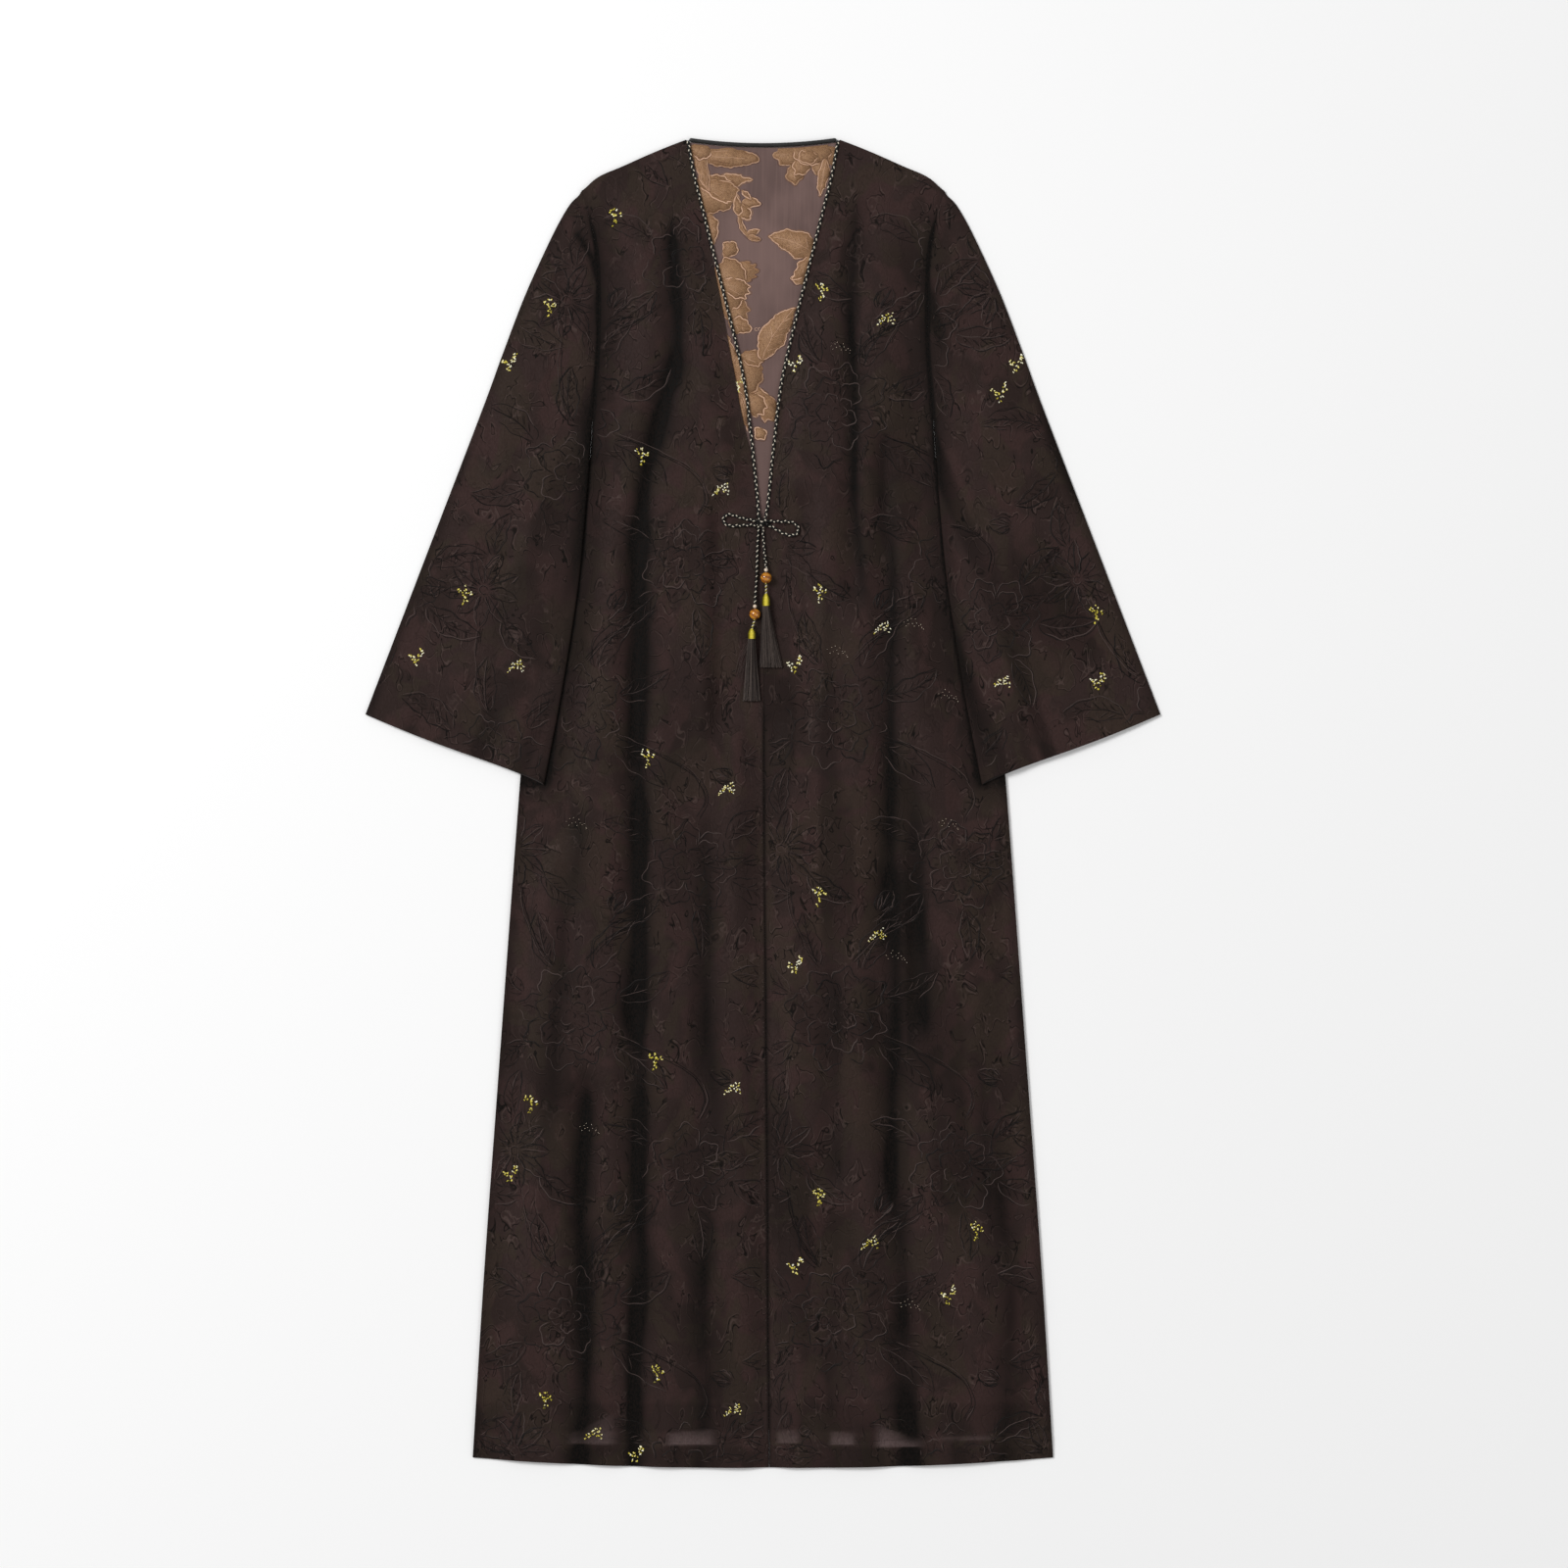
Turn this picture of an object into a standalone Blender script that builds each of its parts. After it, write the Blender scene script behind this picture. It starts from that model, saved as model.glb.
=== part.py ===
"""A long open abaya of figured organza, laid flat on its back with the front up.

Every piece that is cut and sewn is an object of its own: the back, two fronts, two wide
sleeves, the neck binding, the neckline cord, and the bow with its two beaded tassels.

Frame: +Y runs up the garment to the neck, +Z away from the surface that it lies on, and
left and right are those of a viewer who looks down on it. Tables are in millimetres:
"drop" is measured down from the neck points, "half" out from the centre line, and "x"
from the centre line to the viewer's right. Heights are above the surface.
"""
import random
from typing import NamedTuple

import bmesh
import bpy
import numpy as np
from mathutils import Matrix, Vector

MM = 0.001

# Driving sizes
LENGTH = 1357.0            # neck points to front hem
TOP_DROP = 1.1             # top of the binding, the part's highest edge on the page
CLOTH = 1.2                # cloth wall
SEAM_GAP = 0.3             # between pieces at a seam, and between layers
BACK_SHORTER = 38.0        # the back hem lies this far above the front hem
CENTRE_GAP = 1.6           # between the two front edges
CORD = 3.4                 # braided cord across
CORD_INSET = 2.0           # neckline cord's middle to the front's edge
FOLD_HEIGHT = 9.0          # largest rise of the soft lengthwise folds
FOLD_MARGIN = 15.0         # and they end this far from a sleeve or a side seam
BINDING = 4.2              # neck binding across
BINDING_HALF = 74.0        # and its ends lie this far from the centre line
BINDING_SIDES = 10
BINDING_STATIONS = 17

# Heights that follow from them
FRONT_UNDER = CLOTH + SEAM_GAP
FRONT_TOP = FRONT_UNDER + CLOTH
ON_FRONT = FRONT_TOP + SEAM_GAP
ON_BACK = CLOTH + SEAM_GAP


class Mark(NamedTuple):
    """A point of an outline that both sides share."""

    half: float
    drop: float


class Row(NamedTuple):
    """One crosswise row of a panel, from its inner edge to its outer edge."""

    inner_drop: float
    outer_drop: float


class Trough(NamedTuple):
    """A lengthwise hollow between two soft folds of a front, along a bent line."""

    x_top: float
    drop_top: float
    x_bottom: float
    drop_bottom: float
    width: float
    depth: float


class Tail(NamedTuple):
    """What hangs on one end of the tie: places of its pieces down the front."""

    side: str
    route: tuple
    bead_x: float
    bead_drop: float
    bead_across: float
    cap_x: float
    cap_drop: float
    cap_length: float
    tassel_drop: float
    tassel_length: float
    root_left: float
    root_right: float
    tip_left: float
    tip_right: float


# Outlines, neck to hem
ARMHOLE = (
    Mark(187.0, 53.0), Mark(179.5, 74.0), Mark(171.0, 110.0), Mark(168.0, 150.0),
    Mark(168.5, 210.0), Mark(172.0, 262.0), Mark(173.6, 288.0), Mark(175.6, 325.0),
)
UNDERARM = (
    Mark(175.6, 325.0), Mark(178.0, 333.0), Mark(188.0, 339.0), Mark(206.0, 344.0),
    Mark(219.0, 354.0), Mark(226.0, 392.0),
)
SIDE = (
    Mark(226.0, 392.0), Mark(247.5, 655.0), Mark(270.0, 960.0), Mark(284.5, 1160.0),
    Mark(296.0, 1347.0),
)
NECKLINE = (
    Mark(76.5, 3.0), Mark(70.0, 40.0), Mark(62.5, 70.0), Mark(47.5, 130.0),
    Mark(32.5, 190.0), Mark(19.0, 250.0), Mark(11.5, 310.0), Mark(5.5, 370.0),
    Mark(4.2, 386.0),
)
SLEEVE_OUTER = (
    Mark(189.6, 58.0), Mark(198.0, 70.0), Mark(214.5, 100.0), Mark(242.0, 160.0),
    Mark(265.0, 220.0), Mark(287.0, 280.0), Mark(345.0, 431.0), Mark(405.5, 589.0),
)
SLEEVE_INNER = (
    Mark(174.2, 288.0), Mark(176.3, 325.0), Mark(180.5, 380.0), Mark(188.5, 460.0),
    Mark(204.0, 560.0), Mark(222.5, 657.0),
)
SHOULDER_RISE = 2.6        # the shoulder line bows up between neck and tip
HEM_SAG = 3.3              # the front hem bows down between centre and side
NECK_HALF = 78.7           # where the shoulder lines start
BACK_NECK_DROP = 10.8      # middle of the back neck edge, under the binding
BACK_NECK_HALF = 75.2      # where that edge ends
BACK_NECK_RISE = 5.4       # and how far it has risen there
BACK_CORNER = 1.5          # from there to where the shoulder line starts
BACK_SIDE_RISE = 6.0       # the back hem's ends lie this much higher than its middle
EDGE_TURNS = 388.0         # the front edge leaves the neckline for the centre line here
EDGE_TURN = 20.0           # and has reached it this much lower
CENTRE_DRIFT = ((390.0, 0.5), (640.0, 0.5), (1357.0, 6.5))
SET_BACK = ((100.0, 0.0), (160.0, 2.5), (225.0, 6.5), (270.0, 6.5), (300.0, 3.5), (325.0, 0.0))

UPPER_ROWS = (
    Row(3.0, 53.0), Row(28.0, 74.0), Row(60.0, 108.0), Row(100.0, 146.0),
    Row(145.0, 188.0), Row(190.0, 230.0), Row(232.0, 264.0), Row(268.0, 288.0),
    Row(298.0, 308.0), Row(320.0, 325.0), Row(337.0, 334.0), Row(352.0, 341.0),
    Row(370.0, 352.0), Row(386.0, 370.0), Row(402.0, 392.0), Row(418.0, 412.0),
)
LOWER_ROWS = 17
LAST_WEB = 24.0            # height of the last row, at the turned-up hem
SHOULDER_BOW_ROWS = 3.0    # rows over which the shoulder line's bow dies away
HEM_SAG_ROWS = 4.0         # and the hem's
BACK_TOP_ROWS = 4.0        # and the shape of the back's top edge
FRONT_COLUMNS = 20
BACK_LOWER_ROWS = 8
SHOULDER_SHARES = (1.0, 0.87, 0.73, 0.60, 0.48)
NECK_SHARES = (0.28, 0.19, 0.095, 0.0)

# How the soft folds rise and fade
FOLDS_START = 40.0         # no fold above this drop
FOLDS_START_FADE = 60.0    # and they come in over this length
SHALLOW_SHARE = 0.35       # share of their height near the shoulder
DEEPEN_FROM = 60.0         # they deepen from this drop
DEEPEN_OVER = 420.0        # over this length
SLEEVE_CLEAR = 690.0       # no sleeve lies on the fronts below this drop
SLEEVE_CLEAR_FADE = 70.0
SEAM_FADE = 36.0           # folds fade over this width beside a seam
EDGE_FADE = 30.0           # and over this one beside the front edge
TROUGH_FADE = 45.0         # a trough starts and ends over this length
BOW_TOP = 350.0            # the cloth lies flat under the bow and tails from here
BOW_TOP_FADE = 30.0
BOW_FOOT = 625.0           # down to here
BOW_FOOT_FADE = 40.0
BOW_HALF = 62.0            # and this far to each side
BOW_HALF_FADE = 20.0

TROUGHS_LEFT = (
    Trough(-93.5, 90.0, -94.0, 250.0, 13.0, 0.75),
    Trough(-96.0, 230.0, -132.0, 420.0, 15.0, 0.85),
    Trough(-131.0, 400.0, -133.5, 900.0, 16.0, 0.90),
    Trough(-133.5, 880.0, -132.5, 1400.0, 15.0, 0.85),
    Trough(-185.0, 960.0, -188.0, 1400.0, 17.0, 0.75),
    Trough(-196.0, 690.0, -222.0, 1010.0, 18.0, 0.45),
    Trough(-60.0, 700.0, -66.0, 1400.0, 20.0, 0.50),
)
TROUGHS_RIGHT = (
    Trough(88.0, 70.0, 91.0, 470.0, 14.0, 0.75),
    Trough(123.0, 300.0, 130.0, 670.0, 15.0, 0.85),
    Trough(64.0, 850.0, 70.0, 1070.0, 15.0, 0.60),
    Trough(124.0, 790.0, 140.0, 1400.0, 18.0, 0.85),
    Trough(150.0, 640.0, 156.0, 915.0, 14.0, 0.55),
    Trough(218.0, 940.0, 226.0, 1110.0, 16.0, 0.50),
    Trough(240.0, 1060.0, 246.0, 1400.0, 18.0, 0.60),
    Trough(70.0, 1100.0, 62.0, 1400.0, 22.0, 0.45),
)

SLEEVE_ROWS = (
    Row(60.0, 59.4), Row(74.0, 68.0), Row(108.0, 96.0), Row(146.0, 126.0),
    Row(188.0, 160.0), Row(230.0, 197.0), Row(264.0, 228.0), Row(288.0, 250.0),
    Row(311.0, 271.0), Row(336.0, 294.0), Row(366.0, 322.0), Row(400.0, 353.0),
    Row(436.0, 386.0), Row(474.0, 421.0), Row(512.0, 456.0), Row(550.0, 491.0),
    Row(588.0, 526.0), Row(624.0, 559.0), Row(657.0, 589.0),
)
SLEEVE_SEAM = 0.5          # between a sleeve's end and the armhole, sideways
SLEEVE_SPANS = 12          # spans across a sleeve between its two folds
SLEEVE_PUFF = 3.1          # the most that its layers part beyond their seams
FOLD_ROUND = 1.3           # inset of the rounding at a sleeve's folds
MOST_ROUNDING = 0.2        # which takes up no more than this share of a short ring
INSIDE_ROUNDING = 2.2      # the inside's inset, as a multiple of the outside's
INSIDE_FOLD = 1.5          # and that of the point on its fold
PUFF_POWER = 0.8           # how squarely the layers part across the sleeve
FULL_PUFF_RING = 7.0       # the puff is full from this ring on
RAMP_OUT = 36.0            # the under layer starts to climb this far from the body
RAMP_IN = 12.0             # and has climbed on to it by here

KNOT_X = -0.6
KNOT_DROP = 394.0
KNOT_RADII = (4.6, 4.1, 3.2)
CORD_START = (76.6, 4.2)   # half and drop of the neckline cord's upper end
CORD_TO_KNOT = ((3.9, 384.0, 0.8), (3.0, 389.0, 1.6))   # half, drop and lift of its lower end
SEED_BEAD = 4.0
LINK_ACROSS = 2.0
CAP_NARROW = 6.0
CAP_WIDE = 8.4
CAP_EDGE = 0.8             # rounding of the cap's rims
TAIL_RISE = 1.6            # the tail's cord has risen this far one point before its bead
BEAD_HOLE_DROP = 0.8       # and meets the bead this far below its middle
SEED_DROP = 0.6            # the seed bead's middle lies this far below the bead's
CORD_Z = ON_FRONT + CORD / 2
CAP_Z = ON_FRONT + CAP_WIDE / 2
BOW_LEFT = (
    (-5.7, 391.8), (-12.0, 390.8), (-19.0, 389.6), (-26.0, 387.4), (-33.0, 385.3),
    (-38.0, 386.2), (-40.4, 390.0), (-38.8, 394.6), (-33.0, 396.8), (-26.0, 396.6),
    (-19.0, 396.2), (-12.0, 396.0), (-5.7, 395.9),
)
BOW_RIGHT = (
    (4.6, 392.0), (10.0, 392.2), (17.0, 392.4), (24.0, 392.4), (30.5, 393.4),
    (35.0, 396.8), (36.0, 401.6), (33.0, 405.6), (27.5, 406.4), (21.5, 404.8),
    (15.5, 401.6), (10.0, 398.2), (4.8, 396.1),
)
LEFT_TAIL = Tail(
    side="left", route=((-4.4, 398.6), (-5.6, 418.0), (-6.5, 448.0), (-7.8, 470.0), (-8.1, 476.6)),
    bead_x=-8.2, bead_drop=487.0, bead_across=11.3, cap_x=-11.3, cap_drop=501.3,
    cap_length=11.4, tassel_drop=513.0, tassel_length=62.5,
    root_left=-15.4, root_right=-7.4, tip_left=-21.5, tip_right=-4.0,
)
RIGHT_TAIL = Tail(
    side="right", route=((-0.3, 398.8), (0.4, 410.0), (1.6, 424.0), (2.9, 436.0), (3.2, 440.1)),
    bead_x=3.2, bead_drop=450.0, bead_across=11.4, cap_x=3.2, cap_drop=465.7,
    cap_length=13.4, tassel_drop=479.4, tassel_length=62.0,
    root_left=-0.8, root_right=7.2, tip_left=-2.8, tip_right=19.5,
)
STRAND_COLUMNS = 12
STRAND_LAYERS = 3
STRAND_STEPS = 3
TASSEL_HEAD = 3.6          # length of the bound head that the strands grow from
TASSEL_DEEP = 5.0          # depth of that head
STRAND_INSET = 0.11        # half the gap between two strands at the head
STRAND_RAGGED = 4.0        # the most that a strand falls short
STRAND_FAN = 1.2           # above 1 the strands part late
STRAND_SINK = 1.4          # above 1 they have sunk to the cloth before their tips
STRAND_SWELL = 1.25        # each step widens a strand by this
STRAND_TAPER = 0.8         # and the last one narrows it
STRAND_FLATTEN = 0.88
TIP_LOW = 0.7              # lowest tip's middle above the cloth
TIP_SPREAD = 3.3           # and the highest's above that

CLOTH_BROWN = (0.035, 0.024, 0.022)
LINING_MAUVE = (0.150, 0.100, 0.105)
BLACK = (0.012, 0.012, 0.012)
CORD_GREY = (0.060, 0.056, 0.050)
AMBER = (0.420, 0.140, 0.020)
PEARL = (0.700, 0.660, 0.580)
GOLD_THREAD = (0.420, 0.360, 0.060)
CHARCOAL = (0.045, 0.040, 0.036)


def place(x, drop, height):
    """Turn a place on the garment in millimetres into metres in the part's frame."""
    return Vector((x, (LENGTH + TOP_DROP) / 2 - drop, height)) * MM


def smooth_step(value):
    """Ease from 0 to 1 as the value goes from 0 to 1."""
    value = min(max(value, 0.0), 1.0)
    return value * value * (3.0 - 2.0 * value)


def smooth_line(marks, per_span=10):
    """Read close points from a smooth curve that runs through the marks."""
    points = np.array(marks, dtype=float)
    padded = np.vstack([2 * points[0] - points[1], points, 2 * points[-1] - points[-2]])
    line = []
    for before, start, end, after in zip(padded, padded[1:], padded[2:], padded[3:]):
        for t in np.linspace(0.0, 1.0, per_span, endpoint=False):
            line.append(0.5 * (
                2 * start + (end - before) * t
                + (2 * before - 5 * start + 4 * end - after) * t ** 2
                + (3 * start - before - 3 * end + after) * t ** 3
            ))
    line.append(points[-1])
    return np.array(line)


def half_at(line, drop):
    """Read an outline's distance from the centre line at a drop."""
    return float(np.interp(drop, line[:, 1], line[:, 0]))


def along(line, fraction):
    """Read the point at a fraction of a line's length."""
    lengths = np.concatenate([[0.0], np.cumsum(np.linalg.norm(np.diff(line, axis=0), axis=1))])
    target = fraction * lengths[-1]
    return np.array([np.interp(target, lengths, line[:, axis]) for axis in range(line.shape[1])])


SIDE_LINE = np.vstack([smooth_line(ARMHOLE), smooth_line(UNDERARM)[1:], smooth_line(SIDE)[1:]])
BODY_UNDER_SLEEVE = np.vstack([smooth_line(UNDERARM), smooth_line(SIDE)[1:]])
ARMHOLE_LINE = smooth_line(ARMHOLE)
ARMHOLE_SEAM = np.array([
    (half_at(SIDE_LINE, row.outer_drop), row.outer_drop)
    for row in UPPER_ROWS if row.outer_drop <= SLEEVE_INNER[0].drop
])
NECK_LINE = smooth_line(NECKLINE)
OUTER_LINE = smooth_line(SLEEVE_OUTER)
INNER_LINE = smooth_line(SLEEVE_INNER)


def make_material(name, colour, roughness, metallic=0.0):
    """Make a plain material for one piece."""
    material = bpy.data.materials.new(name)
    material.use_nodes = True
    shader = material.node_tree.nodes["Principled BSDF"]
    shader.inputs["Base Color"].default_value = (*colour, 1.0)
    shader.inputs["Roughness"].default_value = roughness
    shader.inputs["Metallic"].default_value = metallic
    return material


def add_object(name, bm, material, smooth=True):
    """Turn a bmesh into a named object with its material, with its faces pointing out."""
    bmesh.ops.recalc_face_normals(bm, faces=bm.faces)
    mesh = bpy.data.meshes.new(name)
    bm.to_mesh(mesh)
    bm.free()
    mesh.materials.append(material)
    if smooth:
        mesh.shade_smooth()
    piece = bpy.data.objects.new(name, mesh)
    bpy.context.scene.collection.objects.link(piece)
    return piece


def quad_strip(bm, row_a, row_b, closed=False):
    """Join two rows of vertices with faces."""
    count = len(row_a)
    for index in range(count if closed else count - 1):
        after = (index + 1) % count
        bm.faces.new((row_a[index], row_a[after], row_b[after], row_b[index]))


def wall_from_layers(name, upper, lower, material):
    """Make a closed cloth wall from rows of points on its upper and lower faces."""
    bm = bmesh.new()
    top = [[bm.verts.new(point) for point in row] for row in upper]
    under = [[bm.verts.new(point) for point in row] for row in lower]
    for layer in (top, under):
        for row_a, row_b in zip(layer, layer[1:]):
            quad_strip(bm, row_a, row_b)
    rim_top = top[0] + [row[-1] for row in top[1:-1]] + top[-1][::-1] + [row[0] for row in top[-2:0:-1]]
    rim_under = (
        under[0] + [row[-1] for row in under[1:-1]] + under[-1][::-1]
        + [row[0] for row in under[-2:0:-1]]
    )
    quad_strip(bm, rim_top, rim_under, closed=True)
    return add_object(name, bm, material)


def panel_rows(lower_rows, last_inner, last_outer):
    """List a panel's rows: the fitted ones to the waist, then even ones to the hem."""
    rows = list(UPPER_ROWS)
    start = rows[-1]
    for index in range(1, lower_rows):
        part = index / lower_rows
        rows.append(Row(
            start.inner_drop + part * (last_inner - LAST_WEB - start.inner_drop),
            start.outer_drop + part * (last_outer - LAST_WEB - start.outer_drop),
        ))
    rows.append(Row(last_inner - LAST_WEB, last_outer - LAST_WEB))
    rows.append(Row(last_inner, last_outer))
    return rows


def centre_x(drop):
    """Read where the two fronts meet: the line drifts a little towards the hem."""
    drops, places = zip(*CENTRE_DRIFT)
    return float(np.interp(drop, drops, places))


def front_edge_x(side, drop):
    """Read the inner edge of a front: the neckline beside its cord, then the centre front."""
    centre = centre_x(drop) + side * CENTRE_GAP / 2
    neckline = side * (half_at(NECK_LINE, drop) + CORD_INSET)
    if side < 0:
        drops, amounts = zip(*SET_BACK)
        neckline -= float(np.interp(drop, drops, amounts))
    return neckline + (centre - neckline) * smooth_step((drop - EDGE_TURNS) / EDGE_TURN)


def trough_share(trough, x, drop):
    """Say how much of a trough's depth reaches a place, from 0 to 1."""
    run = (drop - trough.drop_top) / (trough.drop_bottom - trough.drop_top)
    middle = trough.x_top + (trough.x_bottom - trough.x_top) * min(max(run, 0.0), 1.0)
    across = np.exp(-((x - middle) / trough.width) ** 2)
    ends = smooth_step((drop - trough.drop_top) / TROUGH_FADE + 0.5)
    ends *= smooth_step((trough.drop_bottom - drop) / TROUGH_FADE + 0.5)
    return float(across * ends)


def fold_rise(side, x, drop):
    """Height of the soft folds of a front at a place, none at its seams and edges."""
    half = abs(x)
    under_sleeve = half_at(INNER_LINE, drop) if drop > INNER_LINE[0, 1] else half_at(ARMHOLE_LINE, drop)
    body_side = half_at(SIDE_LINE, drop)
    past_sleeve = smooth_step((drop - SLEEVE_CLEAR) / SLEEVE_CLEAR_FADE)
    limit = under_sleeve + (body_side - under_sleeve) * past_sleeve
    deepened = smooth_step((drop - DEEPEN_FROM) / DEEPEN_OVER)
    full = FOLD_HEIGHT * (SHALLOW_SHARE + (1.0 - SHALLOW_SHARE) * deepened)
    rise = full * smooth_step((limit - FOLD_MARGIN - half) / SEAM_FADE)
    rise *= smooth_step(abs(x - front_edge_x(side, drop)) / EDGE_FADE)
    rise *= smooth_step((drop - FOLDS_START) / FOLDS_START_FADE)
    near_bow = smooth_step((drop - BOW_TOP) / BOW_TOP_FADE)
    near_bow *= smooth_step((BOW_FOOT - drop) / BOW_FOOT_FADE)
    rise *= 1.0 - near_bow * smooth_step((BOW_HALF - half) / BOW_HALF_FADE)
    for trough in TROUGHS_LEFT if side < 0 else TROUGHS_RIGHT:
        rise *= 1.0 - trough.depth * trough_share(trough, x, drop)
    return rise


def front_panel(name, side, material):
    """Make one front: shoulder, armhole, side seam, hem, centre front and neckline."""
    rows = panel_rows(LOWER_ROWS, LENGTH, SIDE[-1].drop)
    upper = []
    lower = []
    for number, row in enumerate(rows):
        inner = front_edge_x(side, row.inner_drop)
        outer = side * half_at(SIDE_LINE, row.outer_drop)
        shoulder = SHOULDER_RISE * max(0.0, 1.0 - number / SHOULDER_BOW_ROWS)
        hem = HEM_SAG * max(0.0, 1.0 - (len(rows) - 1 - number) / HEM_SAG_ROWS)
        under = FRONT_UNDER if number < len(rows) - 1 else 0.0
        upper.append([])
        lower.append([])
        for column in range(FRONT_COLUMNS + 1):
            across = column / FRONT_COLUMNS
            bow = 4.0 * across * (1.0 - across)
            x = inner + across * (outer - inner)
            drop = row.inner_drop + across * (row.outer_drop - row.inner_drop) + bow * (hem - shoulder)
            height = under + fold_rise(side, x, drop)
            lower[-1].append(place(x, drop, height))
            upper[-1].append(place(x, drop, height + CLOTH))
    return wall_from_layers(name, upper, lower, material)


def back_neck_drop(x):
    """Read the back neck edge: a shallow curve that hangs between the neck points."""
    return BACK_NECK_DROP - BACK_NECK_RISE * (x / BACK_NECK_HALF) ** 2


def back_panel(name, material):
    """Make the back, which lies flat: its neck edge runs just under the binding."""
    hem_drop = LENGTH - BACK_SHORTER
    rows = panel_rows(BACK_LOWER_ROWS, hem_drop, hem_drop - BACK_SIDE_RISE)
    tip = half_at(SIDE_LINE, UPPER_ROWS[0].outer_drop)
    corner = ((BACK_NECK_HALF + BACK_CORNER) / tip, BACK_NECK_HALF / tip)
    top_stations = SHOULDER_SHARES + corner + NECK_SHARES
    count = len(top_stations) - 1
    stations = [-share for share in top_stations] + list(top_stations[-2::-1])
    upper = []
    lower = []
    for number, row in enumerate(rows):
        width = half_at(SIDE_LINE, row.outer_drop)
        top_weight = max(0.0, 1.0 - number / BACK_TOP_ROWS)
        upper.append([])
        lower.append([])
        for column, station in enumerate(stations):
            even = (column - count) / count
            share = even + (station - even) * smooth_step(top_weight)
            on_shoulder = abs(station) * tip > BACK_NECK_HALF + BACK_CORNER / 2.0
            if on_shoulder:
                reach = (abs(station) * tip - NECK_HALF) / (tip - NECK_HALF)
                slope = UPPER_ROWS[0].outer_drop - UPPER_ROWS[0].inner_drop
                bow = SHOULDER_RISE * 4.0 * reach * (1.0 - reach)
                edge = UPPER_ROWS[0].inner_drop + slope * reach - bow
            else:
                edge = back_neck_drop(station * tip)
            level = row.inner_drop + abs(even) * (row.outer_drop - row.inner_drop)
            first = UPPER_ROWS[0].inner_drop + abs(even) * (
                UPPER_ROWS[0].outer_drop - UPPER_ROWS[0].inner_drop)
            drop = level + (edge - first) * top_weight
            upper[-1].append(place(share * width, drop, CLOTH))
            lower[-1].append(place(share * width, drop, 0.0))
    return wall_from_layers(name, upper, lower, material)


def climb_on_body(half, drop):
    """Height of a sleeve's underside: on the surface, or on the front where it overlaps it."""
    if drop < ARMHOLE[-2].drop:
        return 0.0
    inside = drop > UNDERARM[0].drop and half < half_at(BODY_UNDER_SLEEVE, drop)
    away = float(np.min(np.hypot(BODY_UNDER_SLEEVE[:, 0] - half, BODY_UNDER_SLEEVE[:, 1] - drop)))
    if inside:
        away = 0.0
    return ON_FRONT * smooth_step((RAMP_OUT - away) / (RAMP_OUT - RAMP_IN))


def sleeve_end_places(row, on_seam):
    """Find both ends of a ring of the sleeve: on the armhole or inner fold, and the outer fold."""
    if on_seam:
        inner = np.array([
            np.interp(row.inner_drop, ARMHOLE_SEAM[:, 1], ARMHOLE_SEAM[:, 0]) + SLEEVE_SEAM,
            row.inner_drop])
    else:
        inner = np.array([half_at(INNER_LINE, row.inner_drop), row.inner_drop])
    outer = np.array([half_at(OUTER_LINE, row.outer_drop), row.outer_drop])
    return inner, outer


def sleeve_ring(side, row, on_seam, fullness):
    """Work out one ring of a sleeve, as its outer and inner loops of points.

    Both run along the upper layer to the outer fold and back along the under layer. Below
    the armhole each loop also has a point on the inner fold, and is closed there.
    """
    inner, outer = sleeve_end_places(row, on_seam)
    width = float(np.linalg.norm(outer - inner))
    rounding = min(FOLD_ROUND / width, MOST_ROUNDING)
    first = 0.0 if on_seam else rounding
    stations = [first, *np.linspace(0.0, 1.0, SLEEVE_SPANS + 1)[1:-1], 1.0 - rounding]
    skin = {"upper": [], "under": []}
    inside = {"upper": [], "under": []}
    for number, share in enumerate(stations):
        spot = inner + share * (outer - inner)
        under = climb_on_body(*spot)
        puff = SLEEVE_PUFF * np.sin(np.pi * share) ** PUFF_POWER * fullness
        deep = 2.0 * CLOTH + SEAM_GAP + puff
        share_in = share
        if number == len(stations) - 1:
            share_in = 1.0 - INSIDE_ROUNDING * rounding
        elif number == 0 and not on_seam:
            share_in = INSIDE_ROUNDING * rounding
        spot_in = inner + share_in * (outer - inner)
        skin["upper"].append(place(side * spot[0], spot[1], under + deep))
        skin["under"].append(place(side * spot[0], spot[1], under))
        inside["upper"].append(place(side * spot_in[0], spot_in[1], under + deep - CLOTH))
        inside["under"].append(place(side * spot_in[0], spot_in[1], under + CLOTH))
    loops = []
    for layer, reach in ((skin, 0.0), (inside, INSIDE_FOLD * rounding)):
        loop = list(layer["upper"])
        loop.append(fold_point(side, inner, outer, 1.0 - reach))
        loop += layer["under"][::-1]
        if not on_seam:
            loop.append(fold_point(side, inner, outer, reach))
        loops.append(loop)
    return loops


def fold_point(side, inner, outer, share):
    """Find a point half way up the fold of a sleeve."""
    spot = inner + share * (outer - inner)
    return place(side * spot[0], spot[1], climb_on_body(*spot) + CLOTH + SEAM_GAP / 2.0)


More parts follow.
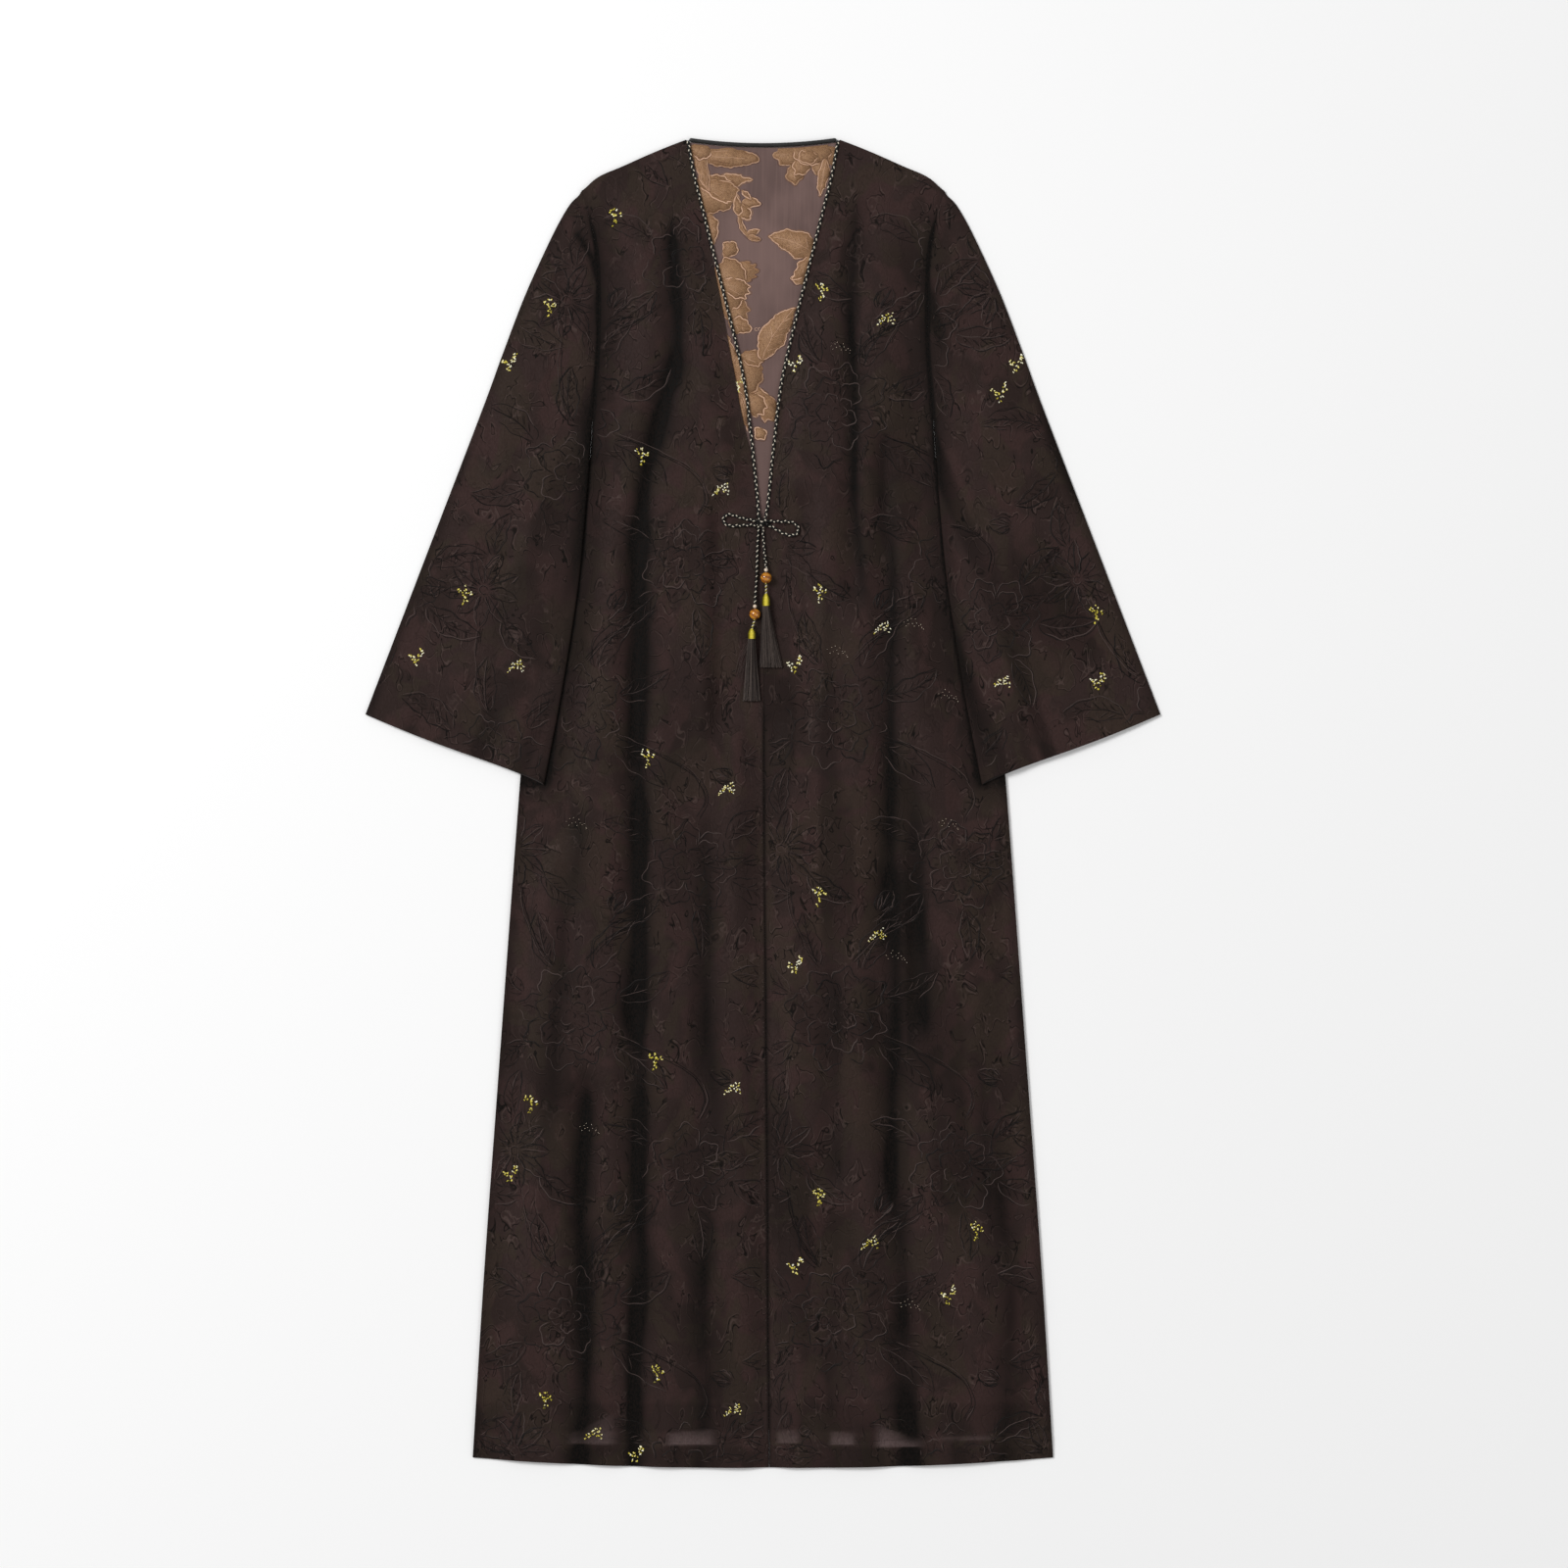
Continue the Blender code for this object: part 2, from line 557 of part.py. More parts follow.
def sleeve(name, side, material):
    """Make one wide sleeve: two layers joined at their folds, open at armhole and cuff."""
    bm = bmesh.new()
    rings = []
    for number, row in enumerate(SLEEVE_ROWS):
        on_seam = row.inner_drop <= SLEEVE_INNER[0].drop
        fullness = smooth_step(number / FULL_PUFF_RING)
        loops = sleeve_ring(side, row, on_seam, fullness)
        rings.append([[bm.verts.new(point) for point in loop] for loop in loops])
    seam_rings = sum(row.inner_drop <= SLEEVE_INNER[0].drop for row in SLEEVE_ROWS)
    for number, (ring_a, ring_b) in enumerate(zip(rings, rings[1:])):
        closed = number >= seam_rings
        for loop_a, loop_b in zip(ring_a, ring_b):
            joined = loop_b if closed else loop_b[:len(loop_a)]
            quad_strip(bm, loop_a, joined, closed=closed)
    for (skin_a, inside_a), (skin_b, inside_b) in zip(rings[:seam_rings - 1], rings[1:seam_rings]):
        for end in (0, -1):
            quad_strip(bm, (skin_a[end], inside_a[end]), (skin_b[end], inside_b[end]))
    close_underarm(bm, rings[seam_rings - 1], rings[seam_rings])
    quad_strip(bm, *rings[0])
    quad_strip(bm, *rings[-1], closed=True)
    return add_object(name, bm, material)


def close_underarm(bm, seam_ring, fold_ring):
    """Join the last open ring of a sleeve to the first closed one, where its fold begins."""
    for open_loop, closed_loop in zip(seam_ring, fold_ring):
        bm.faces.new((open_loop[0], closed_loop[0], closed_loop[-1]))
        bm.faces.new((open_loop[-1], closed_loop[-1], closed_loop[-2]))
    (skin, inside), (skin_closed, inside_closed) = seam_ring, fold_ring
    for end in (0, -1):
        bm.faces.new((skin[end], inside[end], inside_closed[-1], skin_closed[-1]))


def cord(name, route, material, spacing=2.5 * CORD, across=CORD):
    """Make a length of cord along a smooth curve through its route's points."""
    line = smooth_line(route)
    length = float(np.sum(np.linalg.norm(np.diff(line, axis=0), axis=1)))
    count = max(4, round(length / spacing)) + 1
    curve = bpy.data.curves.new(name, "CURVE")
    curve.dimensions = "3D"
    curve.bevel_depth = across / 2 * MM
    curve.bevel_resolution = 2
    curve.use_fill_caps = True
    spline = curve.splines.new("POLY")
    spline.points.add(count - 1)
    for number, point in enumerate(spline.points):
        point.co = (*place(*along(line, number / (count - 1))), 1.0)
    curve.materials.append(material)
    piece = bpy.data.objects.new(name, curve)
    bpy.context.scene.collection.objects.link(piece)
    return piece


def neckline_cord(name, side, material):
    """Lay the cord down one neckline edge, from the binding's end to the knot."""
    height = ON_BACK + CORD / 2
    route = [(side * CORD_START[0], CORD_START[1], height)]
    route += [(side * mark.half, mark.drop, height) for mark in NECKLINE[1:-1]]
    route += [(side * half + KNOT_X, drop, height + lift) for half, drop, lift in CORD_TO_KNOT]
    return cord(name, route, material, spacing=3.0 * CORD)


def neck_binding(name, material):
    """Make the rolled binding along the back neck, as a rounded strip."""
    bm = bmesh.new()
    rings = []
    for x in np.linspace(-BINDING_HALF, BINDING_HALF, BINDING_STATIONS):
        middle = back_neck_drop(x) - SEAM_GAP - BINDING / 2
        ring = []
        for step in range(BINDING_SIDES):
            angle = 2.0 * np.pi * step / BINDING_SIDES
            ring.append(bm.verts.new(place(
                x, middle + BINDING / 2 * np.cos(angle), BINDING / 2 * (1.0 + np.sin(angle)))))
        rings.append(ring)
    for ring_a, ring_b in zip(rings, rings[1:]):
        quad_strip(bm, ring_a, ring_b, closed=True)
    bm.faces.new(rings[0])
    bm.faces.new(rings[-1])
    return add_object(name, bm, material)


def ball(name, x, drop, height, radii, material, segments=14, rings=9):
    """Make a bead or a knot as a ball with a radius along each axis."""
    bm = bmesh.new()
    bmesh.ops.create_uvsphere(bm, u_segments=segments, v_segments=rings, radius=1.0)
    size = Matrix.Diagonal((*[radius * MM for radius in radii], 1.0))
    bmesh.ops.transform(bm, matrix=Matrix.Translation(place(x, drop, height)) @ size, verts=bm.verts)
    return add_object(name, bm, material)


def tassel_cap(name, tail, material):
    """Make the wound cap of a tassel: a cone that widens down to the strands."""
    bm = bmesh.new()
    bmesh.ops.create_cone(
        bm, cap_ends=True, segments=14, radius1=CAP_WIDE / 2 * MM, radius2=CAP_NARROW / 2 * MM,
        depth=tail.cap_length * MM)
    bmesh.ops.bevel(
        bm, geom=[edge for edge in bm.edges if len(edge.link_faces[0].verts) > 4
                  or len(edge.link_faces[1].verts) > 4],
        offset=CAP_EDGE * MM, segments=2, profile=0.5, affect="EDGES")
    turned = Matrix.Rotation(np.radians(-90.0), 4, "X")
    centre = place(tail.cap_x, tail.cap_drop + tail.cap_length / 2, CAP_Z)
    bmesh.ops.transform(bm, matrix=Matrix.Translation(centre) @ turned, verts=bm.verts)
    return add_object(name, bm, material)


def tassel(name, tail, material, rng):
    """Make a tassel: a bound head, and thin four-sided strands grown from its end."""
    bm = bmesh.new()
    head_width = tail.root_right - tail.root_left
    bmesh.ops.create_grid(bm, x_segments=STRAND_COLUMNS, y_segments=STRAND_LAYERS, size=0.5)
    middle_x = (tail.root_left + tail.root_right) / 2
    for vert in bm.verts:
        vert.co = place(
            middle_x + vert.co.x * head_width, tail.tassel_drop + TASSEL_HEAD,
            CAP_Z + vert.co.y * TASSEL_DEEP)
    ends = list(bm.faces)
    grown = bmesh.ops.extrude_face_region(bm, geom=ends, use_keep_orig=True)
    head_back = [item for item in grown["geom"] if isinstance(item, bmesh.types.BMVert)]
    for vert in head_back:
        vert.co.y += TASSEL_HEAD * MM
    bmesh.ops.inset_individual(bm, faces=ends, thickness=STRAND_INSET * MM)
    for face in ends:
        grow_strand(bm, face, tail, rng)
    return add_object(name, bm, material, smooth=False)


def grow_strand(bm, face, tail, rng):
    """Grow one strand from a face of the head, fanned out and sinking to the cloth."""
    start = face.calc_center_median() / MM
    across = (start.x - tail.root_left) / (tail.root_right - tail.root_left)
    layer = (start.z - CAP_Z) / TASSEL_DEEP + 0.5
    tip_x = tail.tip_left + across * (tail.tip_right - tail.tip_left)
    tip_z = ON_FRONT + TIP_LOW + TIP_SPREAD * layer
    length = tail.tassel_length - TASSEL_HEAD - rng.uniform(0.0, STRAND_RAGGED)
    for step in range(1, STRAND_STEPS + 1):
        part = step / STRAND_STEPS
        face = bmesh.ops.extrude_discrete_faces(bm, faces=[face])["faces"][0]
        spread = part ** STRAND_FAN
        centre = Vector((
            start.x + (tip_x - start.x) * spread,
            start.y - length * part,
            start.z + (tip_z - start.z) * min(1.0, STRAND_SINK * part))) * MM
        old = face.calc_center_median()
        widen = STRAND_SWELL if step < STRAND_STEPS else STRAND_TAPER
        for vert in face.verts:
            offset = vert.co - old
            vert.co = centre + Vector((offset.x * widen, offset.y, offset.z * STRAND_FLATTEN))


def beaded_tail(tail, finishes, rng):
    """Make one end of the tie with its seed bead, bead, link, cap and tassel."""
    bead_z = ON_FRONT + tail.bead_across / 2
    seed_drop = tail.bead_drop - tail.bead_across / 2 - SEAM_GAP - SEED_BEAD / 2
    heights = (CORD_Z, CORD_Z, CORD_Z, CORD_Z + TAIL_RISE, bead_z - BEAD_HOLE_DROP)
    route = [(*spot, height) for spot, height in zip(tail.route, heights)]
    cord(f"tie_{tail.side}", route, finishes["cord"])
    ball(f"seed_bead_{tail.side}", tail.bead_x, seed_drop, bead_z - SEED_DROP,
         [SEED_BEAD / 2] * 3, finishes["pearl"], 10, 6)
    ball(f"amber_bead_{tail.side}", tail.bead_x, tail.bead_drop, bead_z,
         [tail.bead_across / 2] * 3, finishes["amber"], 18, 12)
    link_top = tail.bead_drop + tail.bead_across / 2 + SEAM_GAP
    link_route = (
        (tail.bead_x, link_top, bead_z),
        ((tail.bead_x + tail.cap_x) / 2, (link_top + tail.cap_drop) / 2, (bead_z + CAP_Z) / 2),
        (tail.cap_x, tail.cap_drop - SEAM_GAP, CAP_Z),
    )
    cord(f"tie_link_{tail.side}", link_route, finishes["gold"], spacing=2.0, across=LINK_ACROSS)
    tassel_cap(f"tassel_cap_{tail.side}", tail, finishes["gold"])
    tassel(f"tassel_{tail.side}", tail, finishes["strands"], rng)


def build():
    """Build the whole garment."""
    for old in list(bpy.data.objects):
        bpy.data.objects.remove(old, do_unlink=True)
    rng = random.Random(7)
    outer = make_material("figured_organza", CLOTH_BROWN, 0.75)
    inside = make_material("figured_organza_wrong_side", LINING_MAUVE, 0.8)
    black = make_material("black_satin_binding", BLACK, 0.5)
    finishes = {
        "cord": make_material("braided_cord", CORD_GREY, 0.7),
        "pearl": make_material("seed_pearl", PEARL, 0.25),
        "amber": make_material("amber_bead", AMBER, 0.15),
        "gold": make_material("gold_thread", GOLD_THREAD, 0.4, 0.6),
        "strands": make_material("tassel_thread", CHARCOAL, 0.8),
    }
    back_panel("back", inside)
    neck_binding("neck_binding", black)
    for name, side in (("left", -1), ("right", 1)):
        front_panel(f"front_{name}", side, outer)
        sleeve(f"sleeve_{name}", side, outer)
        neckline_cord(f"neckline_cord_{name}", side, finishes["cord"])
    ball("bow_knot", KNOT_X, KNOT_DROP, ON_FRONT + KNOT_RADII[2], KNOT_RADII, finishes["cord"], 12, 8)
    cord("bow_loop_left", [(*spot, CORD_Z) for spot in BOW_LEFT], finishes["cord"], 1.6 * CORD)
    cord("bow_loop_right", [(*spot, CORD_Z) for spot in BOW_RIGHT], finishes["cord"], 1.6 * CORD)
    for tail in (LEFT_TAIL, RIGHT_TAIL):
        beaded_tail(tail, finishes, rng)


build()
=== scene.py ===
"""Dress the abaya: cloth, figures, cords, beads, tassels, gold sprigs, light and camera.

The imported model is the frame. Places are in millimetres on the garment, in the same terms
as in the part's source: "drop" runs down from the neck points, "half" out from the centre
line, "x" from it to the viewer's right, and heights stand above the surface below.
"""
import logging
from collections.abc import Callable
from dataclasses import dataclass, field
from enum import Enum
from functools import partial
from typing import NamedTuple

import bmesh
import bpy
import numpy as np
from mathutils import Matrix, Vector
from mathutils.bvhtree import BVHTree
from mathutils.geometry import delaunay_2d_cdt


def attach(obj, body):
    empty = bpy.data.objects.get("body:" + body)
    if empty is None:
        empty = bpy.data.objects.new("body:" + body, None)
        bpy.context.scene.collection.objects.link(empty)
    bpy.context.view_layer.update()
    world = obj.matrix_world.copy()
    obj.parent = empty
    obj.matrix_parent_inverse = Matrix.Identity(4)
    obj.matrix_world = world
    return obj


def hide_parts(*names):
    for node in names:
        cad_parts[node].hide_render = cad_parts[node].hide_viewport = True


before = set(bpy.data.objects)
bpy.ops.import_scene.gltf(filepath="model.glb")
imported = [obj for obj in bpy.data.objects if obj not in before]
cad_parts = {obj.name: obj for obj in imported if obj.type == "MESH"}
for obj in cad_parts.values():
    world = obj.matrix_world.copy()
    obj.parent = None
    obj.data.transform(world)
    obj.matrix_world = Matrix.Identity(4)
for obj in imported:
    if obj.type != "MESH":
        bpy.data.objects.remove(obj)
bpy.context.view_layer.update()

logging.basicConfig(level=logging.INFO, format="%(message)s")
LOG = logging.getLogger("abaya")

MM = 0.001
BODY = "root"
LEFT = -1
RIGHT = 1
SIDE_NAMES = {LEFT: "left", RIGHT: "right"}

# Driving sizes, as in the part's source
LENGTH = 1357.0            # neck points to front hem
TOP_DROP = 1.1             # top of the binding
SOLID_CLOTH = 1.2          # wall of the cloth's solids
SEAM_GAP = 0.3
CORD = 3.4                 # braided cord across
CLOTH = 0.8                # wall of the cloth here
FRONT_UNDER = SOLID_CLOTH + SEAM_GAP
FRONT_TOP = FRONT_UNDER + SOLID_CLOTH
ON_FRONT = FRONT_TOP + SEAM_GAP
ON_BACK = SOLID_CLOTH + SEAM_GAP

Colour = tuple[int, int, int]                 # red, green and blue on a screen, 0 to 255
Spot = tuple[float, float]                    # x and drop
RaisedSpot = tuple[float, float, float]       # x, drop and height
Marks = tuple[Spot, ...]
Span = tuple[float, float]                    # from one value to another
WhereAllowed = Callable[[np.ndarray, np.ndarray], np.ndarray]


def place(x: np.ndarray, drop: np.ndarray, height: np.ndarray) -> np.ndarray:
    """Turn places on the garment in millimetres into metres in the part's frame.

    Args:
        x: Places to the right of the centre line.
        drop: Places down from the neck points.
        height: Heights above the surface below.

    Returns:
        Points with their three coordinates on the last axis.
    """
    x, drop, height = np.broadcast_arrays(
        *(np.asarray(value, float) for value in (x, drop, height)))
    return np.stack([x, (LENGTH + TOP_DROP) / 2 - drop, height], axis=-1) * MM


def smooth_step(value: np.ndarray) -> np.ndarray:
    """Ease from 0 to 1 as the value goes from 0 to 1."""
    value = np.clip(value, 0.0, 1.0)
    return value * value * (3.0 - 2.0 * value)


class Stretch(NamedTuple):
    """A stretch of drops: its start, how long it eases in, its end, how long it eases out."""

    start: float
    rise: float
    end: float
    fall: float

    def share(self, drop: np.ndarray) -> np.ndarray:
        """Say how far some drops are within it, from 0 outside to 1."""
        return smooth_step((drop - self.start) / self.rise) * smooth_step((self.end - drop) / self.fall)


def smooth_line(marks: list | tuple | np.ndarray, per_span: int = 10) -> np.ndarray:
    """Read close points from a smooth curve through some marks.

    Args:
        marks: Points that the curve runs through.
        per_span: Points read from each span.

    Returns:
        The points, one to a row.
    """
    points = np.array(marks, dtype=float)
    padded = np.vstack([2 * points[0] - points[1], points, 2 * points[-1] - points[-2]])
    t = np.linspace(0.0, 1.0, per_span, endpoint=False)[:, None]
    spans = [
        0.5 * (2 * start + (end - before) * t
               + (2 * before - 5 * start + 4 * end - after) * t ** 2
               + (3 * start - before - 3 * end + after) * t ** 3)
        for before, start, end, after in zip(padded, padded[1:], padded[2:], padded[3:])
    ]
    return np.vstack([*spans, points[-1:]])


def resample(line: np.ndarray, step: float) -> np.ndarray:
    """Read evenly spaced points along a line.

    Args:
        line: Points of the line, one to a row.
        step: Wanted distance between points.

    Returns:
        At least three points, with the line's two ends.
    """
    line = np.asarray(line, float)
    lengths = np.concatenate([[0.0], np.cumsum(np.linalg.norm(np.diff(line, axis=0), axis=1))])
    count = max(3, int(round(lengths[-1] / step)) + 1)
    targets = np.linspace(0.0, lengths[-1], count)
    return np.stack([np.interp(targets, lengths, column) for column in line.T], axis=1)


def sideways_from(line: np.ndarray) -> np.ndarray:
    """Work out a direction square to a line on the cloth at each of its points.

    Args:
        line: Points of the line as x and drop, one to a row.

    Returns:
        A step of length 1 to the same side at each point.
    """
    ahead = np.gradient(line, axis=0)
    normal = np.stack([-ahead[:, 1], ahead[:, 0]], axis=1)
    return normal / (np.linalg.norm(normal, axis=1, keepdims=True) + 1e-9)


def inside(polygon: np.ndarray, spots: np.ndarray) -> np.ndarray:
    """Say which spots lie inside a polygon.

    Args:
        polygon: Corners, one to a row.
        spots: Points, one to a row.

    Returns:
        True for each spot inside.
    """
    x, y = spots[:, 0], spots[:, 1]
    within = np.zeros(len(spots), bool)
    for (x_a, y_a), (x_b, y_b) in zip(polygon, np.roll(polygon, -1, axis=0)):
        if y_a == y_b:
            continue
        crosses = (y_a > y) != (y_b > y)
        within ^= crosses & (x < (x_b - x_a) * (y - y_a) / (y_b - y_a) + x_a)
    return within


class SoftNoise:
    """Seeded smooth noise over a plane, from -1 to 1."""

    SIZE = 128

    def __init__(self, seed: int) -> None:
        """Make the lattice of random values that the noise runs through from its seed."""
        self.grid = np.random.default_rng(seed).uniform(-1.0, 1.0, (self.SIZE, self.SIZE))

    def at(self, x: np.ndarray, y: np.ndarray) -> np.ndarray:
        """Read the noise at places that are measured in lattice cells.

        Args:
            x: Places along the first axis.
            y: Places along the second axis.

        Returns:
            The noise there, in the same shape as the places.
        """
        x, y = np.broadcast_arrays(np.asarray(x, float), np.asarray(y, float))
        column, row = np.floor(x).astype(int), np.floor(y).astype(int)
        across, down = smooth_step(x - column), smooth_step(y - row)
        corner = [[self.grid[(row + j) % self.SIZE, (column + i) % self.SIZE] for i in (0, 1)]
                  for j in (0, 1)]
        upper = corner[0][0] + across * (corner[0][1] - corner[0][0])
        lower = corner[1][0] + across * (corner[1][1] - corner[1][0])
        return upper + down * (lower - upper)


def clear_selection() -> None:
    """Leave no object selected, so that an operator acts on what it is meant for."""
    if bpy.context.mode != "OBJECT":
        bpy.ops.object.mode_set(mode="OBJECT")
    bpy.ops.object.select_all(action="DESELECT")


def take(piece: bpy.types.Object) -> None:
    """Make one object the only one selected, and the active one.

    Args:
        piece: The object.
    """
    clear_selection()
    piece.select_set(True)
    bpy.context.view_layer.objects.active = piece


def apply_modifier(piece: bpy.types.Object, kind: str, **settings: object) -> None:
    """Add a modifier to a piece and apply it.

    Args:
        piece: The piece that it shapes.
        kind: The modifier's type.
        settings: Its settings by name.
    """
    take(piece)
    modifier = piece.modifiers.new(kind.title(), kind)
    for name, value in settings.items():
        setattr(modifier, name, value)
    bpy.ops.object.modifier_apply(modifier=modifier.name)


def mesh_piece(name: str, points: np.ndarray, *blocks: np.ndarray) -> bpy.types.Object:
    """Make an object from points and faces.

    Args:
        name: The piece's name.
        points: Its vertices in metres, one to a row.
        blocks: Faces as rows of vertex numbers, one block for each number of corners.

    Returns:
        The new object, at the origin.
    """
    blocks = [np.asarray(block, np.int32) for block in blocks if len(block)]
    corners = np.concatenate([block.ravel() for block in blocks])
    sizes = np.concatenate([np.full(len(block), block.shape[1]) for block in blocks])
    mesh = bpy.data.meshes.new(name)
    mesh.vertices.add(len(points))
    mesh.vertices.foreach_set("co", np.asarray(points, np.float32).ravel())
    mesh.loops.add(len(corners))
    mesh.loops.foreach_set("vertex_index", corners)
    mesh.polygons.add(len(sizes))
    mesh.polygons.foreach_set("loop_start", (np.cumsum(sizes) - sizes).astype(np.int32))
    mesh.update(calc_edges=True)
    piece = bpy.data.objects.new(name, mesh)
    bpy.context.scene.collection.objects.link(piece)
    return piece


def vertex_places(piece: bpy.types.Object) -> tuple[np.ndarray, np.ndarray, np.ndarray]:
    """Read the places of a piece's vertices on the garment.

    Args:
        piece: A mesh object at the origin.

    Returns:
        Their x, drop and height in millimetres.
    """
    points = np.empty(len(piece.data.vertices) * 3, np.float32)
    piece.data.vertices.foreach_get("co", points)
    points = points.reshape(-1, 3).astype(float) / MM
    return points[:, 0], (LENGTH + TOP_DROP) / 2 - points[:, 1], points[:, 2]


def paint(piece: bpy.types.Object, name: str, red: np.ndarray, green: np.ndarray = 0.0,
          blue: np.ndarray = 0.0) -> None:
    """Store three values at each vertex of a piece, for its material to read.

    Args:
        piece: The mesh object.
        name: The attribute's name.
        red: First value of each vertex.
        green: Second value.
        blue: Third value.
    """
    count = len(piece.data.vertices)
    values = np.ones((count, 4), np.float32)
    for column, channel in enumerate((red, green, blue)):
        values[:, column] = channel
    attribute = piece.data.attributes.new(name, "FLOAT_COLOR", "POINT")
    attribute.data.foreach_set("color", values.ravel())


def finish_piece(piece: bpy.types.Object, replaces: tuple = (),
                 smooth_angle: float | None = 50.0) -> bpy.types.Object:
    """Shade a finished piece, let it ride on the garment and report it.

    Args:
        piece: The mesh object, with its materials.
        replaces: CAD nodes that it stands for.
        smooth_angle: Edges flatter than this are shaded smooth, in degrees; None for none.

    Returns:
        The same piece.
    """
    if smooth_angle is not None:
        take(piece)
        bpy.ops.object.shade_smooth_by_angle(angle=np.radians(smooth_angle))
    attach(piece, BODY)
    if replaces:
        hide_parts(*replaces)
    LOG.info("%s: %d faces", piece.name, len(piece.data.polygons))
    return piece


class Surface:
    """Meshes that lines, sprigs and stitches are laid on, seen from straight above."""

    START = 100.0              # height that the search comes down from

    def __init__(self, *pieces: bpy.types.Object) -> None:
        """Make a search tree of each piece.

        Args:
            pieces: Mesh objects at the origin.
        """
        self.trees = []
        for piece in pieces:
            points = [vertex.co.copy() for vertex in piece.data.vertices]
            faces = [tuple(face.vertices) for face in piece.data.polygons]
            self.trees.append(BVHTree.FromPolygons(points, faces))

    def heights(self, x: np.ndarray, drop: np.ndarray) -> np.ndarray:
        """Find how high the cloth lies at some places.

        Args:
            x: Places to the right of the centre line.
            drop: Places down from the neck points.

        Returns:
            Heights in millimetres, not a number where there is no cloth.
        """
        down = Vector((0.0, 0.0, -1.0))
        found = np.full(len(x), np.nan)
        for number, point in enumerate(place(x, drop, self.START)):
            hits = [tree.ray_cast(point, down)[0] for tree in self.trees]
            levels = [hit.z / MM for hit in hits if hit is not None]
            if levels:
                found[number] = max(levels)
        return found


def linear(colour: Colour) -> tuple[float, float, float, float]:
    """Turn a screen colour into linear light.

    Args:
        colour: Its three channels, from 0 to 255.

    Returns:
        Its linear channels and a full alpha.
    """
    shares = np.array(colour) / 255.0
    light = np.where(shares <= 0.04045, shares / 12.92, ((shares + 0.055) / 1.055) ** 2.4)
    return (*(float(channel) for channel in light), 1.0)


class Value:
    """A node's output in an expression: its operators add Math nodes."""

    def __init__(self, graph: "Graph", socket: bpy.types.NodeSocket) -> None:
        """Keep the socket, and the graph that new nodes go into.

        Args:
            graph: The material's graph.
            socket: The node's output.
        """
        self.graph = graph
        self.socket = socket

    def _math(self, operation: str, *values: object) -> "Value":
        """Add a Math node on these values."""
        return self.graph.node("ShaderNodeMath", {"operation": operation}, dict(enumerate(values)))

    def __add__(self, other: object) -> "Value":
        """Add."""
        return self._math("ADD", self, other)

    def __sub__(self, other: object) -> "Value":
        """Take away."""
        return self._math("SUBTRACT", self, other)

    def __rsub__(self, other: object) -> "Value":
        """Take away from a number."""
        return self._math("SUBTRACT", other, self)

    def __mul__(self, other: object) -> "Value":
        """Multiply."""
        return self._math("MULTIPLY", self, other)


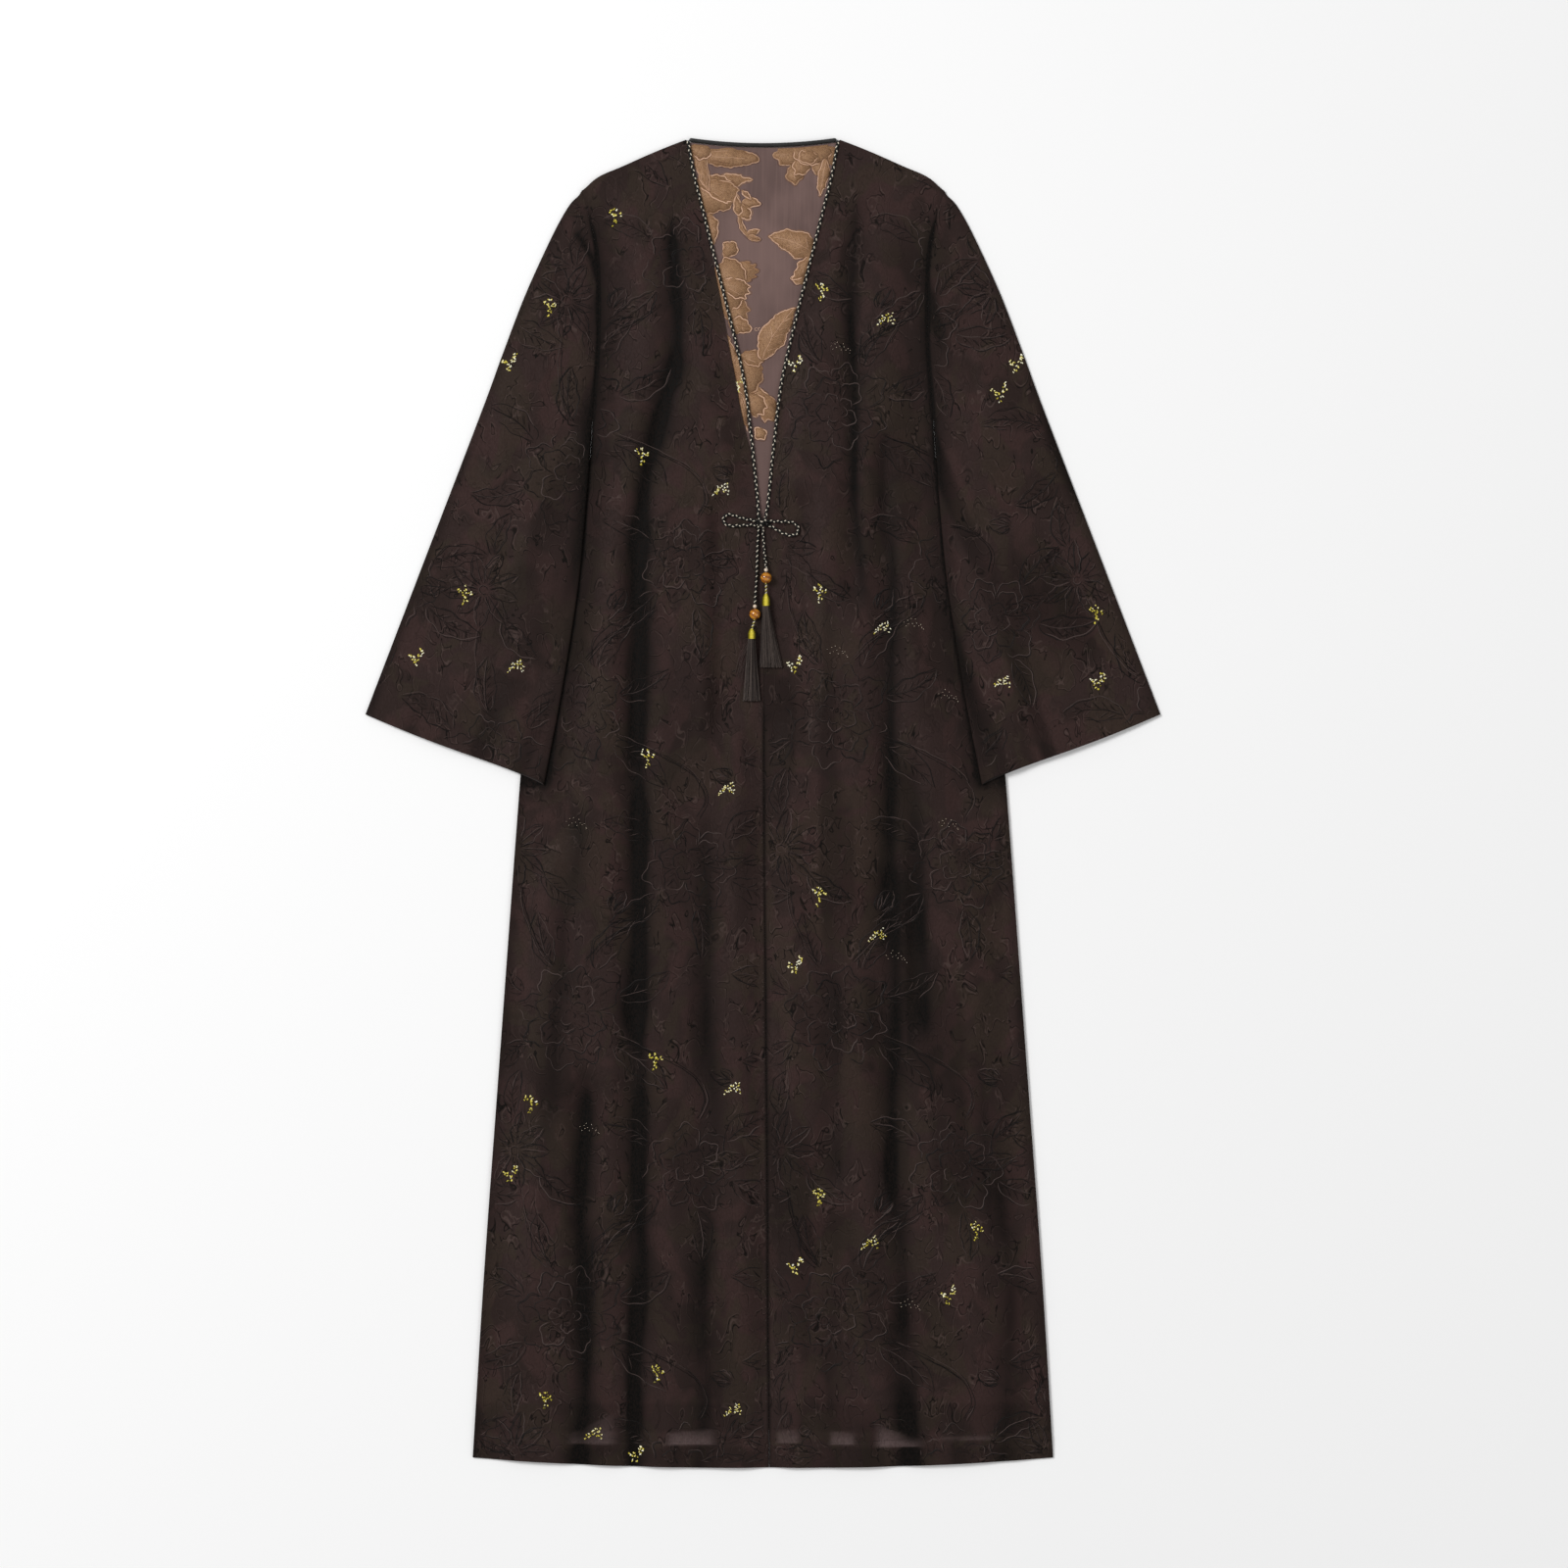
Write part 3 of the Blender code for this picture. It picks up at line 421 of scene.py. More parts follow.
class Graph:
    """The node tree of one material."""

    def __init__(self, name: str) -> None:
        """Make an empty material.

        Args:
            name: Its name.
        """
        self.material = bpy.data.materials.new(name)
        self.material.use_nodes = True
        self.tree = self.material.node_tree
        self.tree.nodes.clear()

    def node(self, kind: str, settings: dict | None = None, inputs: dict | None = None,
             output: int = 0) -> Value:
        """Add a node.

        Args:
            kind: The node's type.
            settings: Its properties by name; "stops" are a colour ramp's places and colours.
            inputs: Numbers, colours or other outputs by input name or number.
            output: Which of its outputs is wanted.

        Returns:
            That output.
        """
        added = self.tree.nodes.new(kind)
        for name, setting in (settings or {}).items():
            if name == "stops":
                elements = added.color_ramp.elements
                while len(elements) < len(setting):
                    elements.new(0.5)
                for element, (position, colour) in zip(elements, setting):
                    element.position = position
                    element.color = linear(colour)
            else:
                setattr(added, name, setting)
        for name, value in (inputs or {}).items():
            if isinstance(value, Value):
                self.tree.links.new(value.socket, added.inputs[name])
            else:
                added.inputs[name].default_value = value
        return Value(self, added.outputs[output] if added.outputs else None)

    def at(self, stretch: tuple = (1.0, 1.0, 1.0), turn: float = 0.0) -> Value:
        """Read the place on the garment, stretched along each axis and turned in the plane.

        Args:
            stretch: Factors on the three coordinates.
            turn: Angle about the height, in degrees.

        Returns:
            The mapped Object coordinates.
        """
        coordinates = self.node("ShaderNodeTexCoord", output=3)
        return self.node("ShaderNodeMapping", inputs={
            "Vector": coordinates, "Rotation": (0.0, 0.0, np.radians(turn)), "Scale": stretch})

    def channels(self, name: str) -> tuple[Value, Value, Value]:
        """Read the three values that a piece stores at its vertices.

        Args:
            name: The attribute's name.

        Returns:
            Its values, one output each.
        """
        stored = self.node("ShaderNodeAttribute", {"attribute_name": name})
        return tuple(
            self.node("ShaderNodeSeparateColor", inputs={"Color": stored}, output=number)
            for number in range(3))

    def noise(self, pitch: float, detail: float = 2.0, stretch: tuple = (1.0, 1.0, 1.0),
              turn: float = 0.0, distortion: float = 0.0) -> Value:
        """Add smooth noise around one half.

        Args:
            pitch: Rough size of its patches, in millimetres.
            detail: How many finer octaves it has.
            stretch: Factors on the three coordinates.
            turn: Angle in the plane, in degrees.
            distortion: How much it is warped.

        Returns:
            Its value.
        """
        return self.node("ShaderNodeTexNoise", inputs={
            "Vector": self.at(stretch, turn), "Scale": 1.0 / (pitch * MM), "Detail": detail,
            "Roughness": 0.55, "Distortion": distortion})

    def contours(self, pitch: float, width: float, stretch: tuple = (1.0, 1.0, 1.0),
                 distortion: float = 0.0, level: float = 0.5) -> Value:
        """Add thin wandering lines where some noise passes a level.

        Args:
            pitch: Rough size of the noise's patches, in millimetres.
            width: How much of the noise each line takes up.
            stretch: Factors on the three coordinates.
            distortion: How much it is warped.
            level: The noise's value on the lines.

        Returns:
            1 on the lines and 0 off them.
        """
        away = self.noise(pitch, 1.6, stretch, distortion=distortion) - level
        return self.range(away * away, 0.0, width * width, 1.0, 0.0)

    def threads(self, pitch: float, turn: float, distortion: float = 0.0) -> Value:
        """Add even threads side by side.

        Args:
            pitch: Width of one thread, in millimetres.
            turn: Angle from lengthwise threads, in degrees.
            distortion: How unevenly they run.

        Returns:
            Their height from 0 to 1.
        """
        wave = 2.0 * np.pi / 20.0
        return self.node("ShaderNodeTexWave", {"wave_type": "BANDS", "bands_direction": "X"}, {
            "Vector": self.at(turn=turn), "Scale": wave / (pitch * MM), "Distortion": distortion,
            "Detail": 1.0, "Detail Scale": 1.0}, output=1)

    def mix(self, share: Value, first: Value | Colour, second: Value | Colour) -> Value:
        """Mix two colours.

        Args:
            share: How much of the second one.
            first: A screen colour or another output.
            second: A screen colour or another output.

        Returns:
            The mixed colour.
        """
        first, second = (value if isinstance(value, Value) else linear(value)
                         for value in (first, second))
        return self.node("ShaderNodeMix", {"data_type": "RGBA"},
                         {0: share, 6: first, 7: second}, output=2)

    def ramp(self, share: Value, *stops: tuple[float, Colour]) -> Value:
        """Grade between several colours.

        Args:
            share: The place on the ramp, from 0 to 1.
            stops: Places and screen colours, in order.

        Returns:
            The graded colour.
        """
        return self.node("ShaderNodeValToRGB", {"stops": stops}, {"Fac": share})

    def range(self, value: Value, low: float, high: float, to_low: float = 0.0,
              to_high: float = 1.0) -> Value:
        """Stretch a range of values to another one, and hold its ends.

        Args:
            value: What is stretched.
            low: Start of its range.
            high: End of its range.
            to_low: What the start becomes.
            to_high: What the end becomes.

        Returns:
            The stretched value.
        """
        return self.node("ShaderNodeMapRange", {"clamp": True, "interpolation_type": "SMOOTHSTEP"}, {
            "Value": value, "From Min": low, "From Max": high, "To Min": to_low, "To Max": to_high})

    def surface(self, colour: Value, roughness: object, height: Value | None = None,
                depth: float = 0.2, **constants: object) -> None:
        """Add the shader and the output.

        Args:
            colour: Base colour.
            roughness: Roughness, a number or an output.
            height: Relief from 0 to 1, if it has any.
            depth: How deep that relief is, in millimetres.
            constants: Other values of the shader, by names with underscores.
        """
        inputs = {"Base Color": colour, "Roughness": roughness}
        if height is not None:
            inputs["Normal"] = self.node(
                "ShaderNodeBump", inputs={"Height": height, "Distance": depth * MM, "Strength": 1.0})
        inputs |= {name.replace("_", " "): value for name, value in constants.items()}
        shader = self.node("ShaderNodeBsdfPrincipled", inputs=inputs)
        self.node("ShaderNodeOutputMaterial", inputs={"Surface": shader})


@dataclass(frozen=True)
class Finish:
    """How a kind of surface looks; its material is made once."""

    name: str

    def material(self) -> bpy.types.Material:
        """Find this finish's material, or make it.

        Returns:
            The material.
        """
        if self.name in bpy.data.materials:
            return bpy.data.materials[self.name]
        graph = Graph(self.name)
        self.dress(graph)
        return graph.material

    def dress(self, graph: Graph) -> None:
        """Fill the material's node tree."""
        raise NotImplementedError


@dataclass(frozen=True)
class FiguredCloth(Finish):
    """Right side of the organza: matt brown, with deep folds that get painted shade, sheer patches painted
    paler, and figures.
    """

    name: str = "figured_organza"
    brown: Colour = (49, 37, 35)
    deep: Colour = (37, 28, 25)
    ground: Colour = (57, 41, 39)
    # fold: colour of the painted shade in troughs, seams, sleeve edges and hem, from the stored tone
    fold: Colour = (7, 6, 5)
    wisp_shade: Colour = (14, 11, 9)
    wisp_highlight: Colour = (76, 62, 58)
    olive: Colour = (50, 42, 34)
    # sheer: paler colour painted where the pale floor's light would show through a single layer
    sheer: Colour = (94, 79, 78)

    def dress(self, graph: Graph) -> None:
        """Mottle the brown, run fine lines over it, paint shade into the folds and add the crepe weave.

        Args:
            graph: The material\'s empty node tree.
        """
        shade, sheer, figure = graph.channels("tone")
        soft = graph.range(graph.noise(80.0, 2.0, (1.0, 0.8, 1.0)), 0.40, 0.60)
        colour = graph.mix(soft * 0.6, self.brown, self.deep)
        patches = graph.range(graph.noise(34.0, 1.5, (1.0, 0.7, 1.0), distortion=0.5), 0.46, 0.58)
        # reddish ground patches: the ground's own warmer colour, and painted light passing through the sheer
        # ground off the figures
        colour = graph.mix(patches * (1.0 - figure * 0.6) * 0.8, colour, self.ground)
        greenish = graph.range(graph.noise(42.0, 2.0, (1.0, 0.8, 1.0), distortion=0.7), 0.50, 0.58)
        colour = graph.mix(greenish * 0.55, colour, self.olive)
        # fine crinkle lines: dark ones are the crinkles' painted shade, pale ones beside them their painted
        # highlight; the dark ones also sink the relief
        shaded_lines, highlight_lines = (
            graph.contours(15.0, 0.013, (1.0, 0.6, 1.0), 0.9, level) for level in (0.50, 0.54))
        busy = graph.range(graph.noise(38.0, 2.0), 0.44, 0.56) * 0.8 + 0.2
        colour = graph.mix(shaded_lines * busy, colour, self.wisp_shade)
        colour = graph.mix(highlight_lines * busy * 0.7, colour, self.wisp_highlight)
        # painted light: sheer places are painted paler, as the floor's light showing through
        colour = graph.mix(sheer, colour, self.sheer)
        # painted shade: the stored shade darkens the cloth toward the fold colour
        colour = graph.mix(shade, colour, self.fold)
        grain = graph.noise(1.5, 3.0, (1.0, 0.5, 1.0))
        colour = graph.mix(graph.range(grain, 0.35, 0.65) * 0.3, colour, self.deep)
        weave = graph.threads(1.3, 0.0, 1.5) * 0.5 + graph.threads(1.3, 90.0, 1.5) * 0.5
        relief = weave * 0.4 + grain * 0.5 + graph.noise(7.0, 2.0) * 0.9 - shaded_lines * 0.8
        graph.surface(colour, graph.range(grain, 0.3, 0.7, 0.58, 0.74), relief, 0.18,
                      Specular_IOR_Level=0.06)


@dataclass(frozen=True)
class FigureThread(Finish):
    """Raised threads that draw the figures on the organza, from dark to pale, and the dark lines painted as
    their shadows.
    """

    name: str = "figure_thread"
    dark: Colour = (16, 12, 11)
    middle: Colour = (34, 26, 24)
    pale: Colour = (74, 61, 58)

    def dress(self, graph: Graph) -> None:
        """Colour each line by its own stored tone, broken up along its length.

        Args:
            graph: The material\'s empty node tree.
        """
        tone = graph.channels("thread")[0]
        worn = graph.noise(9.0, 3.0)
        graded = graph.range(tone + (worn - 0.5) * 0.7, 0.1, 0.9)
        colour = graph.ramp(graded, (0.0, self.dark), (0.45, self.middle), (1.0, self.pale))
        twist = graph.noise(0.8, 1.0)
        graph.surface(colour, graph.range(twist, 0.3, 0.7, 0.5, 0.68), twist, 0.12,
                      Specular_IOR_Level=0.25)


@dataclass(frozen=True)
class WrongSideCloth(Finish):
    """Wrong side of the organza: a sheer ground, mauve grey unless it is given other colours."""

    name: str = "sheer_wrong_side"
    # mauve: the wrong side's own colour, made paler as painted light from the pale floor showing through the
    # sheer cloth
    mauve: Colour = (110, 87, 82)
    # darker colour for the random mottle and for the painted shade
    mottle_and_shade: Colour = (90, 70, 66)
    warp: Colour = (122, 98, 92)

    def dress(self, graph: Graph) -> None:
        """Run fine lengthwise threads over a soft uneven ground, and darken it by the stored painted shade.

        Args:
            graph: The material\'s empty node tree.
        """
        shade = graph.channels("tone")[0]
        soft = graph.range(graph.noise(60.0, 3.0, (1.0, 0.6, 1.0)), 0.35, 0.65)
        colour = graph.mix(soft, self.mauve, self.mottle_and_shade)
        streaks = graph.noise(2.2, 2.0, (1.0, 0.04, 1.0))
        colour = graph.mix(graph.range(streaks, 0.45, 0.7) * 0.25, colour, self.warp)
        # painted shade: the stored shade darkens the ground
        colour = graph.mix(shade, colour, self.mottle_and_shade)
        weave = graph.threads(1.1, 0.0, 0.6)
        graph.surface(colour, graph.range(streaks, 0.3, 0.7, 0.5, 0.66),
                      weave * 0.4 + streaks * 0.6, 0.07, Specular_IOR_Level=0.25,
                      Sheen_Weight=0.12, Sheen_Roughness=0.4)


@dataclass(frozen=True)
class TanFigure(Finish):
    """Filled figures of the wrong side, in a tan twill."""

    name: str = "tan_figure"
    tan: Colour = (144, 110, 82)
    brown: Colour = (106, 76, 52)
    pale: Colour = (184, 144, 106)

    def dress(self, graph: Graph) -> None:
        """Lay a slanting twill over soft light and dark patches.

        Args:
            graph: The material\'s empty node tree.
        """
        twill = graph.threads(1.35, 52.0, 1.8)
        patches = graph.range(graph.noise(16.0, 3.0), 0.35, 0.65)
        colour = graph.mix(patches * 0.45, self.tan, self.brown)
        colour = graph.mix(graph.range(twill, 0.45, 0.95) * 0.4, colour, self.pale)
        flecks = graph.noise(1.2, 2.0)
        colour = graph.mix(graph.range(flecks, 0.48, 0.66) * 0.7, colour, self.brown)
        sparks = graph.noise(0.9, 1.0, (1.0, 1.0, 1.0), 30.0)
        colour = graph.mix(graph.range(sparks, 0.58, 0.72) * 0.7, colour, self.pale)
        graph.surface(colour, graph.range(flecks, 0.3, 0.7, 0.5, 0.7),
                      twill * 0.5 + flecks * 0.5, 0.12, Specular_IOR_Level=0.2)


@dataclass(frozen=True)
class FigureRim(Finish):
    """Threads that edge and vein the tan figures, from reddish brown to cream; the reddish brown also paints
    a shadow line round each figure.
    """

    name: str = "figure_rim"
    rust: Colour = (84, 50, 38)
    tan: Colour = (150, 112, 80)
    cream: Colour = (212, 174, 148)

    def dress(self, graph: Graph) -> None:
        """Colour each line by its own stored tone.

        Args:
            graph: The material\'s empty node tree.
        """
        tone = graph.channels("thread")[0]
        graded = graph.range(tone + (graph.noise(5.0, 2.0) - 0.5) * 0.5, 0.0, 1.0)
        colour = graph.ramp(graded, (0.0, self.rust), (0.5, self.tan), (1.0, self.cream))
        twist = graph.noise(0.7, 1.0)
        graph.surface(colour, 0.6, twist, 0.12, Specular_IOR_Level=0.3)


@dataclass(frozen=True)
class SatinBinding(Finish):
    """Black satin, cut on the bias and rolled."""

    name: str = "black_satin"
    black: Colour = (17, 17, 16)
    sheen: Colour = (38, 37, 36)

    def dress(self, graph: Graph) -> None:
        """Run slanting floats over the black.

        Args:
            graph: The material\'s empty node tree.
        """
        floats = graph.threads(1.0, 45.0, 0.4)
        soft = graph.noise(9.0, 2.0)
        colour = graph.mix(graph.range(floats * 0.5 + soft * 0.5, 0.3, 0.8), self.black, self.sheen)
        graph.surface(colour, graph.range(soft, 0.3, 0.7, 0.36, 0.5), floats * 0.4 + soft * 0.6,
                      0.08, Specular_IOR_Level=0.4)


@dataclass(frozen=True)
class CordThread(Finish):
    """Thread of the braid in one colour."""

    name: str
    colour: Colour
    worn: Colour

    def dress(self, graph: Graph) -> None:
        """Show the fine fibres of the thread.

        Args:
            graph: The material\'s empty node tree.
        """
        fibres = graph.noise(0.45, 2.0)
        colour = graph.mix(graph.range(fibres, 0.35, 0.7), self.colour, self.worn)
        graph.surface(colour, graph.range(fibres, 0.3, 0.7, 0.48, 0.66), fibres, 0.1,
                      Specular_IOR_Level=0.2)


@dataclass(frozen=True)
class Pearl(Finish):
    """Small pearly seed bead."""

    name: str = "seed_pearl"
    cream: Colour = (226, 214, 192)
    rose: Colour = (206, 182, 160)

    def dress(self, graph: Graph) -> None:
        """Cloud the cream and coat it.

        Args:
            graph: The material\'s empty node tree.
        """
        cloud = graph.noise(1.6, 2.0)
        colour = graph.mix(graph.range(cloud, 0.35, 0.65), self.cream, self.rose)
        graph.surface(colour, graph.range(cloud, 0.3, 0.7, 0.2, 0.32), cloud, 0.03,
                      Coat_Weight=0.6, Coat_Roughness=0.1)


@dataclass(frozen=True)
class AmberStone(Finish):
    """Polished stone in bands of dark brown, amber and honey."""

    name: str = "banded_amber"
    bark: Colour = (84, 40, 8)
    amber: Colour = (166, 98, 16)
    honey: Colour = (206, 142, 40)
    band_turn: float = 24.0
    band_scale: float = 0.314 / (4.6 * MM)     # bands 4.6 mm wide

    def dress(self, graph: Graph) -> None:
        """Warp the bands and polish them.

        Args:
            graph: The material\'s empty node tree.
        """
        warp = graph.noise(3.6, 3.0, distortion=1.2)
        bands = graph.node("ShaderNodeTexWave", {"wave_type": "BANDS", "bands_direction": "Y"}, {
            "Vector": graph.at(turn=self.band_turn), "Scale": self.band_scale, "Distortion": 5.0,
            "Detail": 2.0, "Detail Scale": 1.2}, output=1)
        colour = graph.ramp(bands * 0.3 + warp * 0.7,
                            (0.25, self.bark), (0.48, self.amber), (0.72, self.honey))
        graph.surface(colour, graph.range(warp, 0.3, 0.7, 0.14, 0.24), warp, 0.02,
                      Coat_Weight=0.55, Coat_Roughness=0.08, Specular_IOR_Level=0.4)


@dataclass(frozen=True)
class GoldThread(Finish):
    """Metallic gold thread, wound or stitched, paler or yellower by the stored tone, which also holds painted
    highlights on top and painted shade at the sides.
    """

    name: str = "wound_gold"
    deep: Colour = (52, 48, 4)
    olive: Colour = (140, 128, 18)
    yellow: Colour = (222, 206, 64)
    pale: Colour = (250, 247, 224)

    def dress(self, graph: Graph) -> None:
        """Grade the gold by its stored tone, painted highlight and shade included, and break it up into
        bright and dull threads.

        Args:
            graph: The material\'s empty node tree.
        """
        glint = graph.noise(0.7, 2.0, (1.0, 0.4, 1.0))
        tone = graph.channels("thread")[0] + (glint - 0.5) * 0.35
        colour = graph.ramp(tone, (0.0, self.deep), (0.35, self.olive), (0.65, self.yellow),
                            (0.95, self.pale))
        graph.surface(colour, graph.range(glint, 0.3, 0.7, 0.3, 0.5), glint, 0.15,
                      Specular_IOR_Level=0.6)


@dataclass(frozen=True)
class TasselThread(Finish):
    """Charcoal thread of the tassels, a little different in each strand."""

    name: str = "tassel_strands"
    charcoal: Colour = (38, 32, 30)
    ash: Colour = (80, 70, 65)

    def dress(self, graph: Graph) -> None:
        """Tint each strand by its stored tone.

        Args:
            graph: The material\'s empty node tree.
        """
        tone = graph.channels("thread")[0]
        fibres = graph.noise(0.5, 1.0, (1.0, 0.3, 1.0))
        colour = graph.mix(graph.range(tone * 0.7 + fibres * 0.3, 0.1, 0.9), self.charcoal, self.ash)
        graph.surface(colour, graph.range(fibres, 0.3, 0.7, 0.5, 0.65), fibres, 0.08,
                      Specular_IOR_Level=0.12)


@dataclass(frozen=True)
class StudioFloor(Finish):
    """Plain pale floor."""

    name: str = "pale_floor"
    white: Colour = (247, 247, 247)
    grey: Colour = (240, 240, 240)

    def dress(self, graph: Graph) -> None:
        """Leave it nearly even.

        Args:
            graph: The material\'s empty node tree.
        """
        colour = graph.mix(graph.noise(400.0, 1.0) * 0.05, self.white, self.grey)
        graph.surface(colour, 0.9, Specular_IOR_Level=0.1)


OUTER_CLOTH = FiguredCloth()
FIGURE_THREAD = FigureThread()
WRONG_SIDE = WrongSideCloth()
# a darker copy of the wrong side, painted as the shade inside the sleeves
SHADED_SLEEVE_INSIDE = WrongSideCloth("sleeve_inside", (46, 36, 33), (30, 24, 22), (52, 41, 38))
TAN_FIGURE = TanFigure()
FIGURE_RIM = FigureRim()
BINDING_SATIN = SatinBinding()
BLACK_THREAD = CordThread("black_cord_thread", (11, 11, 10), (27, 26, 24))
CREAM_THREAD = CordThread("cream_cord_thread", (232, 224, 206), (190, 178, 158))
SEED_PEARL = Pearl()
AMBER = AmberStone()
GOLD = GoldThread()
TASSEL_THREAD = TasselThread()


@dataclass
class Studio:
    """Camera straight above as in the photograph, soft light and a pale floor."""

    view_width: float = 1.6
    view_middle: Spot = (0.0215, 0.01905)
    lens: float = 100.0
    sensor: float = 36.0
    floor_size: float = 14.0
    floor_gap: float = 0.0004
    world_light: float = 0.45
    key_place: tuple = (-3.6, 2.4, 4.6)
    key_size: float = 2.2
    key_power: float = 270.0
    fill_place: tuple = (4.0, -2.0, 4.2)
    fill_size: float = 3.0
    fill_power: float = 50.0

    def build(self) -> None:
        """Set the camera, the lights, the world and the floor."""
        self.add_camera()
        self.add_light("key_light", self.key_place, self.key_size, self.key_power)
        self.add_light("fill_light", self.fill_place, self.fill_size, self.fill_power)
        world = bpy.data.worlds.new("soft_white")
        world.use_nodes = True
        background = world.node_tree.nodes["Background"]
        background.inputs["Color"].default_value = (1.0, 1.0, 1.0, 1.0)
        background.inputs["Strength"].default_value = self.world_light
        bpy.context.scene.world = world
        bpy.context.scene.view_settings.view_transform = "Standard"
        self.add_floor()

    def add_camera(self) -> None:
        """Hang the camera over the middle of the picture, at the distance that fills it."""
        clear_selection()
        distance = self.view_width * self.lens / self.sensor
        bpy.ops.object.camera_add(location=(*self.view_middle, distance), rotation=(0.0, 0.0, 0.0))
        camera = bpy.context.object
        camera.name = "photo_camera"
        camera.data.lens = self.lens
        camera.data.sensor_width = self.sensor
        camera.data.clip_end = 50.0
        bpy.context.scene.camera = camera

    def add_light(self, name: str, spot: tuple, size: float, power: float) -> None:
        """Add a square soft light that faces the middle of the garment.

        Args:
            name: The light's name.
            spot: Its place in metres.
            size: Its side in metres.
            power: Its power in watts.
        """
        clear_selection()
        bpy.ops.object.light_add(type="AREA", location=spot)
        light = bpy.context.object
        light.name = name
        light.data.size = size
        light.data.energy = power
        light.rotation_euler = (-Vector(spot)).to_track_quat("-Z", "Y").to_euler()

    def add_floor(self) -> None:
        """Lay a wide pale floor just under the cloth."""
        clear_selection()
        bpy.ops.mesh.primitive_plane_add(size=self.floor_size, location=(0.0, 0.0, -self.floor_gap))
        bpy.ops.object.transform_apply(location=True)
        floor = bpy.context.object
        floor.name = "floor"
        floor.data.materials.append(StudioFloor().material())


def section_axes(line: np.ndarray, upright: tuple) -> tuple[np.ndarray, np.ndarray]:
    """Work out the two directions that a line's section lies in, at each of its points.

    Args:
        line: The line's points, one to a row.
        upright: A direction that the line never takes.

    Returns:
        The direction across, square to the upright one, and the one over, square to both
        the line and the first.
    """
    ahead = np.gradient(line, axis=0)
    across = np.cross(ahead, upright)
    across /= np.linalg.norm(across, axis=1, keepdims=True)
    over = np.cross(across, ahead)
    over /= np.linalg.norm(over, axis=1, keepdims=True)
    return across, over


def tube(centres: np.ndarray, radius: float | np.ndarray, sides: int,
         upright: tuple = (0.0, 0.0, 1.0)) -> tuple[np.ndarray, list[np.ndarray]]:
    """Work out a closed tube along a line.

    Args:
        centres: The line's points, one to a row.
        radius: Its radius, one number or one for each point.
        sides: Corners of its section.
        upright: A direction that the line never takes.

    Returns:
        Its vertices, and its faces by number of corners.
    """
    centres = np.asarray(centres, float)
    count = len(centres)
    across, over = section_axes(centres, upright)
    angles = 2.0 * np.pi * (np.arange(sides) + 0.5) / sides
    radius = np.broadcast_to(radius, count)[:, None, None]
    ring = (np.cos(angles)[None, :, None] * across[:, None]
            + np.sin(angles)[None, :, None] * over[:, None])
    points = (centres[:, None] + radius * ring).reshape(-1, 3)
    here = np.arange(sides)
    after = (here + 1) % sides
    start = (np.arange(count - 1) * sides)[:, None]
    quads = np.stack([start + here, start + after, start + sides + after, start + sides + here],
                     axis=-1).reshape(-1, 4)
    caps = np.stack([here[::-1], here + (count - 1) * sides])
    return points, [quads, caps]


class Bits:
    """Threads, strips and lumps of one kind, gathered into one piece."""

    def __init__(self) -> None:
        """Start with none."""
        self.points: list[np.ndarray] = []
        self.tones: list[np.ndarray] = []
        self.faces: dict[int, list[np.ndarray]] = {}
        self.finish_numbers: dict[int, list[np.ndarray]] = {}
        self.count = 0

    def add(self, points: np.ndarray, faces: list[np.ndarray], tone: float | np.ndarray = 0.5,
            finish: int = 0) -> None:
        """Add one bit.

        Args:
            points: Its vertices as x, drop and height.
            faces: Its faces, one block for each number of corners.
            tone: The value that its material reads, one for all or one for each vertex.
            finish: Number of its material.
        """
        for block in faces:
            corners = block.shape[1]
            self.faces.setdefault(corners, []).append(block + self.count)
            self.finish_numbers.setdefault(corners, []).append(np.full(len(block), finish))
        self.points.append(points)
        self.tones.append(np.full(len(points), tone))
        self.count += len(points)

    def piece(self, name: str, *finishes: Finish) -> bpy.types.Object:
        """Make one mesh of all bits, with every face turned outwards.

        Args:
            name: The piece's name.
            finishes: Its finishes, in the order of their numbers.

        Returns:
            The new object.
        """
        points = np.vstack(self.points)
        order = sorted(self.faces)
        made = mesh_piece(name, place(*points.T), *[np.vstack(self.faces[key]) for key in order])
        numbers = np.concatenate([number for key in order for number in self.finish_numbers[key]])
        for finish in finishes:
            made.data.materials.append(finish.material())
        made.data.polygons.foreach_set("material_index", numbers.astype(np.int32))
        paint(made, "thread", np.concatenate(self.tones))
        face_outwards(made)
        return made


def face_outwards(piece: bpy.types.Object) -> None:
    """Turn the faces of each closed shell of a piece outwards.

    Args:
        piece: The mesh object.
    """
    take(piece)
    bpy.ops.object.mode_set(mode="EDIT")
    bpy.ops.mesh.select_all(action="SELECT")
    bpy.ops.mesh.normals_make_consistent(inside=False)
    bpy.ops.object.mode_set(mode="OBJECT")


def edit_faces(piece: bpy.types.Object, low: tuple, high: tuple) -> None:
    """Open a piece in edit mode with the faces selected whose centres lie in a box.

    Args:
        piece: The mesh object.
        low: Lowest corner of the box in metres.
        high: Highest corner.
    """
    take(piece)
    bpy.ops.object.mode_set(mode="EDIT")
    bpy.ops.mesh.select_mode(type="FACE")
    bpy.ops.mesh.select_all(action="DESELECT")
    shape = bmesh.from_edit_mesh(piece.data)
    for face in shape.faces:
        centre = face.calc_center_median()
        face.select_set(all(a <= c <= b for a, c, b in zip(low, centre, high)))
    bmesh.update_edit_mesh(piece.data)


class Braid(Enum):
    """How the strands of a cord are laid."""

    FLAT = "flat"
    TWISTED = "twisted"


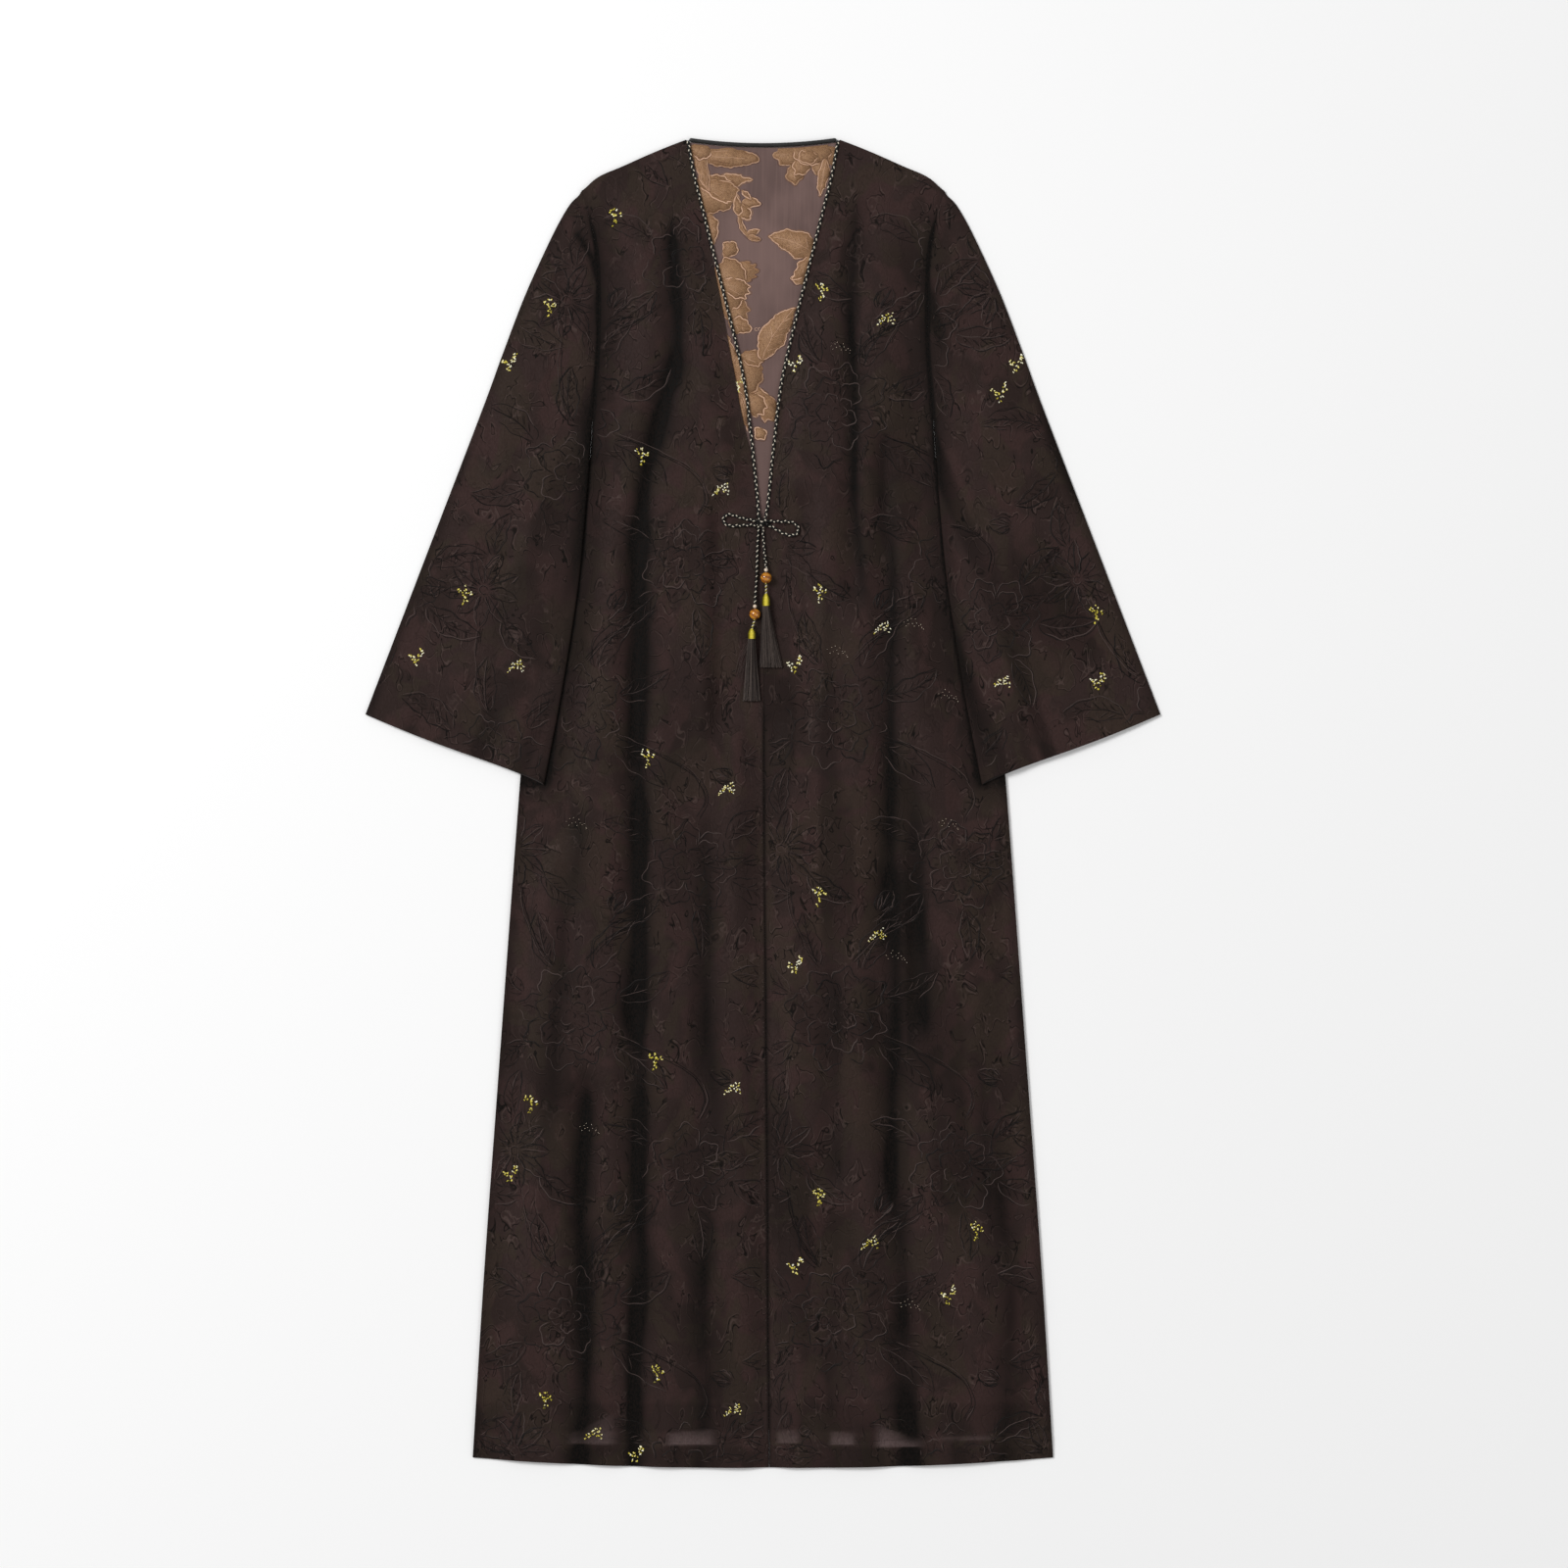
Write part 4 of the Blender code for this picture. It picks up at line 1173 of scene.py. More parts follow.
@dataclass
class BraidedCord:
    """Cord of two black strands and a cream one, plaited flat or twisted."""

    name: str
    route: list[RaisedSpot]
    braid: Braid = Braid.FLAT
    period: float = 8.4
    across: float = CORD
    thin: float = 1.0
    start_turn: float = 0.0
    step: float = 0.75
    sides: int = 6
    line: np.ndarray = field(init=False)

    def __post_init__(self) -> None:
        """Work out the smooth line that the cord follows."""
        self.line = resample(smooth_line(self.route), self.step)

    def length(self) -> float:
        """Measure the cord along its middle, in metres."""
        return float(np.linalg.norm(np.diff(self.line, axis=0), axis=1).sum()) * MM

    def strand_lines(self, upright: tuple) -> list[np.ndarray]:
        """Work out where the three strands run.

        Args:
            upright: A direction that the line never takes.

        Returns:
            The centre line of each strand.
        """
        across, over = section_axes(self.line, upright)
        over *= np.where(over @ np.array(upright) < 0.0, -1.0, 1.0)[:, None]
        run = np.concatenate([[0.0], np.cumsum(np.linalg.norm(np.diff(self.line, axis=0), axis=1))])
        scale = self.thin * self.across / CORD
        lines = []
        for strand in range(3):
            turn = 2.0 * np.pi * (run / self.period + strand / 3.0) + self.start_turn
            if self.braid is Braid.FLAT:
                sideways, upwards = 0.92 * np.sin(turn), 0.45 * np.sin(2.0 * turn)
            else:
                sideways, upwards = 0.86 * np.cos(turn), 0.86 * np.sin(turn)
            lines.append(self.line + scale * (sideways[:, None] * across + upwards[:, None] * over))
        return lines

    def gather(self, bits: Bits, upright: tuple = (0.0, 0.0, 1.0)) -> None:
        """Add the cord's strands to some bits, black ones first.

        Args:
            bits: What they are added to.
            upright: A direction that the line never takes.
        """
        scale = self.thin * self.across / CORD
        black, cream, depth = (0.92, 0.62, 0.3) if self.braid is Braid.FLAT else (0.88, 0.56, 0.0)
        lines = self.strand_lines(upright)
        for number, line in enumerate(lines):
            radius = (cream if number == 2 else black) * scale
            points, faces = tube(line, radius, self.sides, upright)
            if number < 2:
                bits.add(points, faces)
                continue
            over = (line - self.line) @ np.array(upright) > -depth * 0.5
            pale = np.repeat(over[:-1] & over[1:], self.sides)
            bits.add(points, [faces[0][pale]], finish=1)
            bits.add(points, [faces[0][~pale], faces[1]])

    def build(self, *replaces: str) -> bpy.types.Object:
        """Make the cord as one piece.

        Args:
            replaces: CAD nodes that it stands for.

        Returns:
            The new object.
        """
        bits = Bits()
        self.gather(bits)
        made = bits.piece(self.name, BLACK_THREAD, CREAM_THREAD)
        return finish_piece(made, replaces)

    def declare(self) -> None:
        """Work out the cord's path, its length and its width, and keep none of them.
        """
        path = [tuple(point) for point in place(*self.line.T)]
        self.length()
        self.across * MM


NECKLINE = (
    (76.5, 3.0), (70.0, 40.0), (62.5, 70.0), (47.5, 130.0), (32.5, 190.0), (19.0, 250.0),
    (11.5, 310.0), (5.5, 370.0), (4.2, 386.0),
)
KNOT_X = -0.6
KNOT_DROP = 394.0
CORD_Z = ON_FRONT + CORD / 2
GOLDEN_ANGLE = 2.39996     # turn that spreads a tassel's threads evenly over its root


@dataclass
class NecklineCord:
    """Braid sewn down one edge of the neck opening, from the binding to the knot."""

    side: int
    start: Spot = (76.6, 4.2)
    to_knot: tuple[RaisedSpot, ...] = ((3.9, 384.0, 0.8), (3.0, 389.0, 1.6))

    def build(self) -> bpy.types.Object:
        """Make the cord along the neckline.

        Returns:
            The new piece.
        """
        height = ON_BACK + CORD / 2
        route = [(self.side * self.start[0], self.start[1], height)]
        route += [(self.side * half, drop, height) for half, drop in NECKLINE[1:-1]]
        route += [(self.side * half + KNOT_X, drop, height + lift) for half, drop, lift in self.to_knot]
        name = f"neckline_cord_{SIDE_NAMES[self.side]}"
        cord = BraidedCord(f"{name}_braid", route, start_turn=1.3 * self.side)
        return cord.build(name)


@dataclass
class Bow:
    """Small bow where the two neckline cords are tied: two loops and a knot."""

    left: Marks = (
        (-5.7, 391.8), (-12.0, 390.8), (-19.0, 389.6), (-26.0, 387.4), (-33.0, 385.3),
        (-38.0, 386.2), (-40.4, 390.0), (-38.8, 394.6), (-33.0, 396.8), (-26.0, 396.6),
        (-19.0, 396.2), (-12.0, 396.0), (-5.7, 395.9),
    )
    right: Marks = (
        (4.6, 392.0), (10.0, 392.2), (17.0, 392.4), (24.0, 392.4), (30.5, 393.4),
        (35.0, 396.8), (36.0, 401.6), (33.0, 405.6), (27.5, 406.4), (21.5, 404.8),
        (15.5, 401.6), (10.0, 398.2), (4.8, 396.1),
    )
    crossings: tuple[tuple[RaisedSpot, ...], ...] = (
        ((-6.6, 391.8, 0.0), (-2.0, 392.4, 0.3), (1.6, 392.6, 0.3), (5.6, 392.1, 0.0)),
        ((-6.6, 395.9, 0.0), (-2.0, 395.5, 0.3), (1.6, 395.3, 0.3), (5.8, 396.1, 0.0)),
        ((-3.7, 387.6, 0.2), (-3.2, 391.0, 2.0), (-1.8, 394.2, 2.8), (-0.6, 397.4, 1.5), (-0.3, 399.8, 0.0)),
        ((2.5, 387.6, 0.2), (1.6, 391.0, 2.4), (-1.0, 394.0, 4.0), (-3.7, 397.2, 1.7), (-4.4, 399.8, 0.0)),
    )
    wrap_places: Span = (-4.9, 3.9)
    wrap_lean: float = 0.9
    wrap_half_drop: float = 2.7
    wrap_height: float = 3.2
    wrap_across: float = 2.9
    core_radii: tuple[float, float, float] = (3.9, 2.9, 2.6)

    def build(self) -> None:
        """Make both loops and the knot."""
        self.build_knot()
        for name, marks in (("left", self.left), ("right", self.right)):
            cord = BraidedCord(f"bow_loop_{name}_braid", [(*mark, CORD_Z) for mark in marks],
                               period=7.4, thin=0.93)
            loop = cord.build(f"bow_loop_{name}")
            cord.declare()

    def build_knot(self) -> None:
        """Cross the cords over the bases of the loops, round a small core."""
        bits = Bits()
        for number, marks in enumerate(self.crossings):
            route = [(x, drop, CORD_Z + lift) for x, drop, lift in marks]
            cord = BraidedCord("crossing", route, across=0.95 * CORD, period=6.6, start_turn=1.7 * number)
            cord.gather(bits)
        for number, shift in enumerate(self.wrap_places):
            angles = np.radians(np.linspace(-28.0, 208.0, 13))
            route = np.stack([
                KNOT_X + shift + self.wrap_lean * np.cos(angles) * (1 if number % 2 else -1),
                KNOT_DROP + self.wrap_half_drop * np.cos(angles),
                ON_FRONT + self.wrap_across / 2 + self.wrap_height * 0.3
                + self.wrap_height * 0.7 * np.sin(angles)], axis=1)
            cord = BraidedCord("wrap", list(route), across=self.wrap_across, period=6.4,
                               start_turn=2.1 * number, step=0.6)
            cord.gather(bits, upright=(1.0, 0.0, 0.0))
        knot = bits.piece("bow_knot_wraps", BLACK_THREAD, CREAM_THREAD)
        finish_piece(knot, ("bow_knot",))
        core = rounded_ball("bow_knot_core", KNOT_X, KNOT_DROP, ON_FRONT + self.core_radii[2],
                            self.core_radii, 16, 10, BLACK_THREAD)
        finish_piece(core)


def rounded_ball(name: str, x: float, drop: float, height: float, radii: tuple, segments: int,
                 rings: int, finish: Finish, hole: float = 0.0) -> bpy.types.Object:
    """Make a ball by its three radii, its poles up and down the garment, with sunk holes.

    Args:
        name: The piece's name.
        x: Place of its middle.
        drop: Place of its middle down from the neck points.
        height: Height of its middle.
        radii: Radius across, down the garment and upwards.
        segments: Faces round it.
        rings: Faces from pole to pole.
        finish: Its finish.
        hole: Half the width of the stringing hole at each pole, if it has one.

    Returns:
        The new object.
    """
    clear_selection()
    bpy.ops.mesh.primitive_uv_sphere_add(
        segments=segments, ring_count=rings, radius=MM, rotation=(np.radians(90.0), 0.0, 0.0))
    ball = bpy.context.object
    bpy.ops.object.transform_apply(rotation=True)
    ball.scale = radii
    ball.location = place(x, drop, height)
    bpy.ops.object.transform_apply(location=True, scale=True)
    ball.name = name
    ball.data.materials.append(finish.material())
    if hole:
        middle = Vector(place(x, drop, height))
        for pole in (-1, 1):
            reach = Vector((hole * MM, 0.0, hole * MM))
            edge = middle + Vector((0.0, pole * radii[1] * MM, 0.0))
            inner = edge - Vector((0.0, pole * 0.35 * radii[1] * MM, 0.0))
            low = Vector(map(min, edge - reach, inner - reach))
            high = Vector(map(max, edge + reach, inner + reach))
            edit_faces(ball, low, high)
            bpy.ops.mesh.extrude_region_move(
                TRANSFORM_OT_translate={"value": (0.0, -pole * 0.5 * radii[1] * MM, 0.0)})
            bpy.ops.object.mode_set(mode="OBJECT")
        take(ball)
    return ball


@dataclass
class Tail:
    """One end of the tie: its cord, seed bead, amber bead, link, wound cap and tassel."""

    side: int
    route: Marks
    bead_x: float
    bead_drop: float
    bead_across: float
    cap_x: float
    cap_drop: float
    cap_length: float
    tassel_drop: float
    tassel_length: float
    root: Span
    tip: Span
    strays: tuple[tuple[Spot, Spot], ...]
    braid: Braid
    period: float
    seed_across: float = 4.0
    link_across: float = 2.0
    cap_narrow: float = 3.4
    cap_wide: float = 8.4
    threads: int = 230
    thread_radius: float = 0.27
    tip_height: float = 3.04
    tail_rise: float = 1.6
    bead_hole_drop: float = 0.8
    seed_drop: float = 0.6

    def build(self) -> None:
        """Make every piece of the tail: its cord, seed bead, amber bead, link, cap and tassel."""
        name = SIDE_NAMES[self.side]
        bead_z = ON_FRONT + self.bead_across / 2
        cap_z = ON_FRONT + self.cap_wide / 2
        heights = (CORD_Z, CORD_Z, CORD_Z, CORD_Z + self.tail_rise, bead_z - self.bead_hole_drop)
        route = [(*spot, height) for spot, height in zip(self.route, heights)]
        cord = BraidedCord(f"tie_{name}_braid", route, self.braid, period=self.period, thin=0.88)
        tail = cord.build(f"tie_{name}")
        seed_middle = self.bead_drop - self.bead_across / 2 - SEAM_GAP - self.seed_across / 2
        seed = rounded_ball(f"seed_bead_{name}_pearl", self.bead_x, seed_middle,
                            bead_z - self.seed_drop, (self.seed_across / 2,) * 3, 20, 14,
                            SEED_PEARL, hole=0.6)
        finish_piece(seed, (f"seed_bead_{name}",))
        radius = self.bead_across / 2
        bead = rounded_ball(f"amber_bead_{name}_stone", self.bead_x, self.bead_drop, bead_z,
                            (radius, 0.97 * radius, radius), 36, 24, AMBER, hole=0.9)
        finish_piece(bead, (f"amber_bead_{name}",))
        link = self.build_link(bead_z, cap_z)
        cap = self.build_cap(cap_z)
        self.build_tassel(cap_z)
        cord.declare()

    def build_link(self, bead_z: float, cap_z: float) -> bpy.types.Object:
        """Twist the short gold link between the amber bead and the cap.

        Args:
            bead_z: Height of the bead's middle.
            cap_z: Height of the cap's middle.

        Returns:
            The link.
        """
        name = SIDE_NAMES[self.side]
        top = self.bead_drop + self.bead_across / 2 + SEAM_GAP
        route = [(self.bead_x, top - 1.2, bead_z),
                 ((self.bead_x + self.cap_x) / 2, (top + self.cap_drop) / 2, (bead_z + cap_z) / 2),
                 (self.cap_x, self.cap_drop + 0.8, cap_z)]
        twist = BraidedCord("link", route, Braid.TWISTED, period=3.6, across=self.link_across, step=0.35)
        bits = Bits()
        for number, line in enumerate(twist.strand_lines((0.0, 0.0, 1.0))):
            points, faces = tube(line, 0.5, 6)
            bits.add(points, faces, tone=0.45, finish=number)
        made = bits.piece(f"tie_link_{name}_twist", GOLD, CREAM_THREAD, BLACK_THREAD)
        return finish_piece(made, (f"tie_link_{name}",))

    def build_cap(self, cap_z: float) -> bpy.types.Object:
        """Wind gold thread round a flared core.

        Args:
            cap_z: Height of the cap's middle.

        Returns:
            The cap.
        """
        name = SIDE_NAMES[self.side]
        thread = 0.24
        clear_selection()
        bpy.ops.mesh.primitive_cone_add(
            vertices=28, radius1=(self.cap_wide / 2 - 3.0 * thread) * MM,
            radius2=(self.cap_narrow / 2 - 2.0 * thread) * MM, depth=0.94 * self.cap_length * MM,
            rotation=(np.radians(-90.0), 0.0, 0.0),
            location=place(self.cap_x, self.cap_drop + self.cap_length / 2, cap_z))
        core = bpy.context.object
        bpy.ops.object.transform_apply(location=True, rotation=True)
        core.name = f"tassel_cap_{name}_wound"
        core.data.materials.append(GOLD.material())
        apply_modifier(core, "BEVEL", width=0.5 * MM, segments=3, limit_method="ANGLE",
                       angle_limit=np.radians(60.0))
        paint(core, "thread", np.full(len(core.data.vertices), 0.2))
        turns = self.cap_length * 0.9 / (1.6 * thread)
        run = np.linspace(0.0, 1.0, int(turns * 18))
        flare = np.interp(run, (0.0, 0.12, 0.28, 0.5, 0.8, 1.0), (0.0, 0.36, 0.76, 0.97, 1.0, 0.93))
        radius = self.cap_narrow / 2 + (self.cap_wide - self.cap_narrow) / 2 * flare - thread
        angle = 2.0 * np.pi * turns * run
        line = np.stack([self.cap_x + radius * np.cos(angle),
                         self.cap_drop + self.cap_length * (0.05 + 0.9 * run),
                         cap_z + radius * np.sin(angle)], axis=1)
        bits = Bits()
        points, faces = tube(line, thread, 5, (0.0, 1.0, 0.0))
        # painted satin sheen: the winding is painted pale along its top and dark olive at its sides
        away = np.hypot(points[:, 0] - self.cap_x, points[:, 2] - cap_z)
        up = np.clip((points[:, 2] - cap_z) / np.maximum(away, 0.1), 0.0, 1.0)
        bits.add(points, faces, tone=0.04 + 0.62 * up ** 3)
        winding = bits.piece("winding", GOLD)
        clear_selection()
        winding.select_set(True)
        core.select_set(True)
        bpy.context.view_layer.objects.active = core
        bpy.ops.object.join()
        return finish_piece(core, (f"tassel_cap_{name}",))

    def build_tassel(self, cap_z: float) -> bpy.types.Object:
        """Hang fine threads from the cap, fanned out and sunk to the cloth.

        Args:
            cap_z: Height of the cap's middle.

        Returns:
            The tassel.
        """
        name = SIDE_NAMES[self.side]
        rng = np.random.default_rng(40 + self.side)
        clumps = SoftNoise(44 + self.side)
        bits = Bits()
        start_drop = self.cap_drop + self.cap_length - 2.0
        run = np.linspace(0.0, 1.0, 9)
        middle = sum(self.root) / 2
        for number in range(self.threads):
            away = np.sqrt((number + 0.5) / self.threads)
            angle = number * GOLDEN_ANGLE
            across, up = away * np.cos(angle), away * np.sin(angle)
            root_x = middle + 0.46 * (self.root[1] - self.root[0]) * across
            root_z = cap_z + 0.42 * self.cap_wide * up
            spread = np.clip(across * rng.uniform(0.8, 1.08) + rng.normal(0.0, 0.06), -1.0, 1.0)
            tip_x = sum(self.tip) / 2 + spread * (self.tip[1] - self.tip[0]) / 2
            tip_z = ON_FRONT + 0.5 + self.tip_height * (up + 1.0) / 2
            end_drop = self.tassel_drop + self.tassel_length - rng.uniform(0.0, 1.0) ** 3 * 4.5
            sway = rng.normal(0.0, 0.35) * np.sin(np.pi * run) + rng.normal(0.0, 0.22, 9) * run
            line = np.stack([
                root_x + (tip_x - root_x) * run ** 1.15 + sway,
                start_drop + (end_drop - start_drop) * run,
                root_z + (tip_z - root_z) * smooth_step(1.3 * run)], axis=1)
            points, faces = tube(line, self.thread_radius * rng.uniform(0.8, 1.15), 3)
            clump = 0.5 + 0.6 * clumps.at(tip_x / 1.1 + 40.0, 3.0 * up)
            bits.add(points, faces, tone=float(np.clip(clump + rng.normal(0.0, 0.12), 0.0, 1.0)))
        for start, end in self.strays:
            bend = np.array([0.35 * start[0] + 0.65 * end[0], 0.55 * start[1] + 0.45 * end[1]])
            marks = [(*start, cap_z), (*bend, cap_z - 1.5), (*end, ON_FRONT + 0.5)]
            points, faces = tube(resample(smooth_line(marks), 1.5), 0.15, 4)
            bits.add(points, faces, tone=0.55)
        made = bits.piece(f"tassel_{name}_threads", TASSEL_THREAD)
        return finish_piece(made, (f"tassel_{name}",))


LEFT_TAIL = Tail(
    side=LEFT,
    route=((-4.4, 398.6), (-5.6, 418.0), (-6.5, 448.0), (-7.8, 470.0), (-8.1, 476.6)),
    bead_x=-8.2, bead_drop=487.0, bead_across=11.3, cap_x=-11.3, cap_drop=501.3,
    cap_length=11.4, tassel_drop=513.0, tassel_length=62.5, root=(-15.4, -7.4),
    tip=(-20.8, -2.2), strays=(
        ((-15.0, 513.6), (-27.2, 541.0)), ((-15.0, 517.0), (-28.4, 547.0)),
        ((-15.2, 519.0), (-26.4, 549.0)), ((-15.2, 516.0), (-25.2, 546.0)),
        ((-15.4, 521.0), (-25.6, 553.0)), ((-15.4, 519.0), (-23.8, 551.0)),
        ((-15.6, 524.0), (-22.6, 556.0)), ((-15.8, 527.0), (-21.8, 559.0)),
    ), braid=Braid.TWISTED, period=5.2,
)
RIGHT_TAIL = Tail(
    side=RIGHT,
    route=((-0.3, 398.8), (0.4, 410.0), (1.6, 424.0), (2.9, 436.0), (3.2, 440.1)),
    bead_x=3.2, bead_drop=450.0, bead_across=11.4, cap_x=3.2, cap_drop=465.7,
    cap_length=13.4, tassel_drop=479.4, tassel_length=62.0, root=(-0.8, 7.2),
    tip=(-3.6, 20.3), strays=(), braid=Braid.FLAT, period=6.4,
)


ARMHOLE = (
    (187.0, 53.0), (179.5, 74.0), (171.0, 110.0), (168.0, 150.0), (168.5, 210.0),
    (172.0, 262.0), (173.6, 288.0), (175.6, 325.0),
)
UNDERARM = (
    (175.6, 325.0), (178.0, 333.0), (188.0, 339.0), (206.0, 344.0), (219.0, 354.0),
    (226.0, 392.0),
)
SIDE_SEAM = (
    (226.0, 392.0), (247.5, 655.0), (270.0, 960.0), (284.5, 1160.0), (296.0, 1347.0),
)
SLEEVE_OUTER = (
    (187.6, 54.0), (189.6, 58.0), (198.0, 70.0), (214.5, 100.0), (242.0, 160.0), (265.0, 220.0),
    (287.0, 280.0), (345.0, 431.0), (405.5, 589.0),
)
SLEEVE_INNER = (
    (174.2, 288.0), (176.3, 325.0), (180.5, 380.0), (188.5, 460.0), (204.0, 560.0),
    (222.5, 657.0),
)
SIDE_LINE = np.vstack([
    smooth_line(ARMHOLE), smooth_line(UNDERARM)[1:], smooth_line(SIDE_SEAM)[1:]])
BODY_UNDER_SLEEVE = np.vstack([smooth_line(UNDERARM), smooth_line(SIDE_SEAM)[1:]])
ARMHOLE_LINE = smooth_line(ARMHOLE)
NECK_LINE = smooth_line(NECKLINE)
OUTER_LINE = smooth_line(SLEEVE_OUTER)
INNER_LINE = smooth_line(SLEEVE_INNER)
BACK_SHORTER = 38.0        # the back hem lies this far above the front hem
BACK_SIDE_RISE = 6.0       # and its ends this much further up
LAST_WEB = 24.0            # turned-up hem
# Drops of the part's rows from the shoulder to the waist, at a panel's inner and outer edge
UPPER_INNER = (3.0, 28.0, 60.0, 100.0, 145.0, 190.0, 232.0, 268.0, 298.0, 320.0, 337.0, 352.0,
               370.0, 386.0, 402.0, 418.0)
UPPER_OUTER = (53.0, 74.0, 108.0, 146.0, 188.0, 230.0, 264.0, 288.0, 308.0, 325.0, 334.0,
               341.0, 352.0, 370.0, 392.0, 412.0)
SHOULDER_RISE = 2.6        # how far the shoulder line bulges up
HEM_SAG = 3.3              # how far the front hem bulges down
NECK_HALF = 78.7           # neck points from the centre line
BACK_NECK_DROP = 10.8      # back neck at its lowest
BACK_NECK_HALF = 75.2
BACK_NECK_RISE = 5.4       # from there to its ends
BINDING = 4.2              # neck binding across
CENTRE_GAP = 0.5           # the soft edges meet closer than the solids do
CORD_INSET = 2.0           # a front's edge lies this far outside the cord's middle
EDGE_TURNS = 388.0         # where that edge becomes the centre front
FOLD_HEIGHT = 9.0          # the fronts' long folds at their highest
CUFF_DROP = 662.0          # from here down the fronts show out to their side seams
BESIDE_TIE = Stretch(350.0, 30.0, 625.0, 40.0)
BESIDE_FOLD = Stretch(300.0, 60.0, 690.0, 40.0)
BESIDE_ARMHOLE = Stretch(60.0, 60.0, 380.0, 90.0)
AT_SLEEVE = Stretch(66.0, 40.0, CUFF_DROP, 6.0)
AT_SLEEVE_SEAM = Stretch(66.0, 40.0, 330.0, 60.0)
ABOVE_HEM_STITCHES = Stretch(1289.0, 5.0, 1322.0, 4.0)
# Drops, each with the x of the line between the fronts there
CENTRE_DRIFT = ((390.0, 0.5), (640.0, 0.5), (1357.0, 6.5))
# Drops, each with how much further out the left front's edge lies than the right one's
SET_BACK = ((100.0, 0.0), (160.0, 2.5), (225.0, 6.5), (270.0, 6.5), (300.0, 3.5), (325.0, 0.0))


class Trough(NamedTuple):
    """A lengthwise hollow between two soft folds of a front, along a bent line."""

    x_top: float
    drop_top: float
    x_bottom: float
    drop_bottom: float
    width: float
    depth: float

    def share(self, x: np.ndarray, drop: np.ndarray) -> np.ndarray:
        """Say how much of the trough's depth reaches some places, from 0 to 1.

        Args:
            x: Places to the right of the centre line.
            drop: Places down from the neck points.

        Returns:
            The share at each place.
        """
        ends = smooth_step((drop - self.drop_top) / 45.0 + 0.5)
        ends = ends * smooth_step((self.drop_bottom - drop) / 45.0 + 0.5)
        return np.exp(-((x - self.middle(drop)) / self.width) ** 2) * ends

    def middle(self, drop: np.ndarray) -> np.ndarray:
        """Read the x of its lowest line at some drops."""
        return np.interp(drop, (self.drop_top, self.drop_bottom), (self.x_top, self.x_bottom))


TROUGHS = {
    LEFT: (
        Trough(-93.5, 90.0, -94.0, 250.0, 13.0, 0.75),
        Trough(-96.0, 230.0, -132.0, 420.0, 15.0, 0.85),
        Trough(-131.0, 400.0, -133.5, 900.0, 16.0, 0.90),
        Trough(-133.5, 880.0, -132.5, 1400.0, 15.0, 0.85),
        Trough(-185.0, 960.0, -188.0, 1400.0, 17.0, 0.75),
        Trough(-196.0, 690.0, -222.0, 1010.0, 18.0, 0.45),
        Trough(-60.0, 700.0, -66.0, 1400.0, 20.0, 0.50),
    ),
    RIGHT: (
        Trough(88.0, 70.0, 91.0, 470.0, 14.0, 0.75),
        Trough(123.0, 300.0, 128.0, 770.0, 15.0, 0.85),
        Trough(64.0, 850.0, 70.0, 1070.0, 15.0, 0.60),
        Trough(123.0, 750.0, 140.0, 1400.0, 18.0, 0.90),
        Trough(150.0, 640.0, 156.0, 915.0, 14.0, 0.55),
        Trough(218.0, 940.0, 226.0, 1110.0, 16.0, 0.50),
        Trough(240.0, 1060.0, 246.0, 1400.0, 18.0, 0.60),
        Trough(70.0, 1100.0, 62.0, 1400.0, 22.0, 0.45),
    ),
}


def half_at(line: np.ndarray, drop: np.ndarray) -> np.ndarray:
    """Read an outline's distance from the centre line at some drops."""
    return np.interp(drop, line[:, 1], line[:, 0])


def sleeve_edge(drop: np.ndarray) -> np.ndarray:
    """Read how far out a sleeve begins: at its seam, and lower down at its inner fold.

    Args:
        drop: Places down from the neck points.

    Returns:
        Distances from the centre line.
    """
    return np.where(drop > SLEEVE_INNER[0][1], half_at(INNER_LINE, drop), half_at(ARMHOLE_LINE, drop))


def panel_drops(hem_inner: float, hem_outer: float, lower_rows: int) -> tuple[np.ndarray, np.ndarray]:
    """List where a panel's rows start and end, as the part's source lays them.

    Args:
        hem_inner: Drop of the hem at the inner edge.
        hem_outer: Drop of the hem at the outer edge.
        lower_rows: Even rows from the waist to the hem's turn-up.

    Returns:
        Drops of the rows at the inner edge and at the outer edge.
    """
    ends = []
    for upper, hem in ((UPPER_INNER, hem_inner), (UPPER_OUTER, hem_outer)):
        even = np.linspace(upper[-1], hem - LAST_WEB, lower_rows + 1)[1:]
        ends.append(np.concatenate([upper, even, [hem]]))
    return ends[0], ends[1]


def front_edge_x(side: int, drop: np.ndarray) -> np.ndarray:
    """Read the inner edge of a front: beside the neckline cord, then the centre front.

    Args:
        side: Left or right.
        drop: Places down from the neck points.

    Returns:
        The edge's x at each drop.
    """
    centre = np.interp(drop, *zip(*CENTRE_DRIFT)) + side * CENTRE_GAP / 2
    neckline = side * (half_at(NECK_LINE, drop) + CORD_INSET)
    if side == LEFT:
        neckline = neckline - np.interp(drop, *zip(*SET_BACK))
    return neckline + (centre - neckline) * smooth_step((drop - EDGE_TURNS) / 20.0)


def fold_freedom(side: int, x: np.ndarray, drop: np.ndarray) -> np.ndarray:
    """Say how freely the cloth of a front may rise, from 0 at its seams and under the bow to 1.

    Args:
        side: Left or right.
        x: Places to the right of the centre line.
        drop: Places down from the neck points.

    Returns:
        The freedom at each place.
    """
    half = np.abs(x)
    sleeve = sleeve_edge(drop)
    past_sleeve = smooth_step((drop - 690.0) / 70.0)
    limit = sleeve + (half_at(SIDE_LINE, drop) - sleeve) * past_sleeve
    free = smooth_step((limit - 15.0 - half) / 36.0)
    free = free * smooth_step(np.abs(x - front_edge_x(side, drop)) / 30.0)
    free = free * smooth_step((drop - 40.0) / 60.0)
    return free * (1.0 - BESIDE_TIE.share(drop) * smooth_step((62.0 - half) / 20.0))


